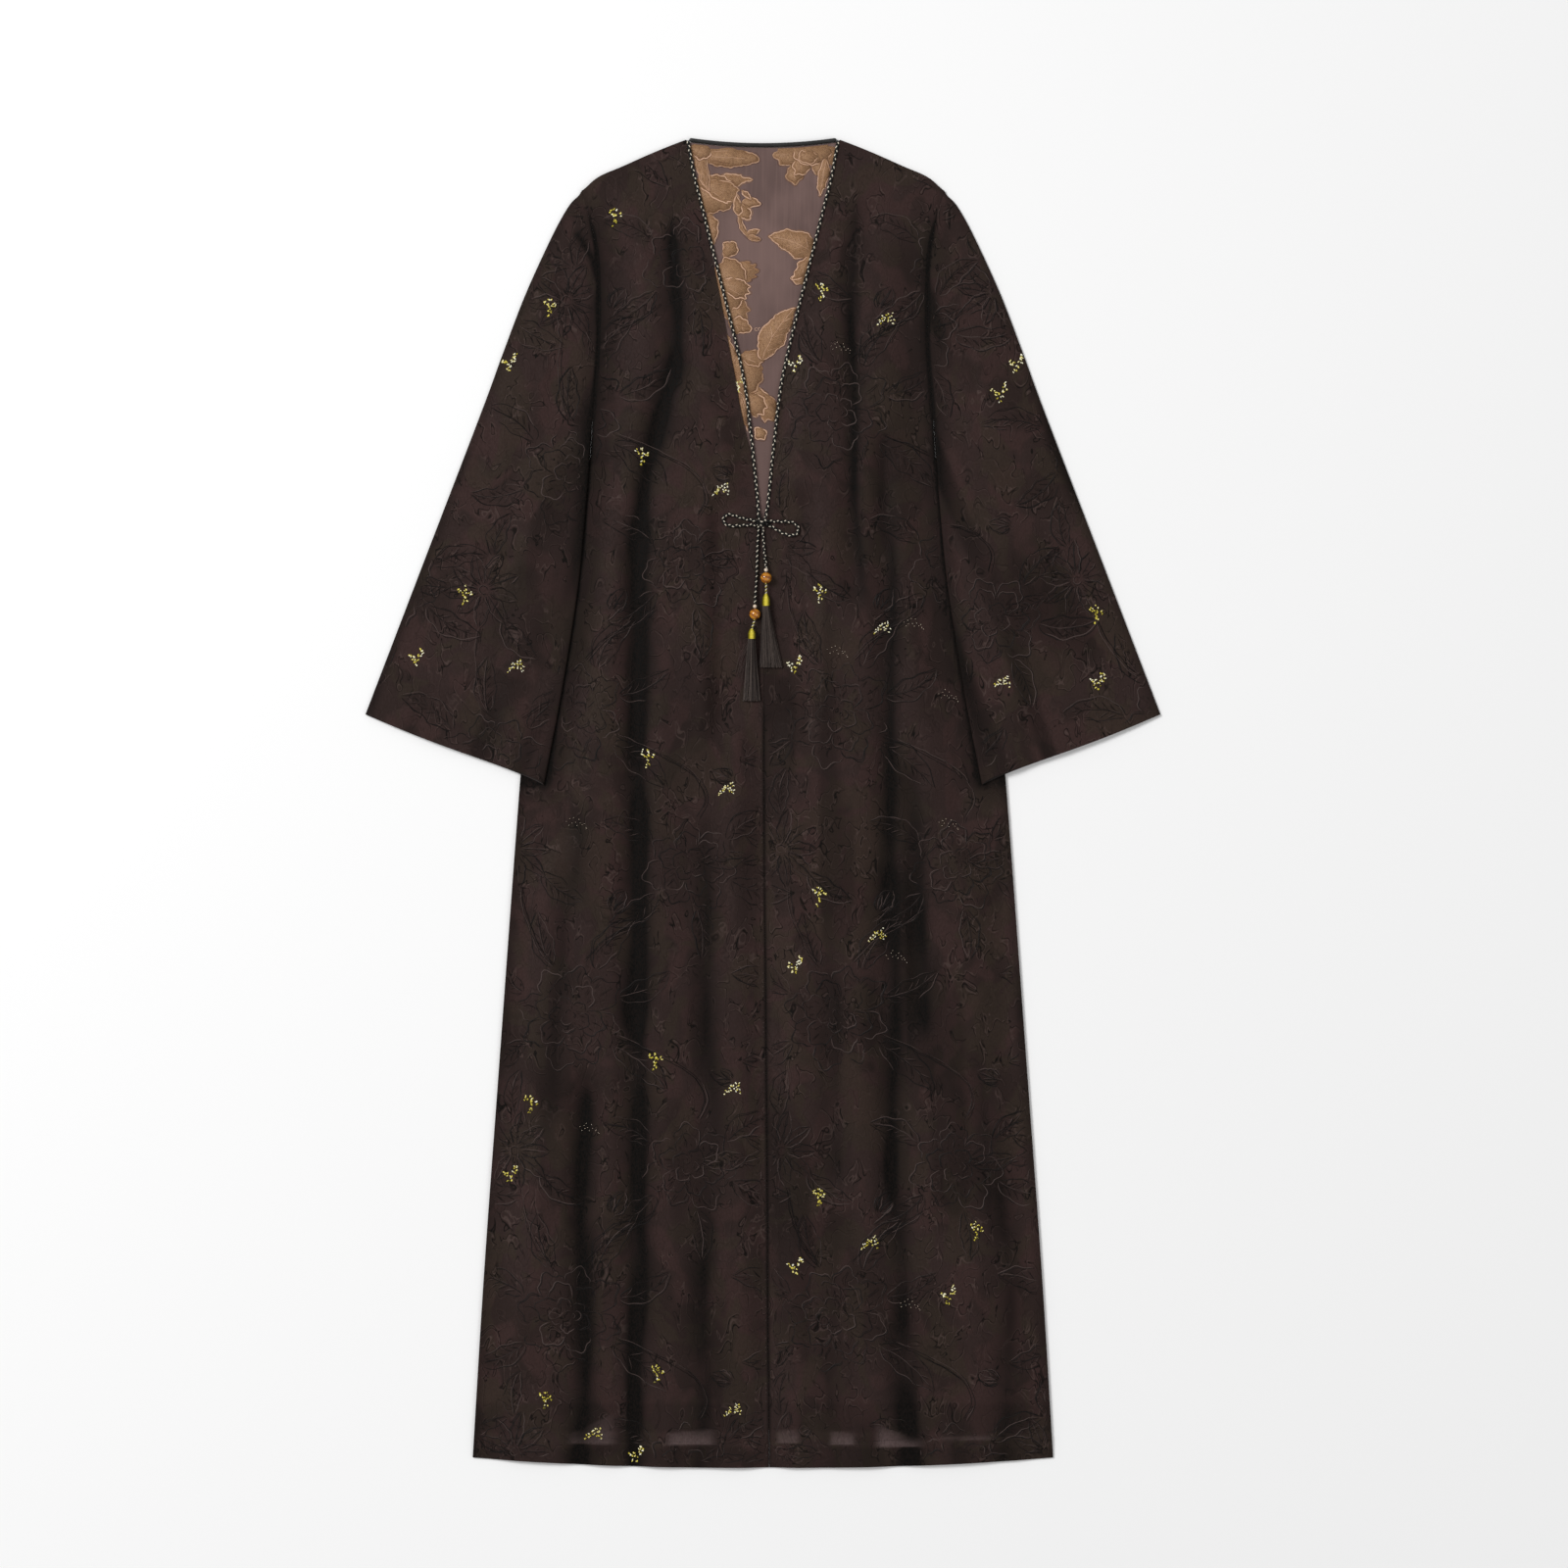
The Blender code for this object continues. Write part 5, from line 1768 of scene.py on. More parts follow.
def fold_rise(side: int, x: np.ndarray, drop: np.ndarray) -> np.ndarray:
    """Work out the height of a front's soft lengthwise folds.

    Args:
        side: Left or right.
        x: Places to the right of the centre line.
        drop: Places down from the neck points.

    Returns:
        Their height at each place.
    """
    rise = FOLD_HEIGHT * (0.35 + 0.65 * smooth_step((drop - 60.0) / 420.0))
    rise = rise * fold_freedom(side, x, drop)
    rise = rise * (1.0 - 0.62 * smooth_step((drop - 1130.0) / 200.0))
    for trough in TROUGHS[side]:
        rise = rise * (1.0 - trough.depth * trough.share(x, drop))
    return rise


def grid_sheet(name: str, columns: int, rows: int) -> tuple[bpy.types.Object, np.ndarray, np.ndarray]:
    """Add a flat grid that is about to become a sheet of cloth.

    Args:
        name: The piece's name.
        columns: Cells across.
        rows: Cells down.

    Returns:
        The object, and each vertex's column and row as numbers.
    """
    clear_selection()
    bpy.ops.mesh.primitive_grid_add(x_subdivisions=columns, y_subdivisions=rows, size=1.0)
    sheet = bpy.context.object
    sheet.name = name
    points = np.empty(len(sheet.data.vertices) * 3, np.float32)
    sheet.data.vertices.foreach_get("co", points)
    points = points.reshape(-1, 3).astype(float)
    return sheet, (points[:, 0] + 0.5) * columns, (0.5 - points[:, 1]) * rows


def round_shoulder(x: np.ndarray, drop: np.ndarray) -> tuple[np.ndarray, np.ndarray]:
    """Round the corner where the shoulder line meets the sleeve.

    Args:
        x: Places to the right of the centre line.
        drop: Places down from the neck points.

    Returns:
        The moved x and drop.
    """
    half = np.abs(x)
    inwards = 3.0 * np.exp(-(np.hypot(half - 187.0, drop - 53.0) / 13.0) ** 2)
    outwards = 1.7 * np.exp(-(np.hypot(half - 164.0, drop - 43.0) / 17.0) ** 2)
    moved = half - 0.65 * inwards + 0.40 * outwards
    return np.sign(x) * moved, drop + 0.76 * inwards - 0.91 * outwards


def lay_out(sheet: bpy.types.Object, x: np.ndarray, drop: np.ndarray, height: np.ndarray) -> None:
    """Move the vertices of a grid to their places on the garment.

    Args:
        sheet: The grid.
        x: Places to the right of the centre line.
        drop: Places down from the neck points.
        height: Heights above the surface below.
    """
    x, drop = round_shoulder(x, drop)
    sheet.data.vertices.foreach_set("co", place(x, drop, height).astype(np.float32).ravel())
    sheet.data.update()


def near_line(marks: Marks, x: np.ndarray, drop: np.ndarray, width: float) -> np.ndarray:
    """Say how near some places are to a line, from 0 to 1 on it.

    Args:
        marks: The line's points.
        x: Places to the right of the centre line.
        drop: Places down from the neck points.
        width: Distance at which the share has fallen to about a third.

    Returns:
        The share at each place.
    """
    away = np.full(len(x), np.inf)
    for spot_x, spot_drop in resample(smooth_line(marks), width / 2.0):
        away = np.minimum(away, np.hypot(x - spot_x, drop - spot_drop))
    return np.exp(-(away / width) ** 2)


def thicken(sheet: bpy.types.Object, top: Finish, under: Finish, wall: float = CLOTH) -> None:
    """Give a sheet its wall below its upper face, with a finish on each side.

    Args:
        sheet: The cloth's object.
        top: Finish of the face that it has now.
        under: Finish of the other face.
        wall: Thickness in millimetres.
    """
    sheet.data.materials.append(top.material())
    sheet.data.materials.append(under.material())
    apply_modifier(sheet, "SOLIDIFY", thickness=wall * MM, offset=-1.0, material_offset=1,
                   use_even_offset=False)


class SheerPatch(NamedTuple):
    """A place at the hem where no second layer lies below, so the cloth is painted paler, standing in for the
    pale floor's light showing through.
    """

    x_start: float
    x_end: float
    top_start: float
    top_end: float
    bottom: float
    strength: float

    def share(self, x: np.ndarray, drop: np.ndarray) -> np.ndarray:
        """Say how sheer some places look, from 0 to 1.

        Args:
            x: Places to the right of the centre line.
            drop: Places down from the neck points.

        Returns:
            The share at each place.
        """
        run = (x - self.x_start) / (self.x_end - self.x_start)
        within = smooth_step(5.0 * run) * smooth_step(3.5 * (1.0 - run))
        top = self.top_start + (self.top_end - self.top_start) * np.clip(run, 0.0, 1.0)
        within = within * (0.45 + 0.55 * smooth_step((drop - top) / np.maximum(self.bottom - top, 4.0)))
        within = within * smooth_step((drop - top) / 3.0 + 0.5)
        return self.strength * within * smooth_step((self.bottom - drop) / 2.0 + 0.5)


SHEER_PATCHES = (
    SheerPatch(-203.0, -145.0, 1326.0, 1298.0, 1333.0, 0.55),
    SheerPatch(-102.0, -44.0, 1322.0, 1317.0, 1333.5, 0.9),
    SheerPatch(12.0, 40.0, 1320.0, 1317.0, 1332.0, 0.55),
    SheerPatch(66.0, 97.0, 1319.0, 1322.0, 1333.5, 0.85),
    SheerPatch(111.0, 168.0, 1312.0, 1330.0, 1336.0, 0.9),
    SheerPatch(172.0, 246.0, 1325.5, 1323.5, 1328.5, 0.4),
)


# Painted shadow that the fronts show round a cuff's inner corner, and the painted shade of one short crease
# of the left sleeve
CUFF_CORNER = ((212.0, 600.0), (216.5, 630.0), (221.0, 658.5), (236.0, 653.5), (247.0, 649.0))
SLEEVE_CREASE = ((-189.5, 100.0), (-182.0, 110.0), (-174.0, 126.0), (-169.5, 142.0))
# How dark the painted shade of the troughs and of the soft streaks of each front is
TROUGH_SHADE = {LEFT: 1.26, RIGHT: 0.94}
STREAK_SHADE = {LEFT: 0.22, RIGHT: 0.42}
# Boxes that a front's figure lines keep out of: lowest and highest x, then drop
UNDER_TIE = (-25.0, 23.0, 382.0, 580.0)
UNDER_BOW = (-45.0, 40.0, 382.0, 411.0)


@dataclass
class Front:
    """One front: shoulder, armhole, side seam, hem, centre front and neckline."""

    side: int
    columns: int = 104
    upper_steps: int = 8
    hem_step: float = 1.5
    lower_rows: int = 17
    pucker: float = 0.55
    hem_rise: float = 0.3
    stitch_dip: float = 0.35
    edge_rise: float = 0.35
    fold_shade: float = 0.60
    armhole_shade: float = 0.45
    sleeve_shade: float = 0.9
    corner_shade: float = 0.7
    centre_shade: float = 0.8
    side_shade: float = 0.35
    band_shade: float = 0.16
    hem_shade: float = 0.12

    def row_numbers(self) -> np.ndarray:
        """Say where the cloth's fine rows lie between the part's own rows, closest at the hem.

        Returns:
            Their places, counted in the part's rows.
        """
        last = len(UPPER_INNER) + self.lower_rows
        upper = np.linspace(0.0, last - 2.0, (last - 2) * self.upper_steps + 1)
        above_hem = np.linspace(last - 2.0, last - 1.0, 25)[1:]
        hem = np.linspace(last - 1.0, last, int(LAST_WEB / self.hem_step) + 1)[1:]
        return np.concatenate([upper, above_hem, hem])

    def build(self) -> bpy.types.Object:
        """Make the front.

        Returns:
            The new piece.
        """
        name = SIDE_NAMES[self.side]
        numbers = self.row_numbers()
        sheet, column, row = grid_sheet(f"front_{name}_cloth", self.columns, len(numbers) - 1)
        across = column / self.columns
        if self.side == LEFT:
            across = 1.0 - across
        row = np.interp(row, np.arange(len(numbers)), numbers)
        x, drop, height = self.form(across, row)
        lay_out(sheet, x, drop, height)
        thicken(sheet, OUTER_CLOTH, WRONG_SIDE)
        finish_piece(sheet, (f"front_{name}",))
        return sheet

    def form(self, across: np.ndarray, row: np.ndarray) -> tuple[np.ndarray, np.ndarray, np.ndarray]:
        """Work out the upper face.

        Args:
            across: Places from the inner edge, 0, to the outer edge, 1.
            row: Places from the shoulder to the hem in rows of the part's source.

        Returns:
            x, drop and height of each place.
        """
        inner_drops, outer_drops = panel_drops(LENGTH, SIDE_SEAM[-1][1], self.lower_rows)
        last = len(inner_drops) - 1
        inner_drop = np.interp(row, np.arange(last + 1), inner_drops)
        outer_drop = np.interp(row, np.arange(last + 1), outer_drops)
        shoulder = SHOULDER_RISE * np.maximum(0.0, 1.0 - row / 3.0)
        hem = HEM_SAG * np.maximum(0.0, 1.0 - (last - row) / 4.0)
        inner = front_edge_x(self.side, inner_drop)
        outer = self.side * half_at(SIDE_LINE, outer_drop)
        x = inner + across * (outer - inner)
        drop = inner_drop + across * (outer_drop - inner_drop) + 4.0 * across * (1.0 - across) * (
            hem - shoulder)
        hem_up = (last - row) * LAST_WEB
        height = FRONT_UNDER * np.minimum(1.0, last - row) + SOLID_CLOTH
        height = height + fold_rise(self.side, x, drop) + self.relief(x, drop, hem_up)
        return x, drop, height

    def relief(self, x: np.ndarray, drop: np.ndarray, hem_up: np.ndarray) -> np.ndarray:
        """Work out the cloth's small relief: puckers, turned-up hem and centre edge.

        Args:
            x: Places to the right of the centre line.
            drop: Places down from the neck points.
            hem_up: Distances up from the hem.

        Returns:
            Its height at each place.
        """
        long_ones, short_ones = SoftNoise(5 + self.side), SoftNoise(9 + self.side)
        puckers = 0.65 * long_ones.at(x / 12.0 + 40.0, drop / 60.0)
        puckers = puckers + 0.35 * short_ones.at(x / 8.0 + 40.0, drop / 22.0)
        relief = self.pucker * puckers * fold_freedom(self.side, x, drop)
        relief = relief + self.hem_rise * smooth_step((LAST_WEB - hem_up) / 1.5)
        relief = relief - self.stitch_dip * np.exp(-((hem_up - LAST_WEB) / 1.3) ** 2)
        edge = np.abs(x - front_edge_x(self.side, drop))
        below_bow = smooth_step((drop - 392.0) / 8.0)
        return relief + self.edge_rise * below_bow * np.exp(-(edge / 2.6) ** 2) * (self.side == LEFT)

    def tone(self, x: np.ndarray, drop: np.ndarray) -> tuple[np.ndarray, np.ndarray]:
        """Say where shade is painted on the cloth, and where it is painted paler because it is sheer.

        Args:
            x: Places to the right of the centre line.
            drop: Places down from the neck points.

        Returns:
            Painted shade and painted sheer paleness of each place, from 0 to 1.
        """
        half = np.abs(x)
        uneven = SoftNoise(21)
        drift = 5.0 * uneven.at(x / 40.0 + 30.0, drop / 90.0)
        shade = np.zeros_like(x)
        # painted shade: troughs, soft streaks, sleeve fold and edge, armhole, cuff corner, centre gap, side
        # and hem
        for trough in TROUGHS[self.side]:
            wide = trough.share(x - 5.0 + drift, drop)
            core = trough.share(1.5 * (x + drift) - 0.5 * trough.middle(drop) - 5.0, drop)
            edge = trough.share(3.4 * (x + 1.6 * drift) - 2.4 * trough.middle(drop) - 20.0, drop)
            shade = shade + trough.depth * (0.54 * wide + 0.80 * core * trough.depth + 0.26 * edge)
        shade = shade * (0.84 + 0.32 * uneven.at(x / 18.0, drop / 50.0 + 9.0))
        shade = shade * TROUGH_SHADE[self.side]
        streaks = SoftNoise(61 + self.side).at(x / 22.0 + 30.0, drop / 150.0)
        soft = smooth_step((streaks - 0.10) / 0.6) * smooth_step((drop - 420.0) / 150.0)
        shade = shade + STREAK_SHADE[self.side] * soft
        to_fold = half - half_at(INNER_LINE, drop)
        shade = shade + self.fold_shade * BESIDE_FOLD.share(drop) * smooth_step((to_fold + 34.0) / 34.0)
        to_seam = half - half_at(ARMHOLE_LINE, drop)
        shade = shade + self.armhole_shade * BESIDE_ARMHOLE.share(drop) * smooth_step(
            (to_seam + 48.0) / 48.0)
        to_sleeve = half - sleeve_edge(drop)
        shade = shade + self.sleeve_shade * AT_SLEEVE.share(drop) * smooth_step((to_sleeve + 3.5) / 3.0)
        shade = shade + self.corner_shade * near_line(CUFF_CORNER, half, drop, 3.2)
        centre = smooth_step((drop - 560.0) / 60.0) * smooth_step((LENGTH - drop) / 200.0 + 0.55)
        to_centre = np.abs(x - front_edge_x(self.side, drop))
        shade = shade + self.centre_shade * centre * smooth_step(1.0 - to_centre / 3.0)
        to_side = half - half_at(SIDE_LINE, drop)
        shade = shade + self.side_shade * smooth_step((to_side + 12.0) / 12.0)
        shade = shade + self.band_shade * ABOVE_HEM_STITCHES.share(drop)
        shade = shade + self.hem_shade * smooth_step((drop - 1336.0) / 2.0)
        sheer = np.zeros_like(x)
        for patch in SHEER_PATCHES:
            sheer = sheer + patch.share(x, drop)
        return np.clip(shade * (1.0 - 0.8 * sheer), 0.0, 1.0), np.clip(sheer, 0.0, 1.0)


# Drops of the part's rows at a sleeve's inner and outer fold
SLEEVE_INNER_DROPS = (53.6, 74.0, 108.0, 146.0, 188.0, 230.0, 264.0, 288.0, 311.0, 336.0,
                      366.0, 400.0, 436.0, 474.0, 512.0, 550.0, 588.0, 624.0, 657.0)
SLEEVE_OUTER_DROPS = (54.2, 68.0, 96.0, 126.0, 160.0, 197.0, 228.0, 250.0, 271.0, 294.0,
                      322.0, 353.0, 386.0, 421.0, 456.0, 491.0, 526.0, 559.0, 589.0)


def climb_on_body(half: np.ndarray, drop: np.ndarray) -> np.ndarray:
    """Work out the height of a sleeve's underside, on the surface or on the front.

    Args:
        half: Distances from the centre line.
        drop: Places down from the neck points.

    Returns:
        Its height at each place.
    """
    away = np.full(len(half), np.inf)
    for edge_half, edge_drop in BODY_UNDER_SLEEVE:
        away = np.minimum(away, np.hypot(half - edge_half, drop - edge_drop))
    within = (drop > UNDERARM[0][1]) & (half < half_at(BODY_UNDER_SLEEVE, drop))
    climb = ON_FRONT * smooth_step((36.0 - np.where(within, 0.0, away)) / 24.0)
    return np.where(drop < ARMHOLE[-2][1], 0.0, climb)


@dataclass
class Sleeve:
    """One wide sleeve: a flattened tube from the armhole to its open cuff."""

    side: int
    upper_columns: int = 66
    under_columns: int = 34
    rows: int = 150
    fold_marks: tuple = (0.0, 0.4, 0.9, 1.5, 2.2, 3.2, 5.0, 8.0)
    fold_radius: float = 2.1
    seam_gap: float = 0.12
    puff: float = 3.1
    crease: float = 0.9
    cuff_band: float = 23.0
    cuff_rise: float = 0.25
    cuff_row: float = 32.0
    lean: float = 0.38
    inner_shade: float = 0.5
    outer_shade: float = 0.35
    streak_shade: float = 0.5
    seam_shade: float = 0.95
    head_shade: float = 0.35
    crease_shade: float = 0.8

    def build(self) -> bpy.types.Object:
        """Make the sleeve.

        Returns:
            The new piece.
        """
        name = SIDE_NAMES[self.side]
        columns = self.upper_columns + self.under_columns
        last = len(SLEEVE_INNER_DROPS) - 1
        sheet, column, row = grid_sheet(f"sleeve_{name}_cloth", columns, self.rows)
        if self.side == LEFT:
            column = columns - column
        on_top = column <= self.upper_columns
        steps = np.where(on_top, column, columns - column)
        count = np.where(on_top, self.upper_columns, self.under_columns)
        x, drop, height = self.form(steps, count, on_top, row / self.rows * last)
        lay_out(sheet, x, drop, height)
        take(sheet)
        bpy.ops.object.mode_set(mode="EDIT")
        bpy.ops.mesh.select_all(action="SELECT")
        bpy.ops.mesh.remove_doubles(threshold=0.02 * MM)
        bpy.ops.object.mode_set(mode="OBJECT")
        thicken(sheet, OUTER_CLOTH, SHADED_SLEEVE_INSIDE)
        finish_piece(sheet, (f"sleeve_{name}",))
        return sheet

    def form(self, steps: np.ndarray, count: np.ndarray, on_top: np.ndarray,
             row: np.ndarray) -> tuple[np.ndarray, np.ndarray, np.ndarray]:
        """Work out the sleeve's outer face.

        Args:
            steps: Columns from the inner fold.
            count: Columns of the layer that each place is in.
            on_top: Whether that is the upper layer.
            row: Places from the shoulder to the cuff, in rows of the part's source.

        Returns:
            x, drop and height of each place.
        """
        numbers = np.arange(len(SLEEVE_INNER_DROPS))
        inner_drop = np.interp(row, numbers, SLEEVE_INNER_DROPS)
        outer_drop = np.interp(row, numbers, SLEEVE_OUTER_DROPS)
        inner = sleeve_edge(inner_drop) + self.seam_gap * (inner_drop <= SLEEVE_INNER[0][1])
        outer = half_at(OUTER_LINE, outer_drop)
        width = np.hypot(outer - inner, outer_drop - inner_drop)
        share = self.shares(steps, count, width)
        far_down = row / numbers[-1]
        cuff = 2.6 * np.sin(np.pi * share ** 1.4) * far_down ** 6
        corner = 4.0 * (1.0 - share) ** np.where(on_top, 30.0, 7.0) * far_down ** 10
        half = inner + share * (outer - inner) - 0.35 * (cuff + corner) * (share - 0.5)
        drop = inner_drop + share * (outer_drop - inner_drop) + cuff + corner
        under = climb_on_body(half, drop)
        fullness = smooth_step(row / 7.0)
        puff = self.puff * np.sin(np.pi * np.clip(share, 0.0, 1.0)) ** 0.8 * fullness
        deep = 2.0 * SOLID_CLOTH + SEAM_GAP + puff
        middle = under + SOLID_CLOTH + SEAM_GAP / 2.0
        outer_round = self.roundness((1.0 - share) * width)
        closing = smooth_step((inner_drop - SLEEVE_INNER[0][1]) / 12.0)
        inner_round = 1.0 - closing * (1.0 - self.roundness(share * width))
        full = outer_round * inner_round
        top = under + deep + self.relief(share, width, row, drop) * np.sin(np.pi * share) ** 0.5
        height = np.where(on_top, middle + (top - middle) * full, middle - (middle - under) * full)
        return self.side * half, drop, height

    def shares(self, steps: np.ndarray, count: np.ndarray, width: np.ndarray) -> np.ndarray:
        """Turn columns into shares of the sleeve's width, close together at both folds.

        Args:
            steps: Columns from the inner fold.
            count: Columns in the layer.
            width: Width of the sleeve there.

        Returns:
            Shares from 0 at the inner fold to 1 at the outer one.
        """
        marks = np.array(self.fold_marks)
        ends = len(marks) - 1
        small = np.minimum(1.0, 0.4 * width / marks[-1])
        near = np.interp(steps, np.arange(ends + 1), marks) * small
        far = width - np.interp(count - steps, np.arange(ends + 1), marks) * small
        run = (steps - ends) / (count - 2.0 * ends)
        between = marks[-1] * small + run * (width - 2.0 * marks[-1] * small)
        place_across = np.where(steps < ends, near, np.where(steps > count - ends, far, between))
        return np.clip(place_across / width, 0.0, 1.0)

    def roundness(self, away: np.ndarray) -> np.ndarray:
        """Say how far a layer has parted from the fold, as a quarter circle from 0 to 1."""
        return np.sqrt(1.0 - (1.0 - np.clip(away / self.fold_radius, 0.0, 1.0)) ** 2)

    def relief(self, share: np.ndarray, width: np.ndarray, row: np.ndarray,
               drop: np.ndarray) -> np.ndarray:
        """Work out the small relief of the upper layer: long creases, puckers and cuff band.

        Args:
            share: Places across the sleeve.
            width: Its width there.
            row: Rows from the shoulder.
            drop: Places down from the neck points.

        Returns:
            Its height at each place.
        """
        across = share * width
        long_ones, short_ones = SoftNoise(31 + self.side), SoftNoise(35 + self.side)
        relief = self.crease * long_ones.at(share * 7.0 + 20.0, row / 3.4) * smooth_step((row - 1.0) / 5.0)
        relief = relief + 0.35 * short_ones.at(across / 11.0 + 20.0, drop / 22.0)
        cuff_up = (len(SLEEVE_INNER_DROPS) - 1 - row) * self.cuff_row
        relief = relief * (0.35 + 0.65 * smooth_step((cuff_up - 4.0) / 40.0))
        relief = relief + self.cuff_rise * smooth_step((self.cuff_band - cuff_up) / 1.5)
        return relief - 0.3 * np.exp(-((cuff_up - self.cuff_band) / 1.6) ** 2)

    def tone(self, x: np.ndarray, drop: np.ndarray) -> tuple[np.ndarray, np.ndarray]:
        """Say where shade is painted on the cloth; no place of a sleeve is painted sheer.

        Args:
            x: Places to the right of the centre line.
            drop: Places down from the neck points.

        Returns:
            Painted shade and painted sheerness of each place, from 0 to 1.
        """
        half = np.abs(x)
        inner, outer = sleeve_edge(drop), half_at(OUTER_LINE, drop)
        shade = self.inner_shade * smooth_step((inner + 20.0 - half) / 20.0) * smooth_step(
            (drop - 230.0) / 80.0)
        shade = shade + self.outer_shade * smooth_step((half - outer + 12.0) / 12.0)
        streaks = SoftNoise(51 + self.side).at((half - self.lean * drop) / 26.0 + 30.0, drop / 160.0)
        shade = shade + self.streak_shade * smooth_step((streaks - 0.15) / 0.6)
        seam = AT_SLEEVE_SEAM.share(drop)
        shade = shade + self.seam_shade * seam * np.exp(-((half - inner) / 2.2) ** 2)
        shade = shade + self.head_shade * seam * smooth_step((inner + 26.0 - half) / 26.0)
        if self.side == LEFT:
            shade = shade + self.crease_shade * near_line(SLEEVE_CREASE, x, drop, 3.4)
        return np.clip(shade, 0.0, 1.0), np.zeros_like(x)


@dataclass
class Back:
    """The back: it lies flat, and its wrong side shows in the neck opening."""

    columns: int = 110
    rows: int = 150
    lower_rows: int = 8
    wall: float = CLOTH

    def build(self) -> bpy.types.Object:
        """Make the back.

        Returns:
            The new piece.
        """
        sheet, column, row = grid_sheet("back_cloth", self.columns, self.rows)
        x, drop = self.form(column / self.columns * 2.0 - 1.0, row / self.rows)
        lay_out(sheet, x, drop, np.full(len(x), SOLID_CLOTH))
        thicken(sheet, WRONG_SIDE, OUTER_CLOTH, self.wall)
        finish_piece(sheet, ("back",))
        x, drop, height = vertex_places(sheet)
        # painted shade on the back's upper face: darker down the neck opening and towards the left
        shade = smooth_step((drop - 90.0) / 240.0) * 0.6 + 0.25 * smooth_step((-x - 5.0) / 60.0)
        below = height < SOLID_CLOTH - self.wall / 2
        paint(sheet, "tone", np.where(below, 0.1, shade))
        return sheet

    def form(self, even: np.ndarray, run: np.ndarray) -> tuple[np.ndarray, np.ndarray]:
        """Work out where the back's places lie.

        Args:
            even: Places from the left edge, -1, to the right one, 1.
            run: Places from the top edge, 0, to the hem, 1.

        Returns:
            x and drop of each place.
        """
        hem = LENGTH - BACK_SHORTER
        inner_drops, outer_drops = panel_drops(hem, hem - BACK_SIDE_RISE, self.lower_rows)
        numbers = np.arange(len(inner_drops))
        row = np.interp(run, inner_drops / inner_drops[-1], numbers)
        inner_drop = np.interp(row, numbers, inner_drops)
        outer_drop = np.interp(row, numbers, outer_drops)
        tip = half_at(SIDE_LINE, outer_drops[0])
        reach = np.abs(even)
        x = even * half_at(SIDE_LINE, outer_drop)
        slope = outer_drops[0] - inner_drops[0]
        over = np.clip((reach * tip - NECK_HALF) / (tip - NECK_HALF), 0.0, 1.0)
        shoulder = inner_drops[0] + slope * over - SHOULDER_RISE * 4.0 * over * (1.0 - over)
        neck = BACK_NECK_DROP - BACK_NECK_RISE * (even * tip / BACK_NECK_HALF) ** 2
        edge = np.where(reach * tip > BACK_NECK_HALF + 0.75, shoulder, neck)
        level = inner_drop + reach * (outer_drop - inner_drop)
        first = inner_drops[0] + reach * slope
        return x, level + (edge - first) * np.maximum(0.0, 1.0 - row / 4.0)


@dataclass
class NeckBinding:
    """Black rolled satin strip along the back neck, with slanting ripples."""

    half: float = BACK_NECK_HALF
    sides: int = 20
    stations: int = 150
    ripple: float = 0.05

    def build(self) -> bpy.types.Object:
        """Make the binding.

        Returns:
            The new piece.
        """
        x = np.linspace(-self.half, self.half, self.stations)
        middle = BACK_NECK_DROP - BACK_NECK_RISE * (x / BACK_NECK_HALF) ** 2 - SEAM_GAP - BINDING / 2
        line = np.stack([x, middle, np.full_like(x, BINDING / 2)], axis=1)
        ends = np.sqrt(np.clip((self.half - np.abs(x)) / 1.6, 0.0, 1.0))
        points, faces = tube(line, BINDING / 2 * (0.35 + 0.65 * ends), self.sides)
        angle = np.tile(2.0 * np.pi * np.arange(self.sides) / self.sides, self.stations)
        ripple = self.ripple * np.sin(2.0 * np.pi * (points[:, 0] / 3.1) + angle)
        points = points + ripple[:, None] * (points - np.repeat(line, self.sides, axis=0)) / (BINDING / 2)
        bits = Bits()
        bits.add(points, faces)
        made = bits.piece("neck_binding_roll", BINDING_SATIN)
        return finish_piece(made, ("neck_binding",))


class Stroke(NamedTuple):
    """A raised line of a figure: its points, how pale it is and half its width."""

    points: np.ndarray
    tone: float = 0.5
    half_width: float = 0.7


@dataclass
class Figure:
    """A figure of the cloth: filled outlines and raised lines, as x and drop about a middle."""

    outlines: list[np.ndarray] = field(default_factory=list)
    strokes: list[Stroke] = field(default_factory=list)

    def moved(self, x: float, drop: float, turn: float = 0.0) -> "Figure":
        """Turn the figure about its middle and move it.

        Args:
            x: Where its middle goes.
            drop: Where its middle goes, downwards.
            turn: Angle in degrees, from the viewer's right towards down.

        Returns:
            The moved copy.
        """
        cosine, sine = np.cos(np.radians(turn)), np.sin(np.radians(turn))
        matrix = np.array([[cosine, sine], [-sine, cosine]])
        shift = np.array([x, drop])
        return Figure(
            [outline @ matrix + shift for outline in self.outlines],
            [Stroke(stroke.points @ matrix + shift, *stroke[1:]) for stroke in self.strokes])

    def joined(self, other: "Figure") -> "Figure":
        """Put two figures together."""
        return Figure(self.outlines + other.outlines, self.strokes + other.strokes)


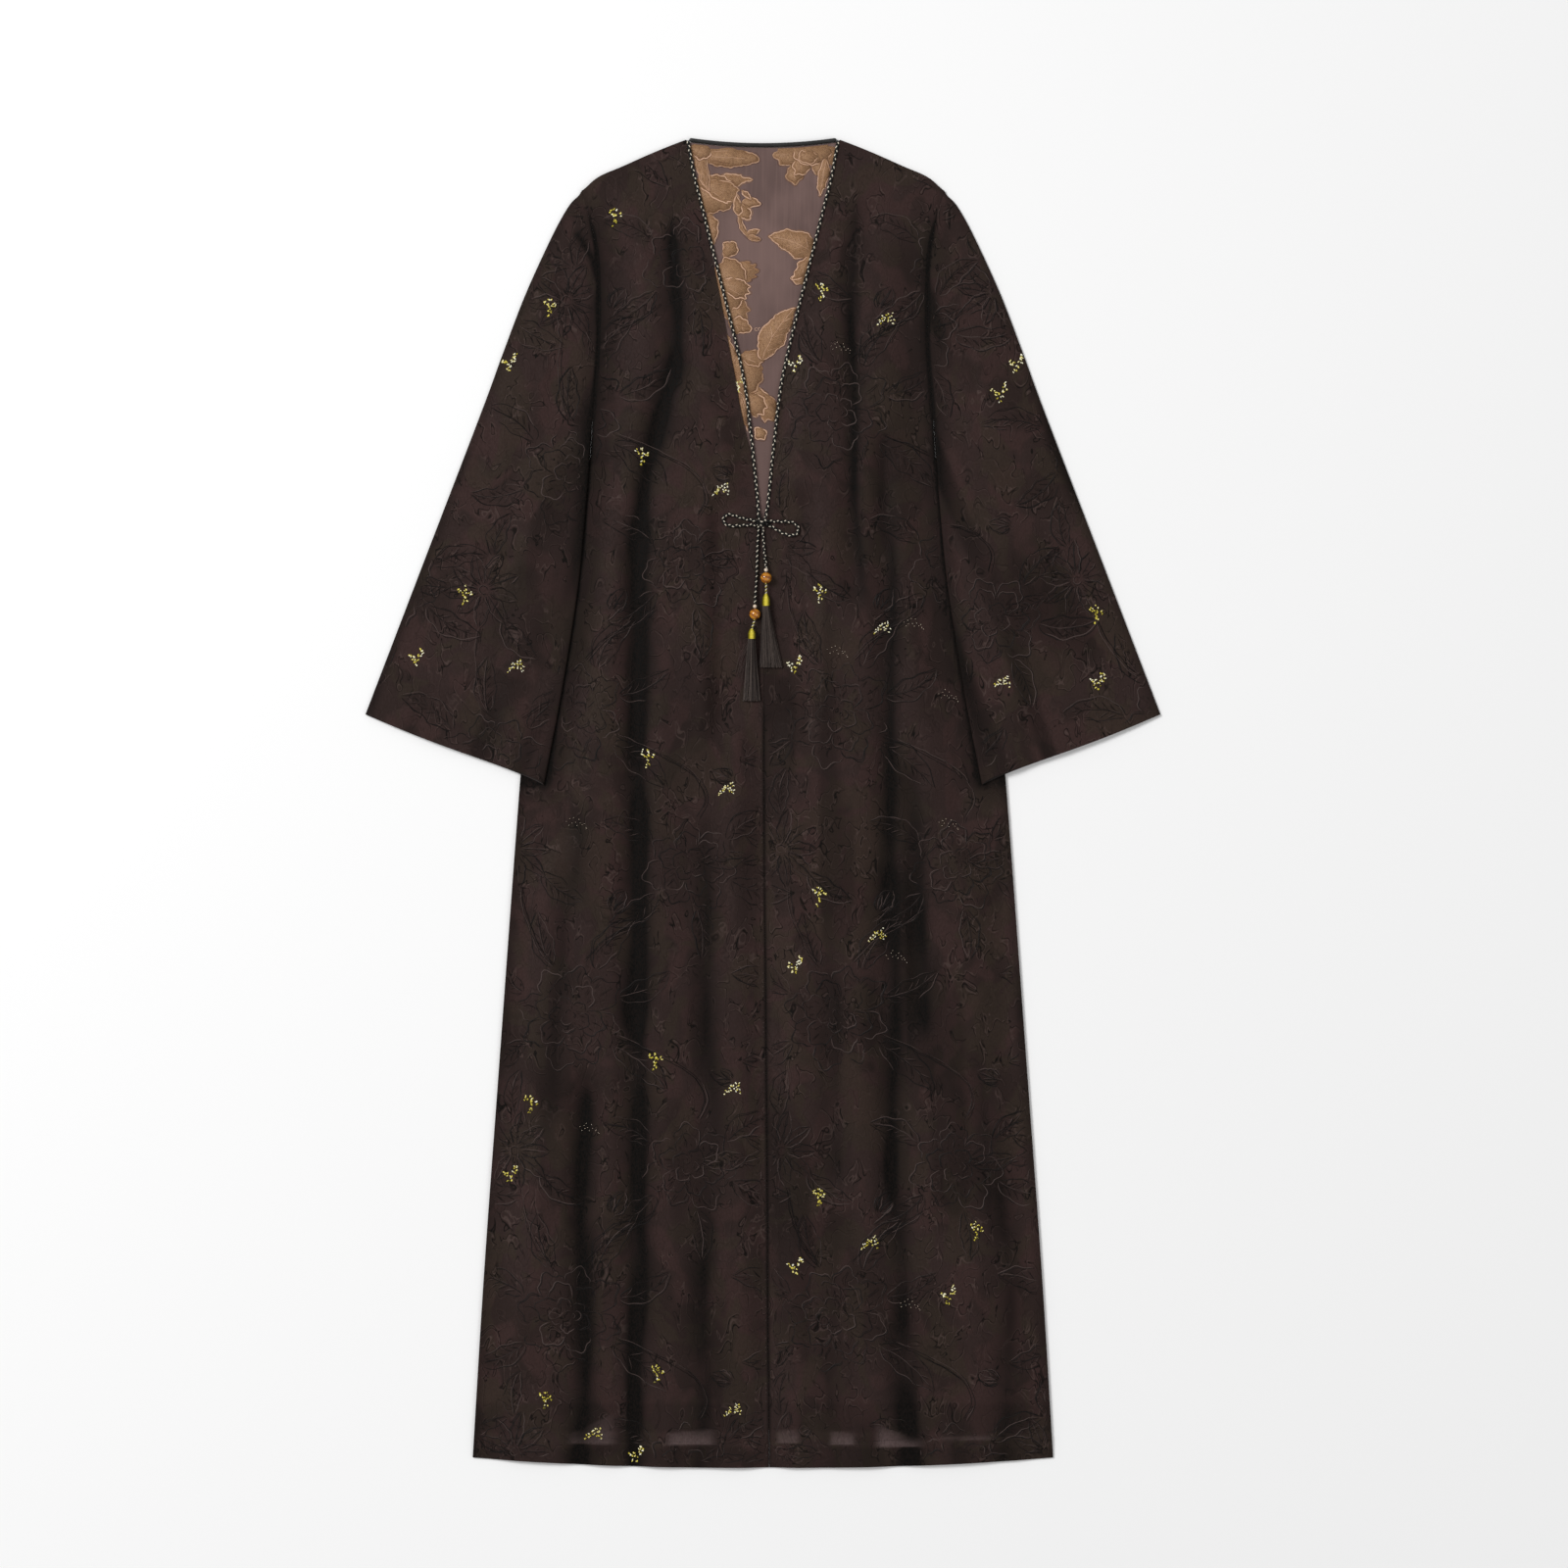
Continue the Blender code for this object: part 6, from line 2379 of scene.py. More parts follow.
def leaf(length: float, width: float, curl: float = 0.5, veins: int = 5) -> Figure:
    """Draw a leaf that grows to the right from its stalk.

    Args:
        length: From stalk to tip.
        width: At its widest.
        curl: How much it turns on its way, in radians.
        veins: Pairs of side veins.

    Returns:
        Its outline, rims, midrib and veins.
    """
    t = np.linspace(0.0, 1.0, 25)
    heading = curl * (t - 0.35)
    steps = np.stack([np.cos(heading), np.sin(heading)], axis=1) * length / 24.0
    rib = np.vstack([[0.0, 0.0], np.cumsum(steps[1:], axis=0)])
    normal = np.stack([-np.sin(heading), np.cos(heading)], axis=1)
    swell = np.sin(np.pi * t ** 0.8) ** 0.85 * width / 2.0
    wavy = 1.0 + 0.10 * np.sin(t * 19.0) * (t > 0.1)
    right = rib + normal * (swell * wavy)[:, None]
    left = rib - normal * (swell * (1.0 + 0.10 * np.sin(t * 17.0 + 1.7)))[:, None]
    strokes = [Stroke(right, 0.75), Stroke(left, 0.35), Stroke(rib[:-1], 0.55)]
    for number in range(veins):
        start = 0.14 + 0.66 * number / veins
        for rim, tone in ((right, 0.3), (left, 0.7)):
            root = int(start * 24)
            tip = min(24, root + 4)
            inner, outer = rib[root], rib[tip] + 0.82 * (rim[tip] - rib[tip])
            bend = 0.5 * (inner + outer) + 0.10 * (rib[tip] - rib[root])
            strokes.append(Stroke(smooth_line([inner, bend, outer], 4), tone, 0.55))
    return Figure([np.vstack([right, left[::-1]])], strokes)


def petal(reach: float, half_angle: float, angle: float, waves: int = 3) -> np.ndarray:
    """Draw a scalloped petal from the middle of a flower.

    Args:
        reach: From the middle to its rim.
        half_angle: Half the angle that it takes up, in radians.
        angle: Where it points, in radians.
        waves: Scallops on its rim.

    Returns:
        Its rim's points.
    """
    spread = np.linspace(-1.0, 1.0, 27)
    radius = reach * (1.0 - 0.5 * np.abs(spread) ** 2.2)
    radius *= 1.0 + 0.06 * np.cos(waves * np.pi * spread)
    turn = angle + half_angle * spread * (1.0 - 0.15 * np.abs(spread) ** 3)
    return np.stack([radius * np.cos(turn), radius * np.sin(turn)], axis=1)


def peony(radius: float, rings: tuple, seed: int, crinkles: int = 5) -> Figure:
    """Draw a full flower of overlapping rings of petals.

    Args:
        radius: Of the whole flower.
        rings: For each ring, inner one first, its petals, share of the radius and half angle.
        seed: Makes its unevenness repeat.
        crinkles: Lines along each petal.

    Returns:
        Its petals, with what lies under others left out.
    """
    rng = np.random.default_rng(seed)
    figure = Figure()
    for count, share, half_angle in rings:
        first = rng.uniform(0.0, 2.0 * np.pi)
        for number in range(count):
            angle = first + 2.0 * np.pi * (number + rng.uniform(-0.12, 0.12)) / count
            reach = radius * share * rng.uniform(0.88, 1.06)
            rim = petal(reach, half_angle, angle)
            lines = [(rim, rng.uniform(0.35, 0.95), 0.75)]
            for across in np.linspace(-0.55, 0.55, crinkles):
                first_run, last_run = rng.uniform(0.45, 0.7), rng.uniform(0.78, 0.95)
                run = np.linspace(first_run, last_run, 7)[:, None]
                tip = rim[int(13 + across * 20)]
                sway = 0.03 * reach * np.sin(run * 19.0 + number + 3.0 * across)
                lines.append((tip * run + sway * tip[::-1] / reach, rng.uniform(0.0, 0.75), 0.5))
            for points, tone, half_width in lines:
                points = resample(points, 2.0)
                hidden = np.zeros(len(points), bool)
                for outline in figure.outlines:
                    hidden |= inside(outline, points)
                for run in visible_runs(points, ~hidden):
                    figure.strokes.append(Stroke(run, tone, half_width))
            figure.outlines.append(np.vstack([rim, [[0.0, 0.0]]]))
    heart = [Stroke(petal(radius * 0.10 * (1 + number % 2), 0.9, 2.1 * number), 0.8, 0.6)
             for number in range(4)]
    return Figure(figure.outlines, figure.strokes + heart)


def visible_runs(points: np.ndarray, shown: np.ndarray, shortest: int = 3) -> list[np.ndarray]:
    """Cut a line into the stretches that show.

    Args:
        points: The line.
        shown: Whether each point shows.
        shortest: Fewest points of a stretch worth keeping.

    Returns:
        The stretches.
    """
    edges = np.flatnonzero(np.diff(np.concatenate([[False], shown, [False]]).astype(int)))
    return [points[start:end] for start, end in edges.reshape(-1, 2) if end - start >= shortest]


def star_flower(radius: float, petals: int) -> Figure:
    """Draw a flower of narrow pointed petals.

    Args:
        radius: Of the whole flower.
        petals: How many it has.

    Returns:
        The flower.
    """
    flower = Figure()
    for number in range(petals):
        blade = leaf(radius * (0.86, 1.0, 0.92)[number % 3], radius * 0.36, 0.25, veins=2)
        turn = 360.0 * number / petals
        away = radius * 0.14
        flower = flower.joined(blade.moved(
            away * np.cos(np.radians(turn)), away * np.sin(np.radians(turn)), turn))
    circle = np.linspace(0.0, 2.0 * np.pi, 16)
    ring = radius * 0.12 * np.stack([np.cos(circle), np.sin(circle)], axis=1)
    return Figure(flower.outlines, flower.strokes + [Stroke(ring, 0.9, 0.6)])


def bud(length: float) -> Figure:
    """Draw a bud on its calyx: three folded petals that point right.

    Args:
        length: From calyx to tip.

    Returns:
        The bud.
    """
    shell = leaf(length, length * 0.62, 0.1, veins=1)
    left = leaf(length * 0.75, length * 0.30, 0.9, veins=0).moved(0.0, -1.0, -24.0)
    right = leaf(length * 0.72, length * 0.30, -0.9, veins=0).moved(0.0, 1.0, 24.0)
    return shell.joined(left).joined(right)


def stem(marks: Marks, gap: float = 2.6) -> Figure:
    """Draw a stem as two lines side by side.

    Args:
        marks: Points that it runs through.
        gap: Between its lines.

    Returns:
        The stem.
    """
    line = resample(smooth_line(marks, 8), 3.0)
    reach = sideways_from(line) * gap / 2.0
    return Figure([], [Stroke(line + reach, 0.7, 0.6), Stroke(line - reach, 0.3, 0.6)])


@dataclass
class ClothDesign:
    """The repeat that is woven into the organza: peonies, a star flower, buds and leaves."""

    repeat: Spot = (272.0, 307.0)
    large_rings: tuple = ((5, 0.36, 0.80), (6, 0.66, 0.66), (8, 1.0, 0.52))
    small_rings: tuple = ((4, 0.38, 0.95), (6, 0.70, 0.66), (7, 1.0, 0.58))
    crinkle: float = 0.5
    crinkle_pitch: float = 8.0

    def one_repeat(self) -> Figure:
        """Lay one repeat's flowers, leaves, buds and stems.

        Returns:
            All of them as one figure.
        """
        whole = peony(56.0, self.large_rings, 3).moved(75.0, 281.0)
        whole = whole.joined(peony(47.0, self.small_rings, 8).moved(197.0, 128.0))
        whole = whole.joined(star_flower(38.0, 9).moved(18.0, 112.0))
        whole = whole.joined(bud(27.0).moved(118.0, 176.0, -60.0)).joined(
            bud(24.0).moved(240.0, 40.0, 200.0))
        groups = (
            ((75.0, 281.0), 53.0, (68.0, 62.0, 74.0, 58.0, 66.0, 60.0), (-60, -20, 35, 150, 205, 250)),
            ((197.0, 128.0), 45.0, (58.0, 66.0, 54.0, 62.0, 57.0), (-35, 20, 80, 140, 210)),
            ((18.0, 112.0), 36.0, (50.0, 56.0, 48.0), (-90, 40, 170)),
        )
        for (x, drop), away, lengths, turns in groups:
            for number, (length, turn) in enumerate(zip(lengths, turns)):
                blade = leaf(length, length * 0.36, (0.9, -0.8, 0.5)[number % 3])
                whole = whole.joined(blade.moved(
                    x + away * np.cos(np.radians(turn)), drop + away * np.sin(np.radians(turn)), turn))
        stems = (
            ((90.0, 228.0), (112.0, 205.0), (140.0, 190.0), (165.0, 172.0)),
            ((205.0, 82.0), (214.0, 60.0), (200.0, 35.0), (160.0, 12.0), (120.0, -5.0)),
            ((25.0, 148.0), (30.0, 180.0), (45.0, 215.0), (60.0, 232.0)),
        )
        for marks in stems:
            whole = whole.joined(stem(marks))
        return whole

    def over(self, low: Spot, high: Spot, turn: float = 0.0, pivot: Spot = (0.0, 0.0)) -> Figure:
        """Repeat the design over an area, turned about a point.

        Args:
            low: Lowest x and drop of the area.
            high: Highest x and drop.
            turn: Angle in degrees.
            pivot: The point that stays.

        Returns:
            All figures whose middle may reach the area.
        """
        one = self.one_repeat()
        reach = max(self.repeat)
        whole = Figure()
        for column in range(-6, 7):
            for row in range(-5, 7):
                shift = np.array([column * self.repeat[0], row * self.repeat[1]])
                middle = Figure([], [Stroke((shift + np.array(self.repeat) / 2.0)[None])]).moved(
                    *pivot, turn).strokes[0].points[0]
                if all(a - reach < m < b + reach for a, m, b in zip(low, middle, high)):
                    whole = whole.joined(one.moved(*shift).moved(*pivot, turn))
        return whole

    def mask(self, figure: Figure, x: np.ndarray, drop: np.ndarray) -> np.ndarray:
        """Say which places lie in a filled figure.

        Args:
            figure: The figures.
            x: Places to the right of the centre line.
            drop: Places down from the neck points.

        Returns:
            1 inside and 0 outside.
        """
        filled = np.zeros(len(x))
        spots = np.stack([x, drop], axis=1)
        for outline in figure.outlines:
            near = np.all((spots >= outline.min(axis=0)) & (spots <= outline.max(axis=0)), axis=1)
            if near.any():
                filled[near] = np.maximum(filled[near], inside(outline, spots[near]))
        return filled


class ReliefLines:
    """Raised lines laid on cloth: three-sided strips that taper at both ends."""

    def __init__(self, surface: Surface, seed: int, step: float, rise: float = 0.42,
                 sunk: float = 0.25) -> None:
        """Remember what the lines lie on and how they are made.

        Args:
            surface: The cloth.
            seed: Makes their unevenness repeat.
            step: Length of one segment.
            rise: How high they stand.
            sunk: How deep their base lies in the cloth.
        """
        self.surface = surface
        self.rng = np.random.default_rng(seed)
        self.step = step
        self.rise = rise
        self.sunk = sunk
        self.lines: list[np.ndarray] = []
        self.tones: list[float] = []
        self.half_widths: list[float] = []

    def add(self, stroke: Stroke, allowed: WhereAllowed, crinkle: float, pitch: float,
            worn: float = 0.0) -> None:
        """Add the stretches of a stroke that lie where lines are allowed.

        Args:
            stroke: The line.
            allowed: Says for x and drop whether a line may lie there.
            crinkle: How far it strays to each side.
            pitch: Length of one stray.
            worn: Share of its length that is left out.
        """
        points = resample(stroke.points, self.step)
        knots = self.rng.normal(0.0, crinkle, len(points) + 8)
        along = np.arange(len(points)) * self.step / pitch
        before = np.minimum(along.astype(int), len(knots) - 2)
        stray = knots[before] + smooth_step(along - before) * (knots[before + 1] - knots[before])
        points = points + sideways_from(points) * stray[:, None]
        shown = allowed(points[:, 0], points[:, 1])
        if worn:
            breaks = self.rng.uniform(size=len(points) // 4 + 2)
            shown = shown & (np.repeat(breaks, 4)[:len(points)] > worn)
        for run in visible_runs(points, shown):
            self.lines.append(run)
            self.tones.append(float(np.clip(stroke.tone + self.rng.normal(0.0, 0.18), 0.0, 1.0)))
            self.half_widths.append(stroke.half_width * self.rng.uniform(0.75, 1.1))

    def gather(self) -> Bits:
        """Settle all lines on the cloth and build their strips.

        Returns:
            The strips.
        """
        bits = Bits()
        sections = []
        for line, half_width in zip(self.lines, self.half_widths):
            reach = sideways_from(line) * half_width * self.taper(len(line))[:, None]
            sections.append(np.stack([line - reach, line, line + reach], axis=1))
        spots = np.vstack(sections).reshape(-1, 2)
        levels = self.surface.heights(spots[:, 0], spots[:, 1]).reshape(-1, 3)
        start = 0
        for section, tone in zip(sections, self.tones):
            level = levels[start:start + len(section)]
            start += len(section)
            if np.isnan(level).any():
                continue
            taper = self.taper(len(section))
            height = level - self.sunk
            height[:, 1] = level[:, 1] + (self.rise * (0.4 + 0.6 * taper) * (taper > 0)
                                          - self.sunk * (taper == 0))
            bits.add(*strip(section, height), tone=tone)
        return bits

    def taper(self, count: int) -> np.ndarray:
        """Say how full a line is at each of its points: 1, and 0 at both ends."""
        run = np.linspace(0.0, 1.0, count)
        return np.clip(np.minimum(run, 1.0 - run) * count / 2.0, 0.0, 1.0)


def strip(section: np.ndarray, height: np.ndarray) -> tuple[np.ndarray, list[np.ndarray]]:
    """Build one closed three-sided strip with pointed ends.

    Args:
        section: For each station its left, middle and right spot.
        height: Their heights.

    Returns:
        Its vertices, and its faces by number of corners.
    """
    solid = np.concatenate([section, height[:, :, None]], axis=2)
    inner = solid[1:-1].reshape(-1, 3)
    points = np.vstack([inner, solid[0, 1], solid[-1, 1]])
    stations = len(solid) - 2
    here = np.arange(3)
    after = (here + 1) % 3
    start = (np.arange(stations - 1) * 3)[:, None]
    quads = np.stack([start + here, start + after, start + 3 + after, start + 3 + here],
                     axis=-1).reshape(-1, 4)
    first, last = len(inner), len(inner) + 1
    end = 3 * (stations - 1)
    fans = np.vstack([np.stack([here, after, np.full(3, first)], axis=1),
                      np.stack([end + here, end + after, np.full(3, last)], axis=1)])
    return points, [quads, fans] if len(quads) else [fans]


def shoulder_drop(half: np.ndarray) -> np.ndarray:
    """Read the straight line from the neck point to the shoulder tip, just inside the seam."""
    return np.interp(half, (NECK_HALF, SIDE_LINE[0][0]), (3.0, SIDE_LINE[0][1]))


def hem_drop(half: np.ndarray) -> np.ndarray:
    """Read the straight line between the ends of a front's hem, just inside it."""
    return np.interp(half, (0.0, SIDE_SEAM[-1][0]), (LENGTH, SIDE_SEAM[-1][1]))


@dataclass
class PanelFigures:
    """Raised lines of the woven figures on one piece of the outer cloth."""

    side: int
    cloth: bpy.types.Object
    design: ClothDesign = field(default_factory=ClothDesign)
    low: Spot = (0.0, 20.0)
    high: Spot = (280.0, 1360.0)
    turn: float = 0.0
    pivot: Spot = (0.0, 0.0)
    worn: float = 0.12
    spacing: float = 3.0
    shadow_shift: Spot = (1.0, 1.0)

    def allowed(self, x: np.ndarray, drop: np.ndarray) -> np.ndarray:
        """Say where a line may lie."""
        raise NotImplementedError

    def figure(self) -> Figure:
        """Lay the repeats that reach this piece.

        Returns:
            Their figures, as they lie.
        """
        ends = sorted((self.side * self.low[0], self.side * self.high[0]))
        return self.design.over((ends[0], self.low[1]), (ends[1], self.high[1]),
                                self.side * self.turn, (self.side * self.pivot[0], self.pivot[1]))

    def build(self, figure: Figure) -> bpy.types.Object:
        """Raise the figure's lines on the cloth, each with a darker one beside it as its painted shadow.

        Args:
            figure: The repeats, as they lie.

        Returns:
            The new piece.
        """
        lines = ReliefLines(Surface(self.cloth), 60 + self.side, self.spacing)
        for stroke in figure.strokes:
            near = self.allowed(stroke.points[:, 0], stroke.points[:, 1])
            if near.any():
                lines.add(stroke, self.allowed, self.design.crinkle, self.design.crinkle_pitch, self.worn)
                # a dark line set down and to the right of each line, as its painted shadow
                shadow = Stroke(stroke.points + self.shadow_shift, 0.0, stroke.half_width * 0.9)
                lines.add(shadow, self.allowed, self.design.crinkle, self.design.crinkle_pitch, self.worn)
        made = lines.gather().piece(self.cloth.name.replace("_cloth", "_figure_lines"), FIGURE_THREAD)
        return finish_piece(made)


@dataclass
class FrontFigures(PanelFigures):
    """Raised figure lines of a front, where it shows."""

    def allowed(self, x: np.ndarray, drop: np.ndarray) -> np.ndarray:
        """Keep off the edges, the sleeve and the tie.

        Args:
            x: Places to the right of the centre line.
            drop: Places down from the neck points.

        Returns:
            Whether a line may lie at each place.
        """
        half = np.abs(x)
        outer = np.where(drop < CUFF_DROP, sleeve_edge(drop), half_at(SIDE_LINE, drop))
        free = (self.side * (x - front_edge_x(self.side, drop)) > 3.2) & (half < outer - 3.2)
        free &= (drop > shoulder_drop(half) + 4.0) & (drop < hem_drop(half) - 3.5)
        for left, right, top, bottom in (UNDER_TIE, UNDER_BOW):
            free &= ~((x > left) & (x < right) & (drop > top) & (drop < bottom))
        sheer = sum(patch.share(x, drop) for patch in SHEER_PATCHES) > 0.15
        return free & ~sheer


@dataclass
class SleeveFigures(PanelFigures):
    """Raised figure lines on the upper layer of a sleeve."""

    low: Spot = (165.0, 40.0)
    high: Spot = (410.0, 670.0)
    turn: float = -16.0
    pivot: Spot = (187.0, 54.0)

    def allowed(self, x: np.ndarray, drop: np.ndarray) -> np.ndarray:
        """Keep off the armhole seam, both folds and the cuff.

        Args:
            x: Places to the right of the centre line.
            drop: Places down from the neck points.

        Returns:
            Whether a line may lie at each place.
        """
        half = np.abs(x)
        inner = sleeve_edge(drop) + np.where(drop > SLEEVE_INNER[0][1], 4.5, 2.5)
        ends = (INNER_LINE[-1], OUTER_LINE[-1])
        cuff = np.interp(half, [end[0] for end in ends], [end[1] for end in ends])
        return (self.side * x > inner) & (half < half_at(OUTER_LINE, drop) - 4.5) & (
            drop > 66.0) & (drop < cuff - 3.5)


def turned_loop(outline: np.ndarray, away: float) -> np.ndarray:
    """Set a closed outline outwards.

    Args:
        outline: Its corners.
        away: Distance outwards.

    Returns:
        The new outline, closed.
    """
    ahead = np.roll(outline, -1, axis=0) - np.roll(outline, 1, axis=0)
    normal = np.stack([ahead[:, 1], -ahead[:, 0]], axis=1)
    normal /= np.linalg.norm(normal, axis=1, keepdims=True) + 1e-9
    turn = np.sum(outline[:, 0] * np.roll(outline[:, 1], -1) - outline[:, 1] * np.roll(outline[:, 0], -1))
    moved = outline + np.sign(turn) * away * normal
    return np.vstack([moved, moved[:1]])


def lobed(x: float, drop: float, across: float, down: float, lobes: int, depth: float,
          first: float = 0.0) -> np.ndarray:
    """Draw a rounded outline with scallops.

    Args:
        x: Its middle.
        drop: Its middle, downwards.
        across: Its width.
        down: Its height.
        lobes: How many scallops it has.
        depth: How deep they are, as a share of its radius.
        first: Where the first one is, in radians.

    Returns:
        Its corners.
    """
    angle = np.linspace(0.0, 2.0 * np.pi, 12 * lobes, endpoint=False)
    swell = 1.0 - depth + depth * np.abs(np.cos(lobes * (angle - first) / 2.0)) ** 0.7
    return np.stack([x + across / 2.0 * swell * np.cos(angle),
                     drop + down / 2.0 * swell * np.sin(angle)], axis=1)


@dataclass
class NeckFigures:
    """Tan figures of the back's wrong side, where the neck opening shows them."""

    cloth: bpy.types.Object
    base: float = 1.0
    top: float = 1.38
    layer: float = 0.006
    hidden_reach: float = 9.0
    ruffle: float = 1.0
    stalk_half: float = 2.6
    cord_reach: float = 2.5
    last_drop: float = 312.0

    def figures(self) -> list[Figure]:
        """Draw every figure, from the lowest one to the uppermost.

        Returns:
            Figures with their outlines and inner lines.
        """
        return [*self.upper_flower(), *self.hanging_stalk(), *self.middle_flower(),
                *self.lower_leaves(), *self.right_side()]

    def petal_at(self, x: float, drop: float, reach: float, half_angle: float, angle: float,
                 waves: int = 3, lines: int = 3) -> Figure:
        """Draw one petal with lines that fan out from its root.

        Args:
            x: Its root.
            drop: Its root, downwards.
            reach: Its length.
            half_angle: Half the angle that it takes up, in degrees.
            angle: Where it points, in degrees from the viewer's right towards down.
            waves: Scallops on its rim.
            lines: Lines that fan out.

        Returns:
            The petal.
        """
        rim = petal(reach, np.radians(half_angle), 0.0, waves)
        strokes = []
        for across in np.linspace(-0.55, 0.55, lines):
            run = np.linspace(0.35, 0.86, 9)[:, None]
            tip = rim[int(13 + across * 22)]
            strokes.append(Stroke(tip * run * (1.0 + 0.02 * np.sin(run * 21.0)), 0.62, 0.4))
        return Figure([np.vstack([rim, [[0.0, 0.0]]])], strokes).moved(x, drop, angle)

    def leaf_at(self, x: float, drop: float, length: float, width: float, turn: float,
                curl: float = 0.4, veins: int = 4) -> Figure:
        """Draw one leaf by its stalk's place, with its inner lines only.

        Args:
            x: Its stalk.
            drop: Its stalk, downwards.
            length: From stalk to tip.
            width: At its widest.
            turn: Where it points, in degrees from the viewer's right towards down.
            curl: How much it bends, in radians.
            veins: Pairs of side veins.

        Returns:
            The leaf.
        """
        blade = leaf(length, width, curl, veins)
        inner = [Stroke(stroke.points, 0.66, 0.4) for stroke in blade.strokes[2:]]
        return Figure(blade.outlines, inner).moved(x, drop, turn)

    def upper_flower(self) -> list[Figure]:
        """Draw the flower at the upper left: broad petals round an upright one.

        Returns:
            Its figures, lowest one first.
        """
        return [
            self.leaf_at(-56.0, 74.0, 38.0, 12.0, 78.0, 0.5, 2),
            self.petal_at(-92.0, 18.0, 84.0, 13.0, 3.0, 2, 5),
            self.petal_at(-84.0, 46.0, 70.0, 10.0, -2.0, 3, 2),
            Figure([lobed(-52.0, 58.0, 52.0, 40.0, 9, 0.10, 0.2)], []),
            self.petal_at(-72.0, 44.0, 50.0, 24.0, 20.0, 6, 5),
            self.leaf_at(-66.0, 6.0, 52.0, 13.0, 80.0, -0.3, 3),
            self.petal_at(-78.0, 12.0, 24.0, 46.0, 8.0, 2, 2),
        ]

    def hanging_stalk(self) -> list[Figure]:
        """Draw the stalk below that flower, with small petals and a three-pointed end.

        Returns:
            Its figures, lowest one first.
        """
        line = resample(smooth_line([(-24.0, 74.0), (-23.0, 86.0), (-19.0, 96.0), (-12.0, 102.0)]), 2.0)
        reach = self.stalk_half * sideways_from(line)
        stalk = Figure([np.vstack([line + reach, (line - reach)[::-1]])], [Stroke(line, 0.8, 0.4)])
        return [
            stalk,
            self.leaf_at(-16.0, 99.0, 14.0, 6.5, -18.0, 0.2, 1),
            self.leaf_at(-16.0, 101.0, 15.0, 6.5, 16.0, -0.2, 1),
            self.leaf_at(-22.0, 66.0, 21.0, 11.0, 6.0, 0.0, 1),
            self.petal_at(-24.0, 66.0, 20.0, 34.0, 62.0, 3, 2),
            self.petal_at(-27.0, 58.0, 22.0, 24.0, 84.0, 2, 2),
            self.leaf_at(-21.0, 54.0, 14.0, 6.0, 48.0, 0.3, 1),
        ]

    def middle_flower(self) -> list[Figure]:
        """Draw the jagged flower against the left cord and the strip outside that cord.

        Returns:
            Their figures, lowest one first.
        """
        return [
            self.petal_at(-40.0, 126.0, 22.0, 40.0, -62.0, 3, 2),
            self.petal_at(-46.0, 160.0, 38.0, 38.0, 42.0, 5, 5),
            self.petal_at(-52.0, 140.0, 46.0, 26.0, -4.0, 7, 4),
            Figure([lobed(-34.0, 150.0, 36.0, 56.0, 9, 0.13, 0.3)], []),
            self.petal_at(-50.0, 146.0, 38.0, 30.0, 20.0, 6, 4),
            self.leaf_at(-40.0, 196.0, 108.0, 15.0, 76.0, 0.1, 5),
        ]

    def lower_leaves(self) -> list[Figure]:
        """Draw the small leaf, the long leaf on its stalk and the wavy piece below them.

        Returns:
            Their figures, lowest one first.
        """
        ring = np.linspace(0.0, 2.0 * np.pi, 14)
        links = [Stroke(np.stack([shift + 2.3 * np.cos(ring), 196.0 + 1.8 * np.sin(ring)], axis=1), 0.95, 0.5)
                 for shift in (-6.6, -2.6)]
        stalks = [Stroke(smooth_line([(-0.4, 195.0), (1.2, 206.0), (1.6, 218.0), (-1.6, 229.0)]), tone, 0.6)
                  for tone in (0.95, 0.7)]
        return [
            self.petal_at(-10.0, 250.0, 44.0, 28.0, 62.0, 5, 4),
            self.petal_at(-22.0, 256.0, 34.0, 34.0, 50.0, 5, 4),
            Figure([lobed(-17.0, 241.0, 35.0, 44.0, 8, 0.12, 0.3)], []),
            self.petal_at(-26.0, 222.0, 27.0, 36.0, 12.0, 4, 4),
            self.leaf_at(-36.0, 190.0, 26.0, 17.0, 12.0, 0.2, 3),
            Figure([], [*links, *stalks]),
            self.leaf_at(-1.0, 228.0, 66.0, 26.0, -62.0, 0.5, 5),
            self.petal_at(-8.0, 296.0, 15.0, 50.0, 50.0, 3, 2),
        ]

    def right_side(self) -> list[Figure]:
        """Draw the clustered flower at the upper right and the pieces along the right cord.

        Returns:
            Their figures, lowest one first.
        """
        flower = [self.petal_at(50.0, 16.0, reach, 36.0, angle, 4, 3)
                  for reach, angle in ((38.0, 176.0), (27.0, 128.0), (26.0, 62.0), (30.0, 10.0))]
        return [
            self.petal_at(30.0, 24.0, 24.0, 42.0, 82.0, 3, 3),
            *flower,
            Figure([lobed(50.0, 16.0, 40.0, 26.0, 9, 0.12)], []),
            Figure([lobed(46.0, 20.0, 20.0, 15.0, 5, 0.2)], []),
            self.leaf_at(64.0, 22.0, 40.0, 11.0, 98.0, 0.15, 2),
            self.leaf_at(58.0, 124.0, 58.0, 27.0, -150.0, -0.7, 5),
            Figure([lobed(37.0, 144.0, 17.0, 14.0, 6, 0.14)], []),
            self.leaf_at(50.0, 122.0, 32.0, 13.0, 128.0, 0.2, 2),
        ]

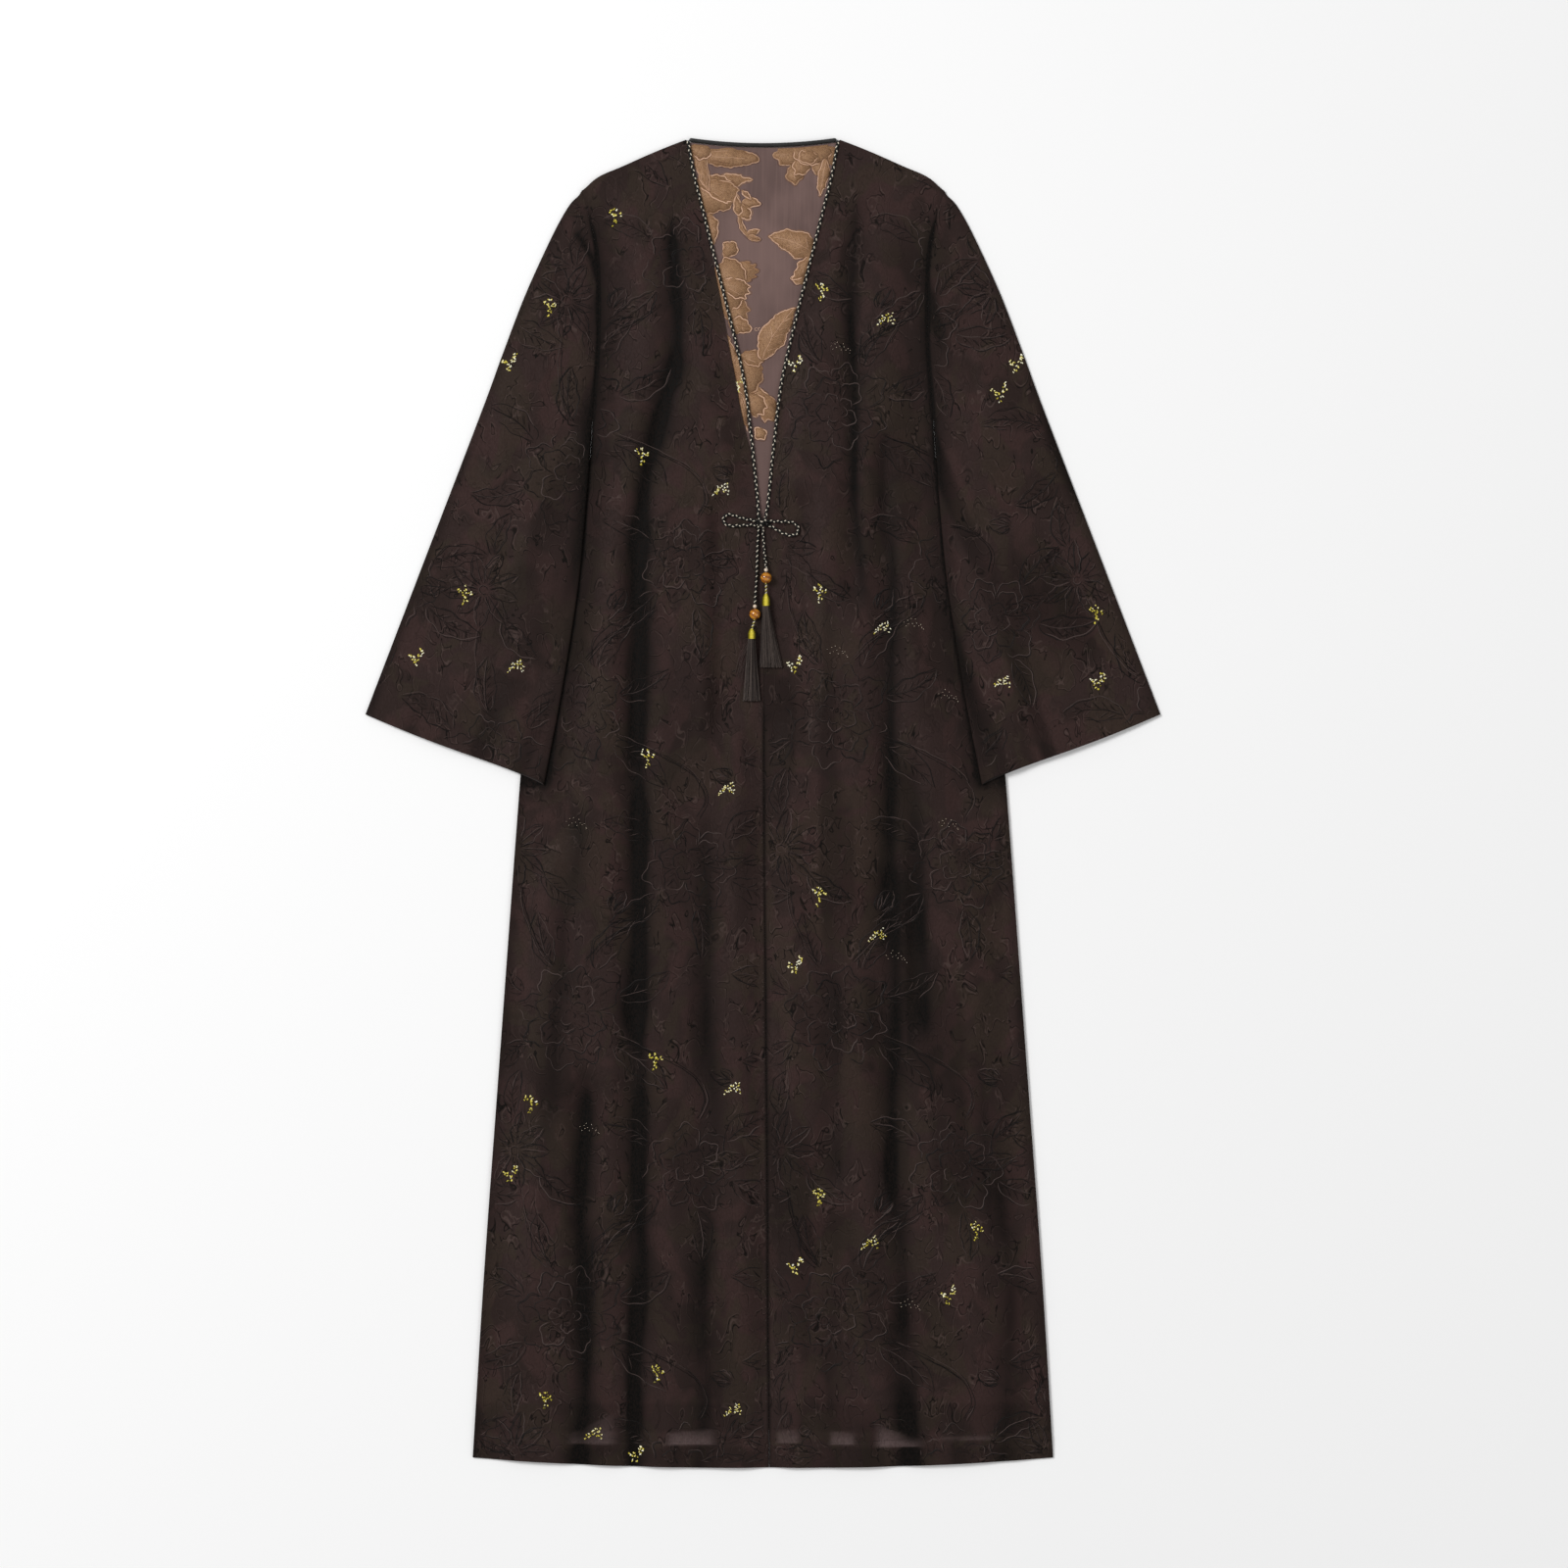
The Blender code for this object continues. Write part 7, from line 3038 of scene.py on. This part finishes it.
    def clamped(self, outline: np.ndarray) -> np.ndarray:
        """Ruffle an outline, and hold it near the opening and below the binding.

        Args:
            outline: Its corners.

        Returns:
            Its corners, evenly spaced.
        """
        loop = resample(np.vstack([outline, outline[:1]]), 1.7)[:-1]
        uneven = SoftNoise(71)
        stray = np.stack([uneven.at(loop[:, 0] / 3.6 + shift, loop[:, 1] / 3.6)
                          for shift in (30.0, 70.0)], axis=1)
        loop = loop + self.ruffle * stray
        reach = half_at(NECK_LINE, loop[:, 1]) + self.hidden_reach
        x = np.clip(loop[:, 0], -reach, reach)
        top = BACK_NECK_DROP - BACK_NECK_RISE * (x / BACK_NECK_HALF) ** 2 + 1.2
        held = np.stack([x, np.clip(loop[:, 1], top, self.last_drop)], axis=1)
        steps = np.linalg.norm(held - np.roll(held, 1, axis=0), axis=1)
        return held[steps > 0.25]

    def allowed(self, x: np.ndarray, drop: np.ndarray) -> np.ndarray:
        """Keep raised lines off the cords and the binding.

        Args:
            x: Places to the right of the centre line.
            drop: Places down from the neck points.

        Returns:
            Whether a line may lie at each place.
        """
        neck = half_at(NECK_LINE, drop)
        opening = (np.abs(x) < neck - self.cord_reach) & (drop > 13.5) & (drop < self.last_drop)
        beside = (x < -neck - self.cord_reach) & (x > front_edge_x(LEFT, drop) + 0.9)
        return opening | beside

    def uncovered(self, over: list[np.ndarray], x: np.ndarray, drop: np.ndarray) -> np.ndarray:
        """Keep raised lines also off the figures that are laid later.

        Args:
            over: Outlines of those figures.
            x: Places to the right of the centre line.
            drop: Places down from the neck points.

        Returns:
            Whether a line may lie at each place.
        """
        spots = np.stack([x, drop], axis=1)
        free = self.allowed(x, drop)
        for outline in over:
            free &= ~inside(outline, spots)
        return free

    def build(self) -> None:
        """Lay the tan patches on the back, then their rims and lines."""
        figures = self.figures()
        bits = Bits()
        outlines = [[self.clamped(outline) for outline in figure.outlines] for figure in figures]
        for number, own in enumerate(outlines):
            for outline in own:
                bits.add(*self.patch(outline, self.top + self.layer * number))
        patches = bits.piece("back_tan_figures", TAN_FIGURE)
        finish_piece(patches, smooth_angle=None)
        lines = ReliefLines(Surface(self.cloth, patches), 77, 1.7, rise=0.26, sunk=0.2)
        for number, (figure, own) in enumerate(zip(figures, outlines)):
            over = [outline for later in outlines[number + 1:] for outline in later]
            seen = partial(self.uncovered, over)
            for outline in own:
                lines.add(Stroke(turned_loop(outline, -0.25), 0.80, 0.80), seen, 0.3, 2.2)
                # reddish-brown line just outside each outline: a painted shadow round the figure
                lines.add(Stroke(turned_loop(outline, 0.85), 0.16, 0.42), seen, 0.25, 3.0)
                lines.add(Stroke(turned_loop(outline, -1.75), 0.30, 0.35), seen, 0.4, 2.2)
            for stroke in figure.strokes:
                lines.add(stroke, seen, 0.25, 5.0)
        made = lines.gather().piece("back_figure_rims", FIGURE_RIM)
        finish_piece(made)

    def patch(self, outline: np.ndarray, top: float) -> tuple[np.ndarray, list[np.ndarray]]:
        """Build one thin closed patch.

        Args:
            outline: Its corners.
            top: Height of its upper face.

        Returns:
            Its vertices and its faces by number of corners.
        """
        rim = [Vector(spot) for spot in outline]
        spots, _, inner, *_ = delaunay_2d_cdt(rim, [], [list(range(len(rim)))], 1, 1e-4)
        flat = np.array([tuple(spot) for spot in spots])
        count = len(flat)
        upper = np.array([face for face in inner if len(face) == 3])
        edges = np.vstack([upper[:, (0, 1)], upper[:, (1, 2)], upper[:, (2, 0)]])
        known = {tuple(edge) for edge in edges.tolist()}
        rim_edges = np.array([edge for edge in known if edge[::-1] not in known])
        points = np.vstack([np.column_stack([flat, np.full(count, level)])
                            for level in (self.base, top)])
        walls = np.column_stack([rim_edges, rim_edges[:, ::-1] + count])
        return points, [walls, upper[:, ::-1], upper + count]


def lump(x: float, drop: float, height: float, length: float, width: float, rise: float,
         turn: float) -> tuple[np.ndarray, list[np.ndarray]]:
    """Build a small rounded bar of wound thread.

    Args:
        x: Its middle.
        drop: Its middle, downwards.
        height: Height of its middle.
        length: Its length.
        width: Its width.
        rise: Half its height.
        turn: Its direction in radians.

    Returns:
        Its vertices and its faces by number of corners.
    """
    along = np.repeat(np.array([-0.72, 0.0, 0.72]), 6) * length / 2.0
    swell = np.repeat(np.array([0.74, 1.0, 0.74]), 6)
    angle = np.tile(2.0 * np.pi * np.arange(6) / 6, 3)
    across = swell * np.cos(angle) * width / 2.0
    level = swell * np.sin(angle) * rise
    along = np.concatenate([along, [-length / 2.0, length / 2.0]])
    across = np.concatenate([across, [0.0, 0.0]])
    level = np.concatenate([level, [0.0, 0.0]])
    points = np.stack([x + along * np.cos(turn) - across * np.sin(turn),
                       drop + along * np.sin(turn) + across * np.cos(turn),
                       height + level], axis=1)
    here = np.arange(6)
    after = (here + 1) % 6
    walls = np.vstack([np.stack([here + ring, after + ring, after + ring + 6, here + ring + 6], axis=1)
                       for ring in (0, 6)])
    ends = np.vstack([np.stack([after, here, np.full(6, 18)], axis=1),
                      np.stack([here + 12, after + 12, np.full(6, 19)], axis=1)])
    return points, [walls, ends]


class Sprig(Enum):
    """Kinds of small gold sprig, each as the places of its lumps."""

    UPRIGHT = ((-4.5, -7.0), (-4.0, -4.6), (0.4, -8.0), (2.4, -6.4), (-2.0, -3.0), (0.6, -3.6),
               (2.6, -2.6), (6.2, -3.4), (6.4, -1.0), (0.2, -0.2), (1.2, 1.8), (0.0, 5.0), (2.2, 5.4),
               (-0.8, 8.4))
    LEANING = ((4.4, -8.0), (6.4, -6.6), (4.0, -5.2), (6.2, -3.4), (2.4, -1.6), (4.6, -0.8),
               (-2.6, -0.4), (-5.6, 0.4), (-6.6, -1.6), (-3.6, 2.4), (-0.4, 2.6), (1.6, 3.8),
               (0.4, 8.0), (-1.8, 7.0))
    SPRAY = ((-8.0, 5.5), (-6.0, 4.0), (-6.6, 2.0), (-4.0, 2.6), (-3.6, 0.2), (-1.6, 1.2), (-1.0, -1.6),
             (-2.8, -2.6), (0.8, -3.4), (1.6, -0.4), (3.4, -4.8), (4.0, -1.6), (5.8, -5.6), (6.0, -2.6),
             (5.0, 1.2), (8.0, 1.0), (2.6, 2.2), (7.2, 4.4))
    FAINT = ((-10.0, -1.0), (-8.0, 3.0), (-6.0, -2.6), (-4.6, 1.0), (-3.0, -4.6), (-1.4, 0.0), (0.6, 3.0),
             (1.8, -3.0), (4.0, 0.6), (5.4, 3.4), (7.2, 1.6), (8.6, 4.6), (9.8, 6.6))


SPRIGS = {
    Sprig.UPRIGHT: (
        (-151.5, 82.0), (-123.5, 326.0), (59.5, 158.0), (57.5, 466.0), (-237.5, 986.0),
        (-108.5, 1261.0), (-304.5, 468.0), (-218.5, 174.0), (-222.5, 1288.0), (56.5, 774.0),
        (56.5, 1081.0), (216.5, 1116.0), (-118.5, 634.0), (-110.5, 942.0), (338.5, 487.0),
    ),
    Sprig.LEANING: (
        (32.5, 231.0), (32.5, 538.0), (32.5, 844.0), (32.5, 1150.0), (-257.5, 1057.0),
        (-129.5, 1343.0), (-353.5, 530.0), (341.5, 555.0), (258.5, 231.0), (241.5, 261.0),
        (-258.5, 230.0), (188.5, 1180.0), (-24.3, 251.0),
    ),
    Sprig.SPRAY: (
        (-42.5, 360.0), (-36.5, 665.0), (-30.5, 970.0), (-30.5, 1298.0), (125.5, 186.0),
        (121.5, 501.0), (116.5, 814.0), (109.5, 1127.0), (-172.5, 1322.0), (243.5, 556.0),
        (-251.5, 540.0),
    ),
    Sprig.FAINT: (
        (79.5, 214.0), (76.5, 524.0), (153.5, 496.0), (136.5, 835.0), (150.5, 1190.0),
        (-189.5, 699.0), (-176.5, 1010.0), (189.5, 569.0), (189.5, 700.0),
    ),
}


@dataclass
class GoldSprigs:
    """Small sprigs of gold thread and faint pearly ones, in rows over the outer cloth."""

    clothes: list[bpy.types.Object]
    width: float = 1.4
    rise: float = 0.5
    seed: int = 17
    yellow_below: Span = (640.0, 1240.0)
    squeezed: Spot = (-24.3, 251.0)
    squeezed_width: float = 0.62

    def build(self) -> None:
        """Stitch every sprig on the piece that it lies on."""
        rng = np.random.default_rng(self.seed)
        surfaces = [Surface(cloth) for cloth in self.clothes]
        gathered = [Bits() for _ in self.clothes]
        for kind, spots in SPRIGS.items():
            for x, drop in spots:
                levels = [surface.heights(np.array([x]), np.array([drop]))[0] for surface in surfaces]
                number = int(np.nanargmax(levels))
                self.stitch(kind, x, drop, surfaces[number], gathered[number], rng)
        for cloth, bits in zip(self.clothes, gathered):
            if bits.points:
                made = bits.piece(cloth.name.replace("_cloth", "_gold_sprigs"), GOLD, SEED_PEARL)
                finish_piece(made)

    def stitch(self, kind: Sprig, x: float, drop: float, surface: Surface, bits: Bits,
               rng: np.random.Generator) -> None:
        """Stitch one sprig.

        Args:
            kind: Its kind.
            x: Its middle.
            drop: Its middle, downwards.
            surface: The cloth that it lies on.
            bits: What its lumps are added to.
            rng: Makes its unevenness.
        """
        places = np.array(kind.value) + rng.normal(0.0, 0.35, (len(kind.value), 2))
        narrow = self.squeezed_width if (x, drop) == self.squeezed else 1.0
        spots = np.array([x, drop]) + places * (narrow, 1.0)
        levels = surface.heights(spots[:, 0], spots[:, 1])
        size = {Sprig.FAINT: 0.42, Sprig.SPRAY: 0.8}.get(kind, 1.0)
        for spot, level, own in zip(spots, levels, places):
            if np.isnan(level):
                continue
            tone = np.interp(drop, self.yellow_below, (0.72, 0.56)) - 0.010 * own[1] - abs(x) / 2500.0
            tone = tone + 0.16 * (kind is not Sprig.UPRIGHT) * (size > 0.5) + rng.normal(0.0, 0.10)
            for _ in range(2 if size > 0.5 else 1):
                turn = np.arctan2(own[1], own[0]) + rng.normal(0.0, 0.7)
                length = rng.uniform(1.7, 2.8) * size
                width = self.width * size * rng.uniform(0.7, 1.1)
                middle = spot + rng.normal(0.0, 0.65 * size, 2)
                height = level + 0.12 + rng.uniform(0.0, 0.3)
                points, faces = lump(*middle, height, length, width, self.rise, turn)
                # painted highlight on each lump's top and painted shade on its sides
                up = (points[:, 2] - height) / self.rise
                shade = tone + rng.normal(0.0, 0.16) + 0.25 * up - 0.16
                bits.add(points, faces, tone=np.clip(shade, 0.0, 1.0), finish=int(kind is Sprig.FAINT))


@dataclass
class StitchRow:
    """A row of small stitches along a line on the cloth."""

    name: str
    line: Marks
    cloth: bpy.types.Object
    pitch: float = 2.6
    length: float = 1.9
    width: float = 0.32
    rise: float = 0.22
    tone: float = 0.3
    gaps: float = 0.0

    def build(self) -> bpy.types.Object:
        """Sew the row.

        Returns:
            The new piece.
        """
        rng = np.random.default_rng(len(self.line) + int(self.pitch * 10))
        spots = resample(smooth_line(self.line), self.pitch)
        ahead = np.gradient(spots, axis=0)
        levels = Surface(self.cloth).heights(spots[:, 0], spots[:, 1])
        bits = Bits()
        for spot, step, level in zip(spots, ahead, levels):
            if np.isnan(level) or rng.uniform() < self.gaps:
                continue
            turn = np.arctan2(step[1], step[0])
            bits.add(*lump(*spot, level, self.length, self.width, self.rise, turn),
                     tone=float(np.clip(self.tone + rng.normal(0.0, 0.12), 0.0, 1.0)))
        made = bits.piece(self.name, FIGURE_THREAD)
        return finish_piece(made)


HEM_LINES = {
    LEFT: ((-253.0, 1318.0), (-120.0, 1329.0), (-4.0, 1333.0)),
    RIGHT: ((17.0, 1333.0), (130.0, 1329.0), (256.0, 1318.0)),
}
CENTRE_EDGE_LINE = ((-2.2, 600.0), (0.5, 900.0), (3.8, 1345.0))


def main() -> None:
    """Build the whole garment in order."""
    Studio().build()
    for side in (LEFT, RIGHT):
        NecklineCord(side).build()
    Bow().build()
    LEFT_TAIL.build()
    RIGHT_TAIL.build()
    NeckBinding().build()
    back = Back().build()
    NeckFigures(back).build()
    clothes = [back]
    for kind, figures_kind in ((Front, FrontFigures), (Sleeve, SleeveFigures)):
        for side in (LEFT, RIGHT):
            panel = kind(side)
            cloth = panel.build()
            figures = figures_kind(side, cloth)
            figure = figures.figure()
            x, drop, _ = vertex_places(cloth)
            # the tone attribute holds painted shade, the painted paleness of sheer places, and the figure
            # mask
            paint(cloth, "tone", *panel.tone(x, drop), figures.design.mask(figure, x, drop))
            figures.build(figure)
            clothes.append(cloth)
    GoldSprigs(clothes).build()
    for side, cloth in zip((LEFT, RIGHT), clothes[1:3]):
        StitchRow(f"hem_stitches_{SIDE_NAMES[side]}", HEM_LINES[side], cloth).build()
    StitchRow("centre_edge_stitches", CENTRE_EDGE_LINE, clothes[1],
              pitch=4.6, length=1.3, width=0.6, tone=0.8, gaps=0.65).build()


if __name__ == "__main__":
    main()
